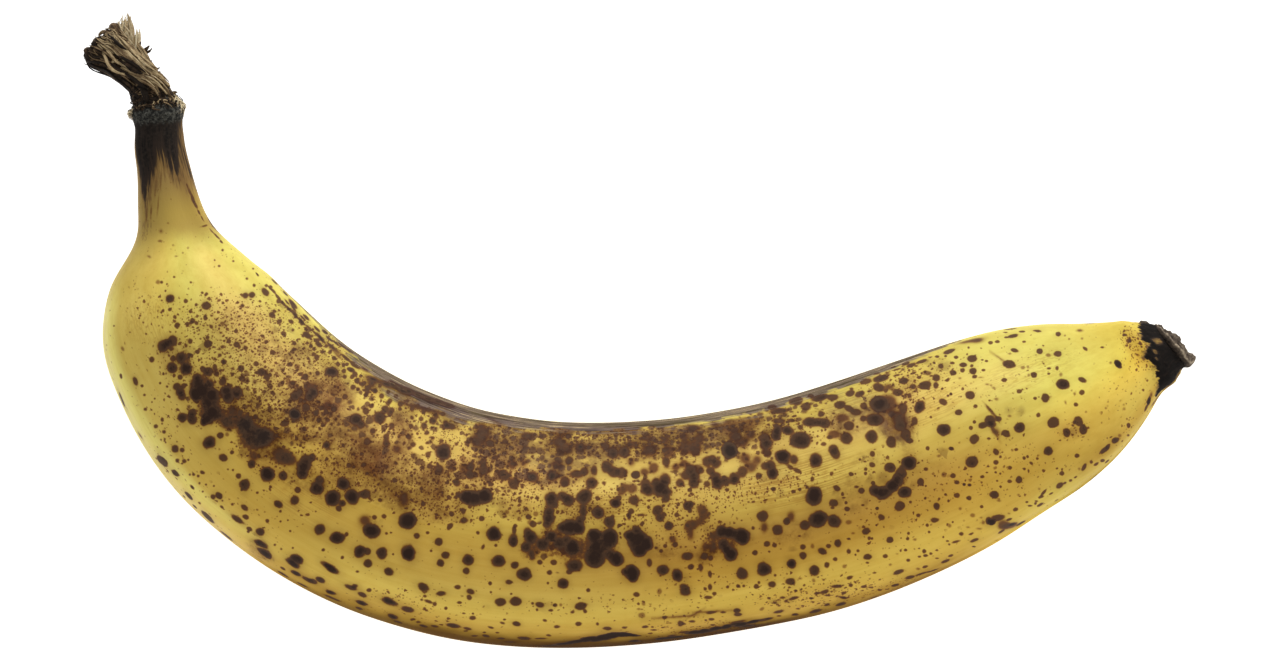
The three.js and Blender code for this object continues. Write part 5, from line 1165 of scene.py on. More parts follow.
# painted light on the left and right flanks
_tint_and_painted_light = _tint_and_painted_light * rgb_scale(bump_at(DEG, 139, 5) * smoothstep(66, 84, S) * smoothstep(124, 108, S), 1.15, 1.27, 1.48)
_tint_and_painted_light = _tint_and_painted_light * rgb_scale(bump_at(DEG, 142, 6) * bump_at(S, 202, 15), 1.15, 1.24, 1.28)
_tint_and_painted_light = _tint_and_painted_light * rgb_scale(bump_at(DEG, 121, 14) * smoothstep(228, 242, S) * smoothstep(262, 254, S), 0.95, 0.88, 0.82)
_tint_and_painted_light = _tint_and_painted_light * rgb_scale(bump_at(DEG, 56, 16) * bump_at(S, 244, 12), 1.05, 1.09, 1.08)
# painted light on the left flank near the shoulder
_tint_and_painted_light = _tint_and_painted_light * rgb_scale(smoothstep(142, 154, DEG) * smoothstep(215, 185, DEG) * smoothstep(104, 84, S) * smoothstep(47, 56, S), 1.02, 1.03, 1.45)
_tint_and_painted_light = _tint_and_painted_light * rgb_scale(smoothstep(133, 142, DEG) * smoothstep(215, 185, DEG) * smoothstep(106, 86, S) * smoothstep(47, 56, S), 1.22, 1.42, 1.85)
_tint_and_painted_light = _tint_and_painted_light * rgb_scale(bump_at(DEG, 92, 26) * smoothstep(238, 250, S) * smoothstep(274, 266, S), 1.25, 1.25, 1.18)
_tint_and_painted_light = _tint_and_painted_light * rgb_scale(bump_at(DEG, 137, 9) * smoothstep(240, 252, S), 0.88, 0.77, 0.65)
# painted light on the right flank
_tint_and_painted_light = _tint_and_painted_light * rgb_scale(smoothstep(134, 140, DEG) * smoothstep(200, 175, DEG) * smoothstep(214, 230, S) * smoothstep(252, 240, S), 1.10, 1.20, 1.24)
_signed = np.where(DEG > 180, DEG - 360, DEG)
_tint_and_painted_light = _tint_and_painted_light * rgb_scale(smoothstep(254, 267, S) * smoothstep(112, 84, np.abs(_signed)), 0.97, 0.87, 0.64)
_tint_and_painted_light = _tint_and_painted_light * rgb_scale(smoothstep(264, 270, S) * bump_at(DEG, 74, 26), 0.97, 0.90, 0.80)
_tint_and_painted_light = _tint_and_painted_light * rgb_scale(bump_at(DEG, 100, 22) * bump_at(S, 48, 5), 1.18, 1.18, 1.27)
_tint_and_painted_light = _tint_and_painted_light * rgb_scale(bump_at(_signed, 42, 20) * smoothstep(27, 31, S) * smoothstep(49, 45, S), 0.80, 0.79, 0.76)
_tint_and_painted_light = _tint_and_painted_light * rgb_scale(bump_at(_signed, 40, 20) * bump_at(S, 33.5, 3.5), 0.86, 0.80, 0.84)
_tint_and_painted_light = _tint_and_painted_light * rgb_scale(bump_at(DEG, 136, 11) * bump_at(S, 94, 8), 1.08, 1.14, 1.32)
_tint_and_painted_light = _tint_and_painted_light * rgb_scale(bump_at(DEG, 104, 12) * bump_at(S, 246, 9), 0.92, 0.86, 0.85)
_tint_and_painted_light = _tint_and_painted_light * rgb_scale(smoothstep(150, 165, DEG) * smoothstep(208, 192, DEG) * smoothstep(19, 22, S) * smoothstep(47, 42, S), 1.24, 1.20, 1.16)
_tint_and_painted_light = _tint_and_painted_light * rgb_scale(bump_at(DEG, 102, 26) * bump_at(S, 56, 6), 1.06, 1.07, 1.05)
_tint_and_painted_light = _tint_and_painted_light * np.array([0.979, 0.966, 0.99])
_limit = np.interp(S, *np.array(BAND).T)
_bandn = fbm(np.stack([S * 0.22, np.cos(A) * 9, np.sin(A) * 9], -1).reshape(-1, 3), 61, 3).reshape(S.shape)
_under = fbm(np.stack([S * 0.07, np.cos(A) * 5, np.sin(A) * 5], -1).reshape(-1, 3), 83, 4, 0.6).reshape(S.shape)
band = smoothstep(_limit + 2.5, _limit - 1.5, _signed + 5.0 * _bandn) * smoothstep(-12, 8, _signed + 26 * _under * smoothstep(15, 9, _signed))
fringe = 0.46 * smoothstep(_limit + 13, _limit + 1, _signed + 7.0 * _bandn) * smoothstep(-20, 0, _signed)
fringe = fringe * smoothstep(50, 62, S) * (1 + 0.16 * bump_at(S, 68, 9)) * (1 - 0.35 * smoothstep(118, 140, S))
band = np.maximum(band * smoothstep(60, 74, S), fringe) * smoothstep(248, 226, S)
point_attribute(peel.data, "band", band)
# the tint attribute carries the painted light and shade above along with the skin's own tints
point_attribute(peel.data, "tint", _tint_and_painted_light, "FLOAT_VECTOR")
point_attribute(peel.data, "dry", np.maximum(np.maximum(np.clip(2.2 * _ridge * _browned_and_shaded, 0, 1), band), _outer_edge_shade * smoothstep(92, 104, S)))

# the blackened top of the neck: where each streak ends, by angle
NECK_ANGLE = [0, 20, 34, 42, 52, 60, 68, 76, 82, 88, 94, 100, 108, 114, 122, 132, 142, 150, 160, 180, 200, 230, 260, 300, 330, 360]
NECK_END = [19.8, 20.2, 22.4, 28.2, 30.6, 30.4, 28.6, 26.8, 25.6, 26.2, 28.4, 29.8, 29.8, 31.4, 33.0, 33.2, 30.2, 25.4, 22.2, 21.0, 22, 27, 26, 28, 22, 19.6]
_round = np.stack([S * 0.10, np.cos(A) * 5.0, np.sin(A) * 5.0], -1).reshape(-1, 3)
_streaky = fbm(_round, 83, 4, 0.6).reshape(S.shape)
_round2 = np.stack([S * 0.05, np.cos(A) * 14.0, np.sin(A) * 14.0], -1).reshape(-1, 3)
_hair = fbm(_round2, 87, 3, 0.6).reshape(S.shape)
neck_end = np.interp(DEG, NECK_ANGLE, NECK_END) + 1.4 * _streaky + 3.4 * _hair
neck_black = 0.96 * smoothstep(neck_end + 7.5, neck_end - 5.0, S)
_side = 0.46 * smoothstep(56, 36, np.abs(_signed)) * smoothstep(38.5, 30.5, S + 2.5 * _hair) * np.clip(0.85 + 1.0 * _streaky, 0, 1)
neck_black = np.maximum(neck_black, _side)
_outer = 0.22 * np.exp(-(((DEG - 126) / 20) ** 2)) * smoothstep(49, 36, S) * np.clip(0.45 + 3.2 * _hair, 0, 1)
neck_black = np.maximum(neck_black, _outer)
crust = smoothstep(21.6, 20.4, S + 0.9 * _streaky)

TIP_ISLANDS = ((273.4, 67, 0.85, 11), (271.8, 86, 0.5, 6), (271.0, 97, 0.35, 4))
# the black skin round the blossom end: where it begins, by angle
TIP_ANGLE = [0, 14, 34, 50, 57, 64, 69, 75, 81, 88, 92, 95, 100, 106, 115, 122, 126, 134, 140, 143, 150, 155, 165, 175, 190, 215, 250, 280, 310, 340, 360]
TIP_START = [272.8, 272.7, 272.2, 271.4, 271.0, 271.4, 272.0, 271.2, 270.0, 268.6, 268.7, 269.7, 270.0, 269.9, 269.6, 268.8, 269.3, 268.4, 267.5, 266.7, 267.1, 268.8, 270.2, 271.8, 272, 269, 268, 270, 269.5, 271, 271.8]
_tipn = fbm(np.stack([S * 0.9, np.cos(A) * 6.0, np.sin(A) * 6.0], -1).reshape(-1, 3), 93, 4, 0.65).reshape(S.shape)
tip_start = np.interp(DEG, TIP_ANGLE, TIP_START) + 1.3 * _tipn
tip_black = smoothstep(tip_start - 0.22, tip_start + 0.28, S)
for s0, a0, ls, la in TIP_ISLANDS:
    q = np.sqrt(((S - s0) / ls) ** 2 + ((DEG - a0) / la) ** 2) + 0.5 * _tipn
    tip_black = tip_black * (0.40 + 0.60 * smoothstep(0.75, 1.15, q))
_golden = smoothstep(148, 158, DEG + 12 * _tipn) * smoothstep(262, 225, DEG) * smoothstep(267.0, 269.0, S) * smoothstep(274.4, 273.2, S)
tip_black = tip_black * (1 - 0.78 * _golden)
tip_rust = 0.30 * smoothstep(tip_start - 2.6, tip_start + 0.2, S) * np.clip(0.5 + 2.0 * _tipn, 0, 1)
_rimside = smoothstep(144, 158, DEG) * smoothstep(250, 200, DEG) * smoothstep(268.0, 270.2, S)
tip_rust = np.maximum(tip_rust, 0.34 * _rimside * np.clip(0.8 + 1.2 * _tipn, 0, 1))
point_attribute(peel.data, "black", np.maximum(neck_black, np.maximum(tip_black, tip_rust)))
point_attribute(peel.data, "crust", crust)
# whitish dried mould on both edges of the collar
mould = np.maximum(np.exp(-(((DEG - 168) / 20) ** 2)), np.maximum(np.exp(-((DEG / 24) ** 2)), np.exp(-(((DEG - 360) / 24) ** 2))))
mould = (mould + 0.25) * smoothstep(21.2, 19.6, S) * np.clip(0.6 + 1.8 * _rough, 0, 1)
point_attribute(peel.data, "mould", mould)
paint_marks(peel.data, P, RINGS, ANGLES)

m = Nodes("peel_skin")
geo = m.t.nodes.new("ShaderNodeTexCoord").outputs["Object"]
pos = m.vmath("SCALE", geo, scale=1000.0)  # millimetres
st = m.attr("straight").outputs["Vector"]
st_x, st_y, st_z = m.xyz(st)
wash = m.attr("wash").outputs["Fac"]
infill = m.attr("infill").outputs["Fac"]
freckle = m.attr("freckle").outputs["Fac"]
blotch = m.attr("blotch").outputs["Fac"]
grey = m.attr("grey").outputs["Fac"]
bloom = m.attr("bloom").outputs["Fac"]
band_ = m.attr("band").outputs["Fac"]

# noise: outlines of the marks, mottling, fine fibres along the fruit
edge_fine = m.math("SUBTRACT", m.noise(pos, 1.3, 2.0, 0.6), 0.5)
edge_broad = m.math("SUBTRACT", m.noise(pos, 0.42, 1.0, 0.5), 0.5)
mottle = m.noise(pos, 0.33, 4.0, 0.6)
mottle_fine = m.noise(pos, 1.6, 3.0, 0.6)
long_p = m.vmath("MULTIPLY", st, (0.06, 1.0, 1.0))
fibre = m.noise(long_p, 1.1, 4.0, 0.62)
fibre_broad = m.noise(m.vmath("MULTIPLY", st, (0.02, 0.25, 0.25)), 1.0, 3.0, 0.55)

# clean skin
# golden to pale yellow; the pale upper side is partly painted light
lemon_and_lit_side = m.attr("lemon_and_lit_side").outputs["Fac"]
yellow = m.mix(lemon_and_lit_side, srgb(225, 183, 76), srgb(222, 210, 104))
yellow = m.mix(m.ramp(fibre_broad, 0.3, 0.7), yellow, m.mix(1.0, yellow, (0.90, 0.87, 0.80, 1), "MULTIPLY"))
yellow = m.mix(m.math("MULTIPLY", m.ramp(fibre, 0.4, 0.75), 0.5), yellow, m.mix(1.0, yellow, (0.90, 0.84, 0.72, 1), "MULTIPLY"))
yellow = m.mix(m.math("MULTIPLY", m.ramp(mottle, 0.45, 0.7), 0.3), yellow, m.mix(1.0, yellow, (0.93, 0.86, 0.75, 1), "MULTIPLY"))

hairline = m.noise(m.vmath("MULTIPLY", st, (0.05, 3.4, 3.4)), 1.0, 2.0, 0.5)
striae = m.math("MULTIPLY", m.ramp(m.math("ADD", hairline, m.math("MULTIPLY", m.math("SUBTRACT", mottle, 0.5), 0.5)), 0.47, 0.60), m.attr("striae").outputs["Fac"])
yellow = m.mix(striae, yellow, m.mix(1.0, yellow, (0.60, 0.45, 0.42, 1), "MULTIPLY"))

# the neck is olive, reaching further on its outer side, which is browner and darker partly in its own colour and
# partly with painted shade
neck = m.ramp(m.math("ADD", m.math("ADD", st_x, m.math("MULTIPLY", m.ramp(st_y, 3.0, -6.0), 1.6)), m.math("MULTIPLY", m.math("SUBTRACT", fibre, 0.5), 2.0)), 46.6, 41.4)
yellow = m.mix(neck, yellow, srgb(182, 155, 75))
yellow = m.mix(m.ramp(st_x, 40.0, 31.0), yellow, srgb(150, 123, 70))
# painted shade on the outer side of the neck
neck_outer_shade = m.math("MULTIPLY", m.ramp(st_x, 54.0, 42.0), m.ramp(st_y, 1.5, -4.5))
yellow = m.mix(m.math("MULTIPLY", neck_outer_shade, 0.5), yellow, srgb(150, 124, 68))
# multiplies in painted light and shade together with broad tints of the skin
yellow = m.mix(1.0, yellow, m.attr("tint").outputs["Color"], "MULTIPLY")

# broad brown wash, mottled, on a tanned ground
tan = m.math("MINIMUM", m.math("ADD", m.math("ADD", m.math("MULTIPLY", m.ramp(freckle, 0.15, 1.0), 0.75), m.math("MULTIPLY", wash, 0.7)), m.math("MULTIPLY", blotch, 0.6)), 1.0)
skin = m.mix(m.math("MULTIPLY", tan, 0.9), yellow, m.mix(1.0, yellow, (0.88, 0.755, 0.80, 1), "MULTIPLY"))
wn = m.math("ADD", wash, m.math("MULTIPLY", m.math("SUBTRACT", mottle, 0.5), 1.2))
wn = m.math("ADD", wn, m.math("MULTIPLY", m.math("SUBTRACT", mottle_fine, 0.5), 0.7))
wn = m.math("MULTIPLY", m.ramp(wn, 0.0, 1.1), m.ramp(wash, 0.02, 0.35))
skin = m.mix(wn, skin, m.mix(1.0, skin, (0.30, 0.195, 0.26, 1), "MULTIPLY"))
skin = m.mix(m.math("MULTIPLY", m.math("MULTIPLY", grey, 0.5), m.ramp(mottle, 0.35, 0.65)), skin, srgb(128, 108, 88))
skin = m.mix(m.math("MULTIPLY", bloom, 0.7), skin, m.mix(1.0, skin, (0.40, 0.30, 0.32, 1), "MULTIPLY"))


def dots(scale, density, r_lo, r_hi, soft, shift):
    """Round marks of mixed size where their random number is below the density."""
    n = m.t.nodes.new("ShaderNodeTexVoronoi")
    n.voronoi_dimensions = "2D"
    m.put(n.inputs["Vector"], m.vmath("ADD", bent, shift))
    m.put(n.inputs["Scale"], scale)
    pick, size, _ = m.xyz(n.outputs["Color"])
    here = m.ramp(m.math("SUBTRACT", density, pick), 0.0, 0.04)
    radius = m.math("ADD", r_lo, m.math("MULTIPLY", m.math("MULTIPLY", size, size), r_hi - r_lo))
    gap = m.math("SUBTRACT", n.outputs["Distance"], radius)
    return m.math("MULTIPLY", m.ramp(gap, soft, -soft), here)


flat = m.attr("flat").outputs["Vector"]
warp = m.t.nodes.new("ShaderNodeTexNoise")
m.put(warp.inputs["Vector"], pos)
warp.inputs["Scale"].default_value = 1.2
warp.inputs["Detail"].default_value = 2.0
bent = m.vmath("ADD", flat, m.vmath("SCALE", m.vmath("SUBTRACT", warp.outputs["Color"], (0.5, 0.5, 0.5)), scale=0.8))
everywhere = m.math("MAXIMUM", freckle, 0.08)
fine = dots(1.85, m.math("MULTIPLY", everywhere, 0.80), 0.16, 0.42, 0.15, (0.0, 0.0, 0.0))
fine2 = dots(1.15, m.math("MULTIPLY", freckle, 0.56), 0.14, 0.43, 0.14, (31.7, 5.1, 0.0))
mid = dots(0.70, m.math("MULTIPLY", m.math("MULTIPLY", freckle, freckle), 0.46), 0.16, 0.40, 0.13, (8.9, 27.3, 0.0))
big = dots(0.48, m.math("MULTIPLY", blotch, 0.84), 0.22, 0.62, 0.20, (3.3, 17.1, 0.0))
big2 = dots(0.76, m.math("MULTIPLY", blotch, 0.84), 0.20, 0.56, 0.20, (13.9, 7.7, 0.0))
stain = dots(0.40, m.math("MINIMUM", m.math("ADD", m.math("MULTIPLY", wash, 0.8), m.math("MULTIPLY", freckle, 0.12)), 0.85), 0.20, 0.62, 0.34, (21.3, 3.9, 0.0))
small_cover = m.math("MAXIMUM", m.math("MULTIPLY", fine, m.ramp(freckle, 0.1, 0.6, 0.34, 0.48)), m.math("MAXIMUM", m.math("MULTIPLY", fine2, 0.56), m.math("MULTIPLY", mid, 0.74)))
big_cover = m.math("MULTIPLY", m.math("MAXIMUM", big, big2), 0.70)
skin = m.mix(m.ramp(big_cover, 0.0, 0.65, smooth=False), skin, m.mix(1.0, skin, (0.46, 0.31, 0.36, 1), "MULTIPLY"))
skin = m.mix(m.ramp(big_cover, 0.28, 1.0, smooth=False), skin, m.mix(grey, srgb(96, 74, 52), srgb(101, 86, 70)))
skin = m.mix(m.math("MULTIPLY", stain, 0.5), skin, m.mix(1.0, skin, (0.34, 0.24, 0.34, 1), "MULTIPLY"))

# the grey band of the inner curve
bn = m.noise(m.vmath("MULTIPLY", st, (0.040, 0.90, 0.90)), 1.0, 4.0, 0.66)
bn2 = m.noise(m.vmath("MULTIPLY", st, (0.12, 5.4, 5.4)), 1.0, 3.0, 0.66)
bk = m.math("MULTIPLY", m.ramp(m.math("ADD", m.math("MULTIPLY", band_, 0.80), m.math("SUBTRACT", bn, 0.5)), 0.14, 0.42), m.ramp(band_, 0.02, 0.3))
streak = m.math("ADD", m.math("MULTIPLY", bn, 0.50), m.math("MULTIPLY", bn2, 0.50))
purple = m.mix(m.ramp(streak, 0.43, 0.53), srgb(56, 44, 39), srgb(113, 97, 89))
purple = m.mix(m.ramp(streak, 0.56, 0.62), purple, srgb(204, 180, 132))
skin = m.mix(m.math("MULTIPLY", bk, 0.94), skin, purple)
inn = m.ramp(m.math("ADD", infill, m.math("MULTIPLY", m.math("SUBTRACT", mottle_fine, 0.5), 1.1)), 0.12, 1.15)
inn = m.math("MULTIPLY", inn, m.ramp(infill, 0.02, 0.3))

# marks
open_skin = m.math("SUBTRACT", 1.0, bk)
clear = m.math("SUBTRACT", 1.0, m.math("MULTIPLY", small_cover, open_skin))
slate_sum = m.math("MULTIPLY", big_cover, grey)
core_sum = None
for slot in range(SLOTS):
    u, w, inv = m.xyz(m.attr(f"mark{slot}").outputs["Vector"])
    strength, tint, soft = m.xyz(m.attr(f"tone{slot}").outputs["Vector"])
    d = m.math("SQRT", m.math("ADD", m.math("MULTIPLY", u, u), m.math("MULTIPLY", w, w)))
    wobble = m.math("ADD", m.math("MULTIPLY", edge_fine, 0.28), m.math("MULTIPLY", edge_broad, m.math("MINIMUM", m.math("DIVIDE", 0.8, inv), 1.0)))
    d = m.math("ADD", d, m.math("MULTIPLY", wobble, inv))
    width = m.math("MULTIPLY", soft, inv)
    lo_ = m.math("ADD", width, 1.0)
    hi_ = m.math("SUBTRACT", 1.0, width)
    cover = m.ramp(d, lo_, hi_, 0.0, 1.0)
    cover = m.math("MULTIPLY", cover, strength)
    keep = m.math("SUBTRACT", 1.0, m.math("MINIMUM", cover, 1.0))
    clear = m.math("MULTIPLY", clear, keep)
    slate_sum = m.math("MAXIMUM", slate_sum, m.math("MULTIPLY", cover, tint))
    heart = m.math("MULTIPLY", m.ramp(d, 1.0, 0.30), m.math("MAXIMUM", m.math("MULTIPLY", m.math("SUBTRACT", strength, 0.55), 2.2), 0.0))
    core_sum = heart if core_sum is None else m.math("MAXIMUM", core_sum, heart)
clear = m.math("MULTIPLY", clear, m.math("SUBTRACT", 1.0, m.math("MULTIPLY", inn, 0.84)))
core_sum = m.math("MAXIMUM", core_sum, m.math("MULTIPLY", m.ramp(inn, 0.5, 1.0), 0.55))
cover = m.math("SUBTRACT", 1.0, clear)
deep = m.math("ADD", m.math("ADD", 0.44, m.math("MULTIPLY", core_sum, 0.38)), m.math("ADD", m.math("MULTIPLY", mottle, 0.34), m.math("MULTIPLY", mottle_fine, 0.26)))
deep = m.math("MULTIPLY", cover, deep)
dark = m.mix(m.ramp(deep, 0.72, 1.04), m.mix(slate_sum, srgb(83, 60, 44), srgb(78, 62, 50)), m.mix(slate_sum, srgb(53, 38, 31), srgb(50, 42, 38)))
colour = m.mix(m.ramp(cover, 0.0, 0.55, smooth=False), skin, m.mix(1.0, skin, (0.425, 0.25, 0.295, 1), "MULTIPLY"))
colour = m.mix(m.ramp(cover, 0.28, 0.90, smooth=False), colour, dark)

colour = m.mix(m.math("MULTIPLY", m.math("MULTIPLY", bk, 0.7), m.ramp(streak, 0.565, 0.625)), colour, srgb(186, 162, 122))

# blackened neck and blossom end, dried crust of the collar
black = m.attr("black").outputs["Fac"]
crust_ = m.attr("crust").outputs["Fac"]
mould_ = m.attr("mould").outputs["Fac"]
thread = m.noise(m.vmath("MULTIPLY", st, (0.045, 2.6, 2.6)), 1.0, 3.0, 0.6)
burnt = m.math("ADD", black, m.math("MULTIPLY", m.math("SUBTRACT", thread, 0.5), m.math("MULTIPLY", m.ramp(st_x, 20.0, 27.0, 0.0, 1.15), m.ramp(st_x, 240.0, 262.0, 1.0, 0.4))))
burnt = m.math("MULTIPLY", burnt, m.ramp(black, 0.0, 0.10))
burnt = m.math("ADD", burnt, m.math("MULTIPLY", m.math("SUBTRACT", fibre, 0.5), m.ramp(black, 0.0, 0.25, 0.0, 0.55)))
colour = m.mix(m.ramp(burnt, 0.03, 0.38), colour, srgb(124, 96, 56))
colour = m.mix(m.ramp(burnt, 0.28, 0.62), colour, srgb(49, 40, 34))
black_n = m.ramp(burnt, 0.66, 1.06)
colour = m.mix(black_n, colour, m.mix(m.ramp(m.math("ADD", mottle_fine, m.ramp(st_x, 200.0, 240.0, 0.0, -0.35)), 0.35, 0.75), srgb(27, 24, 22), srgb(47, 41, 36)))
ash = m.mix(m.ramp(m.noise(pos, 1.9, 4.0, 0.7), 0.40, 0.70), srgb(28, 29, 28), srgb(98, 97, 90))
colour = m.mix(m.math("MULTIPLY", crust_, 0.9), colour, ash)
mould_n = m.ramp(m.math("ADD", mould_, m.math("MULTIPLY", m.math("SUBTRACT", m.noise(pos, 2.4, 4.0, 0.7), 0.5), 2.4)), 0.55, 1.0)
colour = m.mix(m.math("MULTIPLY", mould_n, m.ramp(mould_, 0.02, 0.2)), colour, srgb(176, 166, 152))

m.put(m.bsdf.inputs["Base Color"], colour)
rough = m.math("MINIMUM", m.math("ADD", m.math("ADD", m.math("ADD", 0.47, m.math("MULTIPLY", black, 0.35)), m.math("MULTIPLY", cover, 0.12)), m.math("MULTIPLY", m.attr("dry").outputs["Fac"], 0.55)), 1.0)
m.put(m.bsdf.inputs["Roughness"], rough)
m.bsdf.inputs["Specular IOR Level"].default_value = 0.05
height = m.math("ADD", m.math("MULTIPLY", fibre, 0.5), m.math("MULTIPLY", cover, -0.35))
grit = m.math("MULTIPLY", m.math("ADD", crust_, m.math("MULTIPLY", black_n, 0.35)), m.noise(pos, 2.2, 4.0, 0.7))
height = m.math("ADD", height, m.math("MULTIPLY", grit, 1.6))
m.put(m.bsdf.inputs["Normal"], m.bump(height, 0.35, 0.0003))
peel.data.materials.append(m.mat)

# the peel's own layout: its length in two strips, more room for the side that faces up
SEAM = SIDES * 3 // 4


def peel_layout(mesh):
    n = len(RINGS)
    half = int(np.searchsorted(RINGS, (RINGS[0] + RINGS[-1]) / 2))
    turn = np.arange(SIDES + 1) / SIDES
    # seam at 270 degrees: a quarter of the turn below, half of it above, a quarter below
    v = np.interp(turn, [0, 0.25, 0.75, 1.0], [0.0, 0.19, 0.81, 1.0])
    column = (np.arange(SIDES) - SEAM) % SIDES
    faces = []
    for i in range(n - 1):
        strip = 0 if i < half else 1
        r0, r1 = (RINGS[0], RINGS[half]) if strip == 0 else (RINGS[half], RINGS[-1])
        u0, u1 = (0.006 + 0.95 * (RINGS[[i, i + 1]] - r0) / (r1 - r0)).tolist()
        lo_ = 0.006 if strip == 0 else 0.506
        a0, a1 = lo_ + 0.488 * v[column], lo_ + 0.488 * v[column + 1]
        faces.append(np.stack([np.stack([np.full(SIDES, u0), a0], -1), np.stack([np.full(SIDES, u0), a1], -1), np.stack([np.full(SIDES, u1), a1], -1), np.stack([np.full(SIDES, u1), a0], -1)], 1).reshape(-1, 2))
    ring = np.stack([np.cos(2 * np.pi * turn), np.sin(2 * np.pi * turn)], -1) * 0.015
    for centre, order in (((0.98, 0.25), (1, 0)), ((0.98, 0.75), (0, 1))):
        c = np.array(centre)
        k = np.arange(SIDES)
        faces.append(np.stack([np.tile(c, (SIDES, 1)), c + ring[k + order[0]], c + ring[k + order[1]]], 1).reshape(-1, 2))
    layer = mesh.uv_layers.new(name="OFBake")
    layer.data.foreach_set("uv", np.concatenate(faces).astype(np.float32).ravel())


peel_layout(peel.data)
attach(peel, "root")
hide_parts("plantain")

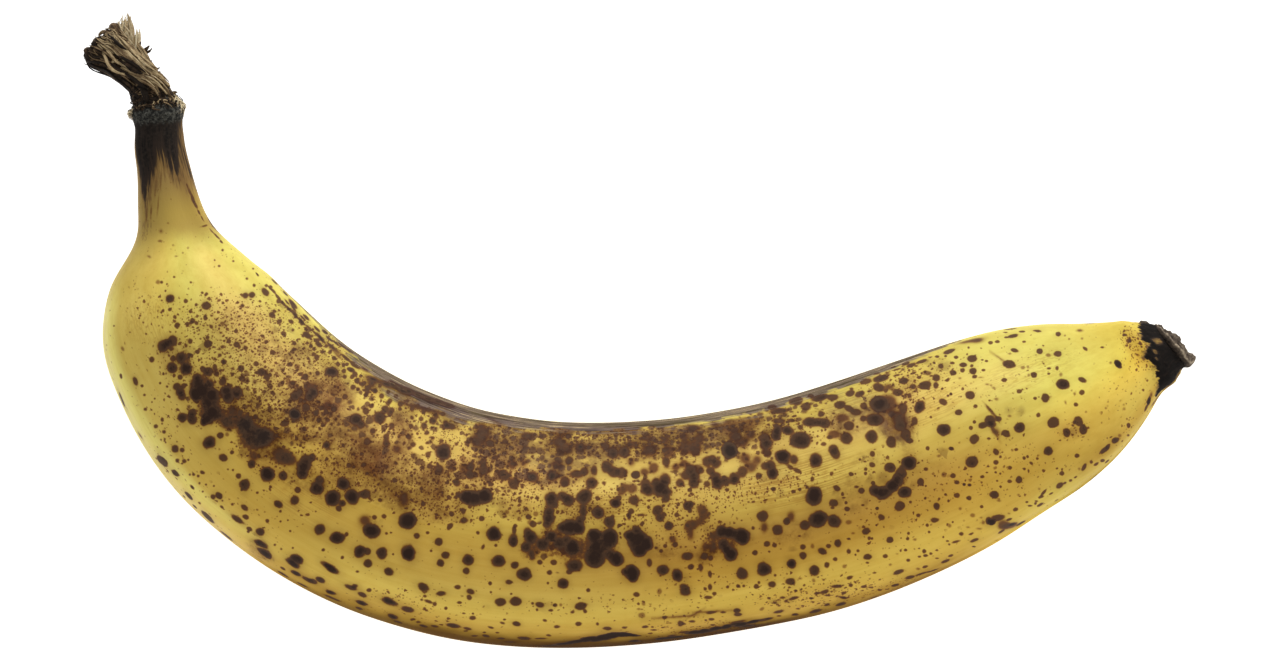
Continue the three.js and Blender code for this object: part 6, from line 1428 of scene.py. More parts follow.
# ------------------------------------------------------------------ the torn stem
class Batch:
    """Gathers closed tubes into one mesh, with a tone and a place along the grain on every vertex."""

    def __init__(self):
        self.verts, self.faces, self.tone, self.grain, self.pieces = [], [], [], [], []
        self.count = 0

    def rings(self, grid, tone, grain, kind=0.0):
        n, m = grid.shape[:2]
        base = self.count
        self.verts.append(grid.reshape(-1, 3))
        self.verts.append(np.stack([grid[0].mean(0), grid[-1].mean(0)]))
        i = np.arange(n - 1)[:, None] * m
        k = np.arange(m)[None, :]
        k2 = (k + 1) % m
        quads = np.stack([i + k, i + k2, i + m + k2, i + m + k], -1).reshape(-1, 4) + base
        k = np.arange(m)
        self.faces += [tuple(f) for f in quads.tolist()]
        first = np.stack([np.full(m, n * m), (k + 1) % m, k], -1) + base
        last = np.stack([np.full(m, n * m + 1), (n - 1) * m + k, (n - 1) * m + (k + 1) % m], -1) + base
        self.faces += [tuple(f) for f in first.tolist()] + [tuple(f) for f in last.tolist()]
        tone = np.broadcast_to(np.asarray(tone, float), (n, m))
        self.tone.append(tone.ravel())
        self.tone.append([tone[0].mean(), tone[-1].mean()])
        self.grain.append(grain.reshape(-1, 3))
        self.grain.append(np.stack([grain[0].mean(0), grain[-1].mean(0)]))
        length = np.linalg.norm(np.diff(grid.mean(1), axis=0), axis=-1).sum()
        girth = np.linalg.norm(np.roll(grid, -1, 1) - grid, axis=-1).sum(1).mean()
        self.pieces.append((n, m, length, girth))
        self.count += n * m + 2

    def strand(self, points, wide, thick, tone, side=(0, 0, 1), sides=6, steps=16):
        """A flattened tapering fibre along a smooth path through the points."""
        p = np.array(points, float)
        q = np.linspace(0, 1, steps)
        d = np.concatenate([[0], np.cumsum(np.linalg.norm(np.diff(p, axis=0), axis=-1))])
        d /= d[-1]
        if len(p) > 2:
            c = np.stack([natural_spline(d, p[:, j], q) for j in range(3)], -1)
        else:
            c = p[0] + (p[1] - p[0]) * q[:, None]
        t = np.gradient(c, axis=0)
        t /= np.linalg.norm(t, axis=-1, keepdims=True)
        up = np.broadcast_to(np.asarray(side, float), t.shape)
        w = np.cross(up, t)
        w /= np.maximum(np.linalg.norm(w, axis=-1, keepdims=True), 1e-6)
        n = np.cross(t, w)
        wide = np.interp(q, np.linspace(0, 1, len(wide)), wide)
        thick = np.interp(q, np.linspace(0, 1, len(thick)), thick)
        th = np.linspace(0, 2 * np.pi, sides, endpoint=False)
        grid = (
            c[:, None]
            + wide[:, None, None] * np.cos(th)[None, :, None] * w[:, None]
            + thick[:, None, None] * np.sin(th)[None, :, None] * n[:, None]
        )
        seed = RNG.uniform(0, 400)
        total = np.linalg.norm(np.diff(c, axis=0), axis=-1).sum()
        grain = np.stack(
            np.broadcast_arrays(
                (q * total)[:, None] * 0.35 + seed, np.cos(th)[None, :] * wide.mean() * 2.2, np.sin(th)[None, :] * wide.mean() * 2.2
            ),
            -1,
        )
        # painted shade: each fibre darker on the side turned inwards and along both edges, so that the gaps between
        # fibres read
        self.rings(grid, tone - 0.34 * (1 - np.clip(np.sin(th) * 1.5, 0, 1))[None, :] * np.ones((len(q), 1)), grain)

    def build(self, name):
        verts = np.concatenate(self.verts) * MM
        me = bpy.data.meshes.new(name)
        me.from_pydata(verts.tolist(), [], self.faces)
        me.update()
        me.shade_smooth()
        at = me.attributes.new("tone", "FLOAT", "POINT")
        at.data.foreach_set("value", np.concatenate([np.ravel(t) for t in self.tone]).astype(np.float32))
        at = me.attributes.new("grain", "FLOAT_VECTOR", "POINT")
        at.data.foreach_set("vector", np.concatenate(self.grain).astype(np.float32).ravel())
        self.unwrap(me)
        ob = bpy.data.objects.new(name, me)
        bpy.context.scene.collection.objects.link(ob)
        return ob

    def unwrap(self, me):
        """Each tube is a strip of its own in the layout, sized by its area."""
        layer = me.uv_layers.new(name="OFBake")
        sizes = [(max(l, 0.4), max(g, 0.4)) for _, _, l, g in self.pieces]
        order = sorted(range(len(sizes)), key=lambda i: -sizes[i][1])
        lo_, hi_ = 0.005, 0.2
        gap = 0.006
        for _ in range(18):  # the largest scale at which the strips fit on shelves
            k = (lo_ + hi_) / 2
            x = y = gap
            shelf = 0
            spots = {}
            fits = True
            for i in order:
                w, h = sizes[i][0] * k, sizes[i][1] * k
                if x + w + gap > 1:
                    x, y, shelf = gap, y + shelf + gap, 0
                if x + w + gap > 1 or y + h + gap > 1:
                    fits = False
                    break
                spots[i] = (x, y, w, h)
                x += w + gap
                shelf = max(shelf, h)
            if fits:
                lo_, best = k, spots
            else:
                hi_ = k
        uv = []
        for i, (n, m, l, g) in enumerate(self.pieces):
            x, y, w, h = best[i]
            a = x + w * (0.04 + 0.92 * np.arange(n) / (n - 1))
            b = y + h * np.arange(m + 1) / m
            A0, B0 = np.meshgrid(np.arange(n - 1), np.arange(m), indexing="ij")
            quad = np.stack(
                [np.stack([a[A0], b[B0]], -1), np.stack([a[A0], b[B0 + 1]], -1), np.stack([a[A0 + 1], b[B0 + 1]], -1), np.stack([a[A0 + 1], b[B0]], -1)],
                2,
            ).reshape(-1, 2)
            uv.append(quad)
            k = np.arange(m)
            mid = (b[k] + b[k + 1]) / 2
            uv.append(np.stack([np.stack([np.full(m, x), mid], -1), np.stack([np.full(m, a[0]), b[k + 1]], -1), np.stack([np.full(m, a[0]), b[k]], -1)], 1).reshape(-1, 2))
            uv.append(np.stack([np.stack([np.full(m, x + w), mid], -1), np.stack([np.full(m, a[-1]), b[k]], -1), np.stack([np.full(m, a[-1]), b[k + 1]], -1)], 1).reshape(-1, 2))
        flat = np.concatenate(uv).astype(np.float32)
        layer.data.foreach_set("uv", flat.ravel())


def stem_point(s, deg, rad):
    """A point of the torn stem at arc length s and angle deg, rad times its half width out."""
    x, y, z, h, half = axis_at(s)
    a = np.radians(deg)
    half = half * (1 - 0.11 * np.maximum(np.cos(a), 0) ** 2 * smoothstep(17.6, 15.5, s) * smoothstep(0.5, 4, s))
    du, dz = np.cos(a) * half * rad, np.sin(a) * half * rad * THICKNESS_RATIO
    return np.stack([x - np.sin(h) * du, y + np.cos(h) * du, z + dz], -1)


def plan(points):
    """Points in mm from (column, row, height) read on a 0.195 mm plan grid."""
    q = np.array(points, float)
    k = 0.195 * (715.33 - q[:, 2]) / 693.33
    return np.stack([(q[:, 0] - 640) * k + 0.18, (333 - q[:, 1]) * k - 0.18, q[:, 2]], -1)


stem = Batch()

# the woody core, grooved along its twisted grain
_s = np.arange(0.2, 18.6, 0.22)
_a = np.linspace(0, 2 * np.pi, 110, endpoint=False)
CS, CA = np.meshgrid(_s, _a, indexing="ij")
x_, y_, z_, h_, half_ = axis_at(CS)
twist = CA + 0.9 * smoothstep(2, 16, CS) * np.sin(CA)
grain_p = np.stack([CS * 0.16, np.cos(twist) * 3.4, np.sin(twist) * 3.4], -1)
groove = fbm(grain_p.reshape(-1, 3), 11, 4, 0.6).reshape(CS.shape)
lumps = fbm(np.stack([CS * 0.55, np.cos(CA) * 1.6, np.sin(CA) * 1.6], -1).reshape(-1, 3), 31, 3).reshape(CS.shape)
radial = 0.90 + 0.16 * groove + 0.10 * lumps
radial *= 1 - 0.45 * smoothstep(1.1, 0.1, CS)
radial = radial + 0.10 * smoothstep(11, 14, CS)
ragged = 0.7 * fbm(np.stack([CA * 0 + 3, np.cos(CA) * 2.5, np.sin(CA) * 2.5], -1).reshape(-1, 3), 5, 3).reshape(CS.shape)
radial = radial * (1 - 0.15 * np.maximum(np.cos(CA), 0) ** 2 * smoothstep(17.6, 15.5, CS) * smoothstep(0.5, 4, CS))
du, dz = np.cos(CA) * half_ * radial, np.sin(CA) * half_ * THICKNESS_RATIO * radial
slip = ragged * smoothstep(4, 0, CS) * 1.6 - 0.18 * dz * smoothstep(6, 0, CS)
core = np.stack(
    [x_ - np.sin(h_) * du + np.cos(h_) * slip, y_ + np.cos(h_) * du + np.sin(h_) * slip, z_ + dz], -1
)
# the hollow of the torn face
dent = smoothstep(1.2, 0.2, CS) * 1.3
core[..., 0] += np.cos(h_) * dent
core[..., 1] += np.sin(h_) * dent
# painted shade: the core darker on its outer side
core_tone = 0.12 + 0.5 * np.clip(groove, -0.4, 1) + 0.12 * np.sin(CA) * 0 - 0.16 * smoothstep(100, 150, np.degrees(CA)) * smoothstep(330, 220, np.degrees(CA))
stem.rings(core, np.clip(core_tone, 0.02, 0.6), grain_p * 1.3)


def fan(count, s_end, s_start, end_deg, start_deg, rad, wide, tone, lift=0.0, curl=0.4, wander=7.0, thick=0.45, steps=18):
    """Fibres that start near the collar and spread towards the torn end."""
    for i in range(count):
        f = (i + RNG.uniform(0.1, 0.9)) / count
        e = end_deg[0] + (end_deg[1] - end_deg[0]) * f + RNG.normal(0, 3)
        b = start_deg[0] + (start_deg[1] - start_deg[0]) * f + RNG.normal(0, 3)
        s0, s1 = RNG.uniform(*s_end), RNG.uniform(*s_start)
        q = np.linspace(0, 1, 7)
        ss = s1 + (s0 - s1) * q
        ang = b + (e - b) * smoothstep(0, 1, q) + RNG.normal(0, wander, 7) * np.sin(np.pi * q)
        r = rad + RNG.normal(0, 0.02) + 0.03 * RNG.normal(0, 1, 7)
        r = r + lift * q**3 * RNG.uniform(0, 1)
        r[0] -= 0.10
        pts = stem_point(np.maximum(ss, 0.02), ang, r)
        over = np.minimum(ss, 0)
        x, y, z, h, half = axis_at(0.05)
        pts = pts + over[:, None] * np.array([np.cos(h), np.sin(h), 0])
        pts[-1] += RNG.normal(0, curl, 3)
        w = RNG.uniform(*wide)
        prof = np.array([0.45, 0.9, 1.0, 0.95, 0.8, 0.25]) * w
        centre = stem_point(np.array([ss.mean()]), 0, 0)[0]
        out = pts.mean(0) - centre
        stem.strand(pts, prof, prof * thick, np.clip(RNG.normal(tone, 0.20), 0.05, 1.1), side=out / np.linalg.norm(out), steps=steps)


# upper sheet, seen from above: grey tan fibres that run to the upper edge of the tear
fan(56, (0.1, 1.7), (10.5, 14.0), (-14, 100), (-20, 62), 0.97, (0.13, 0.34), 0.74, curl=0.15)
fan(44, (0.6, 4.0), (8.5, 12.5), (-8, 95), (-14, 54), 1.04, (0.09, 0.22), 0.92, lift=0.12, curl=0.2)
# middle, over the dark hollow
fan(18, (0.2, 1.9), (11.0, 15.0), (100, 150), (50, 105), 0.98, (0.15, 0.34), 0.36, curl=0.2)
# tan fibres between the bend and the collar
fan(38, (6.0, 9.5), (12.5, 15.2), (-24, 112), (-30, 84), 1.03, (0.12, 0.28), 0.66, wander=9, curl=0.2)
fan(14, (5.0, 8.5), (12.0, 15.6), (-30, 22), (-34, 10), 1.05, (0.12, 0.26), 1.0, wander=9, curl=0.2)
fan(34, (11.5, 13.5), (15.5, 18.2), (-15, 150), (-15, 150), 1.02, (0.25, 0.5), 0.14, wander=14, curl=0.3)
fan(46, (12.0, 14.5), (15.2, 18.2), (-16, 98), (-18, 94), 1.07, (0.08, 0.20), 0.44, wander=26, curl=0.35)
# bark on the outer side of the bend, dark partly in its own colour and partly with painted shade
fan(18, (-0.2, 2.0), (13.0, 17.0), (140, 218), (120, 222), 0.92, (0.3, 0.6), 0.22, curl=0.15, thick=0.35)
# the underside
fan(26, (-0.4, 2.0), (12.0, 17.0), (222, 350), (226, 352), 0.98, (0.3, 0.6), 0.5)


def loose(points, w, tone, thick=0.5, taper=(0.7, 1.0, 0.9, 0.25), steps=22, sides=6):
    prof = np.array(taper) * w
    stem.strand(plan(points), prof, prof * thick, tone, steps=steps, sides=sides)


# the two fibres that snake over the dark hollow
loose([(98, 50, 27.2), (103, 53, 28.4), (106, 59, 28.9), (109, 66, 29.0), (115, 71, 28.9), (123, 73.5, 28.7), (132, 76, 28.3), (142, 78, 28.0), (152, 81, 27.7), (161, 87, 27.2), (167, 94, 26.4)], 0.34, 0.98, taper=(0.5, 1, 1, 1, 0.9, 0.5))
loose([(94, 48, 26.8), (102, 49, 28.2), (109, 52, 28.9), (113, 58, 29.0), (118, 62.5, 28.8), (126, 66, 28.5), (134, 72, 28.0), (142, 76, 27.7)], 0.34, 0.92, taper=(0.5, 1, 1, 0.9, 0.5))
loose([(112, 62, 28.3), (118, 61, 28.8), (125, 65, 28.6), (131, 70, 28.2), (138, 73, 27.9)], 0.34, 1.05)
loose([(124, 58, 28.2), (134, 64, 28.2), (144, 70, 27.8), (153, 74, 27.3), (158, 79, 26.7)], 0.30, 0.62)
loose([(121, 67, 28.4), (133, 73, 28.3), (145, 77, 28.0), (154, 83, 27.5), (159, 92, 26.8)], 0.45, 0.8)
loose([(127, 76, 28.0), (139, 80, 28.1), (150, 85, 27.7), (157, 93, 27.0), (160, 101, 26.2)], 0.4, 0.62)
# painted shade: dark strands laid in the hollows between the sheets
loose([(106, 34, 27.6), (111, 38, 28.7), (117, 43, 29.3), (124, 49, 29.4)], 0.40, 0.0, thick=0.7, taper=(0.4, 1, 1, 0.2))
loose([(113, 40, 28.7), (118, 44, 29.2), (123, 47.5, 29.3), (127, 50, 29.2)], 0.34, 0.02, thick=0.7, taper=(0.4, 1, 1, 0.2))
loose([(114, 54.5, 28.8), (121, 57.5, 29.3), (129, 61.5, 29.4), (138, 67, 29.2), (146, 72.5, 28.6)], 0.36, 0.05, thick=0.6, taper=(0.3, 0.8, 1, 0.9, 0.2))
loose([(118, 60, 29.0), (126, 64, 29.3), (134, 68.5, 29.2), (142, 73, 28.8)], 0.40, 0.16, thick=0.6, taper=(0.3, 1, 1, 0.2))
loose([(110, 63, 28.6), (115, 68, 28.8), (121, 71, 28.8), (128, 73, 28.6)], 0.42, 0.10, thick=0.6, taper=(0.3, 1, 1, 0.3))
loose([(126, 66, 28.8), (131, 69, 28.9), (137, 71.5, 29.0), (143, 74, 28.7)], 0.44, 0.06, thick=0.6, taper=(0.3, 1, 1, 0.2))
loose([(141, 87, 27.4), (144, 92, 27.6), (146, 98, 27.4), (147, 103, 27.0)], 0.6, 0.02, thick=0.5, taper=(0.4, 1, 1, 0.5))
loose([(121, 72, 28.6), (131, 77, 28.7), (140, 84, 28.3), (149, 90, 27.6)], 0.36, 0.05, thick=0.6, taper=(0.4, 1, 1, 0.2))
# the rounded cut end of the outer bundle, and the one at the top of the tear
loose([(86.4, 54.6, 24.0), (89.5, 56.8, 24.6), (97, 60.6, 25.0), (105, 64.8, 25.2), (114, 70.5, 25.0), (123, 76.5, 24.7), (130.5, 85, 24.2), (135, 95, 23.8), (137, 103, 23.5)], 1.30, 0.12, thick=0.95, taper=(0.55, 1.0, 0.98, 0.95, 0.95, 0.9, 0.8, 0.6, 0.4), sides=14, steps=36)
loose([(84.5, 51, 25.4), (87, 50, 26.2), (92, 53, 26.8), (98, 57, 27.0), (104, 62, 26.8)], 0.85, 0.5, thick=0.8, taper=(0.35, 1, 0.9, 0.4), sides=8)
loose([(110, 27, 24.5), (112.5, 25.6, 25.2), (116, 28, 26.0), (121, 34, 26.6), (127, 42, 26.8)], 0.85, 0.5, thick=0.8, taper=(0.4, 1, 0.85, 0.4), sides=8)
loose([(93, 43, 26.0), (96, 40, 26.9), (101, 41, 27.6), (109, 47, 28.2), (117, 53, 28.6)], 0.7, 0.5, thick=0.7, taper=(0.4, 1, 0.9, 0.4), sides=8)
loose([(99, 35, 26.0), (103, 32, 26.8), (109, 35, 27.4), (117, 42, 28.0), (127, 52, 28.2)], 0.6, 0.62, thick=0.7, taper=(0.4, 1, 0.9, 0.4), sides=8)
for i in range(26):  # finer fibres over the upper sheet
    f = i / 25
    x0, y0 = 100 + 30 * f + RNG.normal(0, 1.2), 37 - 4 * math.sin(f * 3.1) + 10 * f * f + RNG.normal(0, 1.2)
    x1, y1 = 148 + 8 * f + RNG.normal(0, 1.5), 76 - 7 * f + RNG.normal(0, 1.5)
    mid = [(x0 * (1 - g) + x1 * g + RNG.normal(0, 0.7), y0 * (1 - g) + y1 * g + 2.0 * math.sin(g * 3.1) + RNG.normal(0, 0.5), 27.3 + 1.9 * math.sin(0.4 + g * 2.2)) for g in (0, 0.33, 0.66, 1)]
    loose(mid, RNG.uniform(0.12, 0.26), RNG.uniform(0.55, 1.15), thick=0.7, taper=(0.5, 1, 1, 0.4), steps=14)
# pale frayed wisps that stand off the upper edge
for i in range(60):
    if i % 4 == 2:
        bx, by = RNG.uniform(133, 139), RNG.uniform(44, 56)
        tipx, tipy = RNG.uniform(136, 140), RNG.uniform(29, 37)
    else:
        bx = RNG.uniform(119, 134)
        by = 35 + (bx - 119) * 0.8 + RNG.uniform(-3, 3)
        tipx = RNG.choice((118.2, 122, 125, 128, 130.5)) + RNG.normal(0, 0.7)
        tipy = 12.5 + 0.6 * abs(tipx - 127) + RNG.uniform(0, 9)
    z0 = RNG.uniform(22.5, 26.5)
    mx, my = (bx + tipx) / 2 + RNG.normal(0, 1.4), (by + tipy) / 2 + RNG.normal(0, 1.4)
    loose([(bx, by, z0), (mx, my, z0 + 0.4), (tipx, tipy, z0 + RNG.uniform(-0.6, 0.8))], RNG.uniform(0.08, 0.24), RNG.uniform(0.9, 1.6), thick=0.35, taper=(1.0, 1.0, 0.9, 0.35), steps=9)
for i in range(14):  # darker fibres along the ragged upper edge
    f = i / 13
    x0, y0 = 136 + 7 * f + RNG.normal(0, 0.8), 43 + 14 * f + RNG.normal(0, 1)
    x1, y1 = 156 + 16 * f + RNG.normal(0, 1), 79 + 22 * f + RNG.normal(0, 1)
    xm, ym = 0.5 * (x0 + x1) + 1.4 + RNG.normal(0, 0.8), 0.5 * (y0 + y1) - 1.2 + RNG.normal(0, 0.8)
    loose([(x0, y0, 25.4), (xm, ym, 26.4), (x1, y1, 25.2)], RNG.uniform(0.16, 0.36), RNG.uniform(0.2, 1.0), thick=0.6, taper=(0.4, 1, 1, 0.4), steps=12)
for i in range(18):  # pale fibres that sweep over the bend to the collar
    f = i / 17
    x0, y0 = 126 + 16 * f + RNG.normal(0, 1.5), 75 - 8 * f + RNG.normal(0, 1.2)
    x1, y1 = 155 + 16 * f + RNG.normal(0, 1.5), 88 - 1 * f + RNG.normal(0, 2.6)
    xm, ym = 0.5 * (x0 + x1) + 2.4 + RNG.normal(0, 0.8), 0.5 * (y0 + y1) - 2.6 + RNG.normal(0, 0.8)
    loose([(x0, y0, 27.9), (xm, ym, 28.2), (x1, y1, 26.4)], RNG.uniform(0.11, 0.26), RNG.uniform(0.45, 1.15), thick=0.7, taper=(0.4, 1, 1, 0.4), steps=14)
# broken spurs on the upper side
for bx, by, tx, ty, w, tone in (
    (139, 48, 141, 41.5, 0.32, 0.4), (143, 52, 149.5, 45.5, 0.42, 0.3), (144, 53, 152, 48, 0.3, 0.34),
    (144, 55, 148.5, 55.5, 0.34, 0.3), (148, 63, 152, 60.5, 0.34, 0.34), (154, 71, 160, 67.5, 0.3, 0.34),
    (157, 73, 160.5, 71.5, 0.26, 0.4), (158, 74, 168, 80, 0.11, 0.6), (166, 86, 169.5, 85.5, 0.3, 0.4),
    (172, 94, 177.5, 92.5, 0.36, 0.55), (174, 98, 176, 101, 0.34, 0.6),
):
    z0 = RNG.uniform(22.5, 24.5)
    loose([(bx, by, z0), ((bx + tx) / 2 + RNG.normal(0, 0.4), (by + ty) / 2 + RNG.normal(0, 0.4), z0 + 0.2), (tx, ty, z0 + RNG.uniform(-0.3, 0.5))], w, tone, thick=0.45, steps=8, taper=(1.0, 1.0, 0.7, 0.25))
# papery scraps round the collar, whitish with dried mould on both sides
for deg, s0, s1, w, tone in [(RNG.uniform(-28, 28), RNG.uniform(16.0, 17.2), RNG.uniform(18.0, 19.6), RNG.uniform(0.09, 0.26), RNG.choice((0.15, 0.7, 1.25, 1.6, 1.6))) for _ in range(46)] + [
    (RNG.uniform(152, 200), RNG.uniform(16.6, 17.8), RNG.uniform(18.6, 20.0), RNG.uniform(0.12, 0.34), RNG.choice((0.05, 0.9, 1.4, 1.7))) for _ in range(26)
] + [(RNG.uniform(30, 150), RNG.uniform(16.2, 17.2), RNG.uniform(17.6, 18.9), RNG.uniform(0.10, 0.26), RNG.choice((0.05, 0.2, 0.5, 0.9))) for _ in range(44)] + [
    (RNG.uniform(205, 330), RNG.uniform(16.2, 17.2), RNG.uniform(17.8, 19.2), RNG.uniform(0.3, 0.6), RNG.uniform(0.2, 0.9)) for _ in range(12)
]:
    q = np.linspace(0, 1, 4)
    pts = stem_point(s0 + (s1 - s0) * q, deg + RNG.normal(0, 7, 4), np.array([0.92, 1.06, 1.12, 1.02]) + RNG.normal(0, 0.05, 4))
    prof = np.array([0.4, 1.0, 0.9, 0.35]) * w
    out = stem_point(np.array([s0]), deg, 1.0)[0] - stem_point(np.array([s0]), deg, 0.0)[0]
    stem.strand(pts, prof, prof * 0.4, tone, side=out / np.linalg.norm(out), steps=8)

torn = stem.build("torn_stem")


def fibre_look(name, tones, streak_size):
    w = Nodes(name)
    tone = w.attr("tone").outputs["Fac"]
    gp = w.attr("grain").outputs["Vector"]
    wp = w.vmath("SCALE", w.t.nodes.new("ShaderNodeTexCoord").outputs["Object"], scale=1000.0)
    streaks = w.noise(w.vmath("MULTIPLY", gp, (1.0, 1.7, 1.7)), streak_size, 4.0, 0.68)
    blot = w.noise(wp, 0.8, 3.0, 0.6)
    t_ = w.math("ADD", tone, w.math("MULTIPLY", w.math("SUBTRACT", streaks, 0.5), 1.5))
    t_ = w.math("ADD", t_, w.math("MULTIPLY", w.math("SUBTRACT", blot, 0.5), 0.6))
    c = w.mix(w.ramp(t_, 0.05, 0.42), tones[0], tones[1])
    c = w.mix(w.ramp(t_, 0.40, 0.74), c, tones[2])
    c = w.mix(w.ramp(t_, 0.74, 1.05), c, tones[3])
    c = w.mix(w.ramp(t_, 1.1, 1.4), c, tones[4])
    w.put(w.bsdf.inputs["Base Color"], c)
    w.put(w.bsdf.inputs["Roughness"], 0.8)
    w.bsdf.inputs["Specular IOR Level"].default_value = 0.12
    w.put(w.bsdf.inputs["Normal"], w.bump(streaks, 0.9, 0.0004))
    return w.mat


STRAW = [srgb(34, 27, 21), srgb(86, 67, 49), srgb(156, 131, 96), srgb(212, 188, 144), srgb(238, 222, 184)]
ASH = [srgb(31, 26, 22), srgb(70, 59, 49), srgb(110, 97, 82), srgb(170, 154, 130), srgb(190, 182, 168)]
torn.data.materials.append(fibre_look("stem_fibre_look", STRAW, 2.2))
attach(torn, "root")

# ------------------------------------------------------------------ the dried blossom end
blossom = Batch()
TILT = 3.0
DISC = np.array([104.06, -2.98, 19.2])
_ax = np.array([math.cos(math.radians(40)) * math.cos(math.radians(TILT)), math.sin(math.radians(40)) * math.cos(math.radians(TILT)), math.sin(math.radians(TILT))])
_dv = np.array([-math.sin(math.radians(40)), math.cos(math.radians(40)), 0.0])
_dw = np.cross(_ax, _dv)
PROFILE = np.array([(-3.2, 3.4), (-2.4, 4.0), (-1.6, 4.2), (-0.9, 4.5), (-0.35, 4.85), (0.05, 5.25), (0.5, 5.3), (0.85, 5.1), (1.0, 4.85), (1.0, 4.5), (1.05, 3.9), (1.2, 3.2), (1.35, 2.4), (1.45, 1.5), (1.45, 0.7), (1.4, 0.15)])
_pq = np.concatenate([[0], np.cumsum(np.hypot(*np.diff(PROFILE, axis=0).T))])
_pt = np.linspace(0, _pq[-1], 62)
_pe, _pr = np.interp(_pt, _pq, PROFILE[:, 0]), np.interp(_pt, _pq, PROFILE[:, 1])
_pe, _pr = blur(_pe, 1.2), np.maximum(blur(_pr, 1.2), 0.05)
_th = np.linspace(0, 2 * np.pi, 120, endpoint=False)
E_, T_ = np.meshgrid(_pe, _th, indexing="ij")
R_ = np.broadcast_to(_pr[:, None], E_.shape)
_bn = fbm(np.stack([R_ * np.cos(T_) * 0.55, R_ * np.sin(T_) * 0.55, E_ * 0.7], -1).reshape(-1, 3), 41, 4, 0.55).reshape(E_.shape)
_rn = fbm(np.stack([np.cos(T_) * 2.6, np.sin(T_) * 2.6, R_ * 0.12 + E_ * 0.25], -1).reshape(-1, 3), 47, 4, 0.6).reshape(E_.shape)
_rimf = np.exp(-(((R_ - 5.2) / 0.9) ** 2))
R2 = R_ * (1 + 0.05 * _bn * smoothstep(0.5, 4, R_)) + _rimf * (0.14 * _rn + 0.30 * _bn)
_face = smoothstep(0.2, 0.9, E_) * smoothstep(5.5, 4.2, R_)
E2 = E_ + 1.3 * _bn * _face + (0.14 * _rn + 0.3 * _bn) * _rimf
# two dried lobes stand out of the face
for _t0, _r0, _h0, _w0 in ((176, 4.2, 1.2, 1.8), (75, 2.6, 0.6, 3.4), (35, 3.2, 0.25, 2.4), (250, 3.0, 0.9, 3.0), (128, 3.6, -0.9, 0.9)):
    _d2 = (R_ * np.cos(T_) - _r0 * math.cos(math.radians(_t0))) ** 2 + (R_ * np.sin(T_) - _r0 * math.sin(math.radians(_t0))) ** 2
    E2 = E2 + _h0 * np.exp(-_d2 / _w0) * smoothstep(0.1, 0.8, E_)
disc = DISC + E2[..., None] * _ax + (R2 * np.cos(T_))[..., None] * _dv + (R2 * np.sin(T_))[..., None] * _dw
_tone = 0.42 + 0.16 * _rn + 0.42 * _bn
# painted highlight: a pale line along the crest of the rim
_tone = _tone + 0.56 * np.exp(-(((E_ - 0.80) / 0.17) ** 2)) * smoothstep(4.7, 5.1, R_) - 0.04 * _face
_tone = _tone + 0.16 * np.exp(-((T_ - 3.0) ** 2) / 0.18) - 0.46 * smoothstep(0.25, -0.7, E_)
blossom.rings(disc[:, ::-1], np.clip(_tone[:, ::-1], 0.0, 0.95), np.stack([R_ * 1.1 + E_, np.cos(T_) * 1.6, np.sin(T_) * 1.6], -1)[:, ::-1])
# the small lump on the inner side
_lt = np.linspace(0.02, math.pi - 0.02, 16)
_lp = np.linspace(0, 2 * np.pi, 24, endpoint=False)
LT, LP = np.meshgrid(_lt, _lp, indexing="ij")
_lr = 1.0 + 0.28 * fbm(np.stack([np.sin(LT) * np.cos(LP) * 1.7, np.sin(LT) * np.sin(LP) * 1.7, np.cos(LT) * 1.7], -1).reshape(-1, 3), 53, 3).reshape(LT.shape)
lump = plan([(1144, 323.6, 19.5)])[0] + np.stack([-np.cos(LT) * 0.95 * _lr, np.sin(LT) * np.cos(LP) * 0.62 * _lr, np.sin(LT) * np.sin(LP) * 0.9 * _lr], -1)
blossom.rings(lump, 0.42 + 0.2 * np.sin(LT), np.stack([LT * 2, np.cos(LP), np.sin(LP)], -1))
blossom_end = blossom.build("blossom_end")
blossom_end.data.materials.append(fibre_look("blossom_end_look", ASH, 1.8))
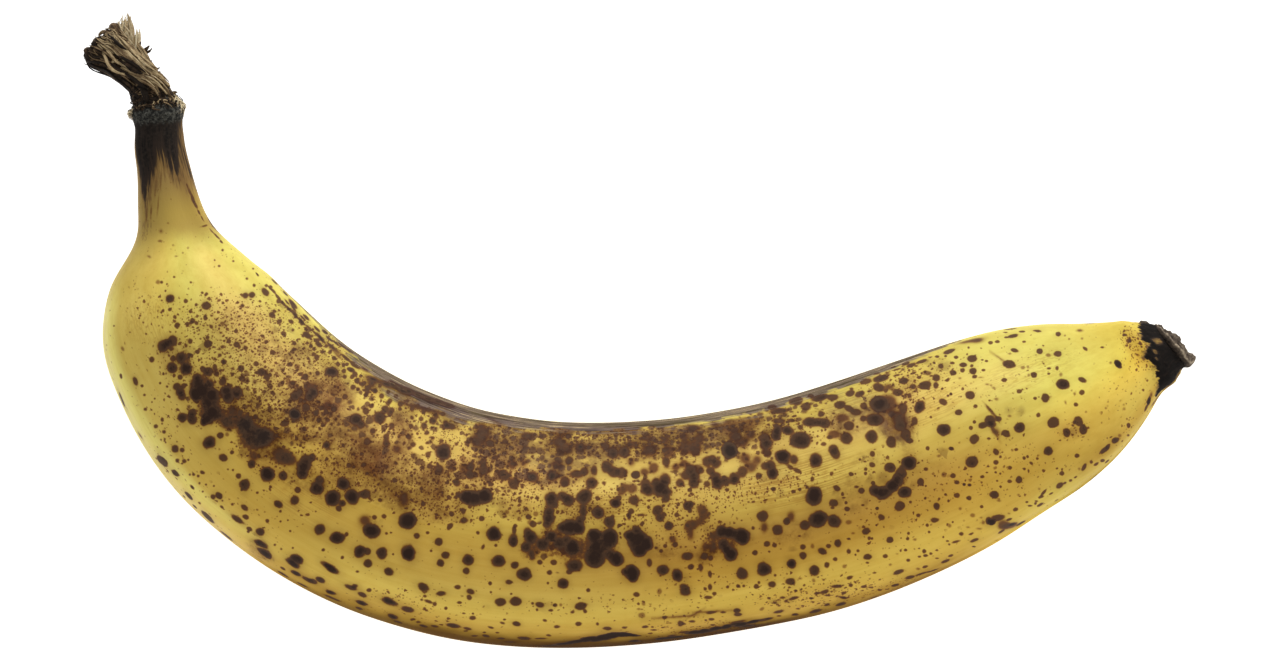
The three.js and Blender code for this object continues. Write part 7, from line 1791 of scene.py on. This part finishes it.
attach(blossom_end, "root")

# ------------------------------------------------------------------ floor, light, camera
CENTRE = (0.18 * MM, -0.18 * MM)
MID = 22 * MM

floor_mesh = bpy.data.meshes.new("floor")
floor_mesh.from_pydata([(-3, -3, 0), (3, -3, 0), (3, 3, 0), (-3, 3, 0)], [], [(0, 1, 2, 3)])
floor = bpy.data.objects.new("floor", floor_mesh)
floor.location.z = -0.0002
bpy.context.scene.collection.objects.link(floor)
f = Nodes("floor_white")
f.put(f.bsdf.inputs["Base Color"], (0.9, 0.9, 0.9, 1))
f.put(f.bsdf.inputs["Roughness"], 0.9)
f.put(f.bsdf.inputs["Emission Color"], (1, 1, 1, 1))
f.put(f.bsdf.inputs["Emission Strength"], 0.75)
floor.data.materials.append(f.mat)

world = bpy.data.worlds.new("studio")
bpy.context.scene.world = world
world.use_nodes = True
world.node_tree.nodes["Background"].inputs[0].default_value = (1, 1, 1, 1)
world.node_tree.nodes["Background"].inputs[1].default_value = 0.55


def area(name, loc, size, power, target=(0, -0.02, 0.02)):
    data = bpy.data.lights.new(name, "AREA")
    data.shape = "RECTANGLE"
    data.size, data.size_y = size
    data.energy = power
    ob = bpy.data.objects.new(name, data)
    ob.location = loc
    ob.rotation_mode = "QUATERNION"
    ob.rotation_quaternion = (Vector(target) - Vector(loc)).to_track_quat("-Z", "Y")
    bpy.context.scene.collection.objects.link(ob)
    return ob


area("key", (0.5, 1.15, 0.42), (0.8, 0.8), 9.5)
area("side", (0.95, 0.1, 0.6), (0.7, 0.7), 1.6)

cam_data = bpy.data.cameras.new("camera")
cam_data.sensor_width = 36
cam_data.lens = 100
cam = bpy.data.objects.new("camera", cam_data)
frame_width = 1280 * 0.195 * MM
cam.location = (CENTRE[0], CENTRE[1], MID + frame_width / 36 * 100)
cam_data.clip_start, cam_data.clip_end = 0.01, 20
bpy.context.scene.collection.objects.link(cam)
bpy.context.scene.camera = cam

bpy.context.scene.view_settings.view_transform = "Standard"
bpy.context.scene.view_settings.look = "None"
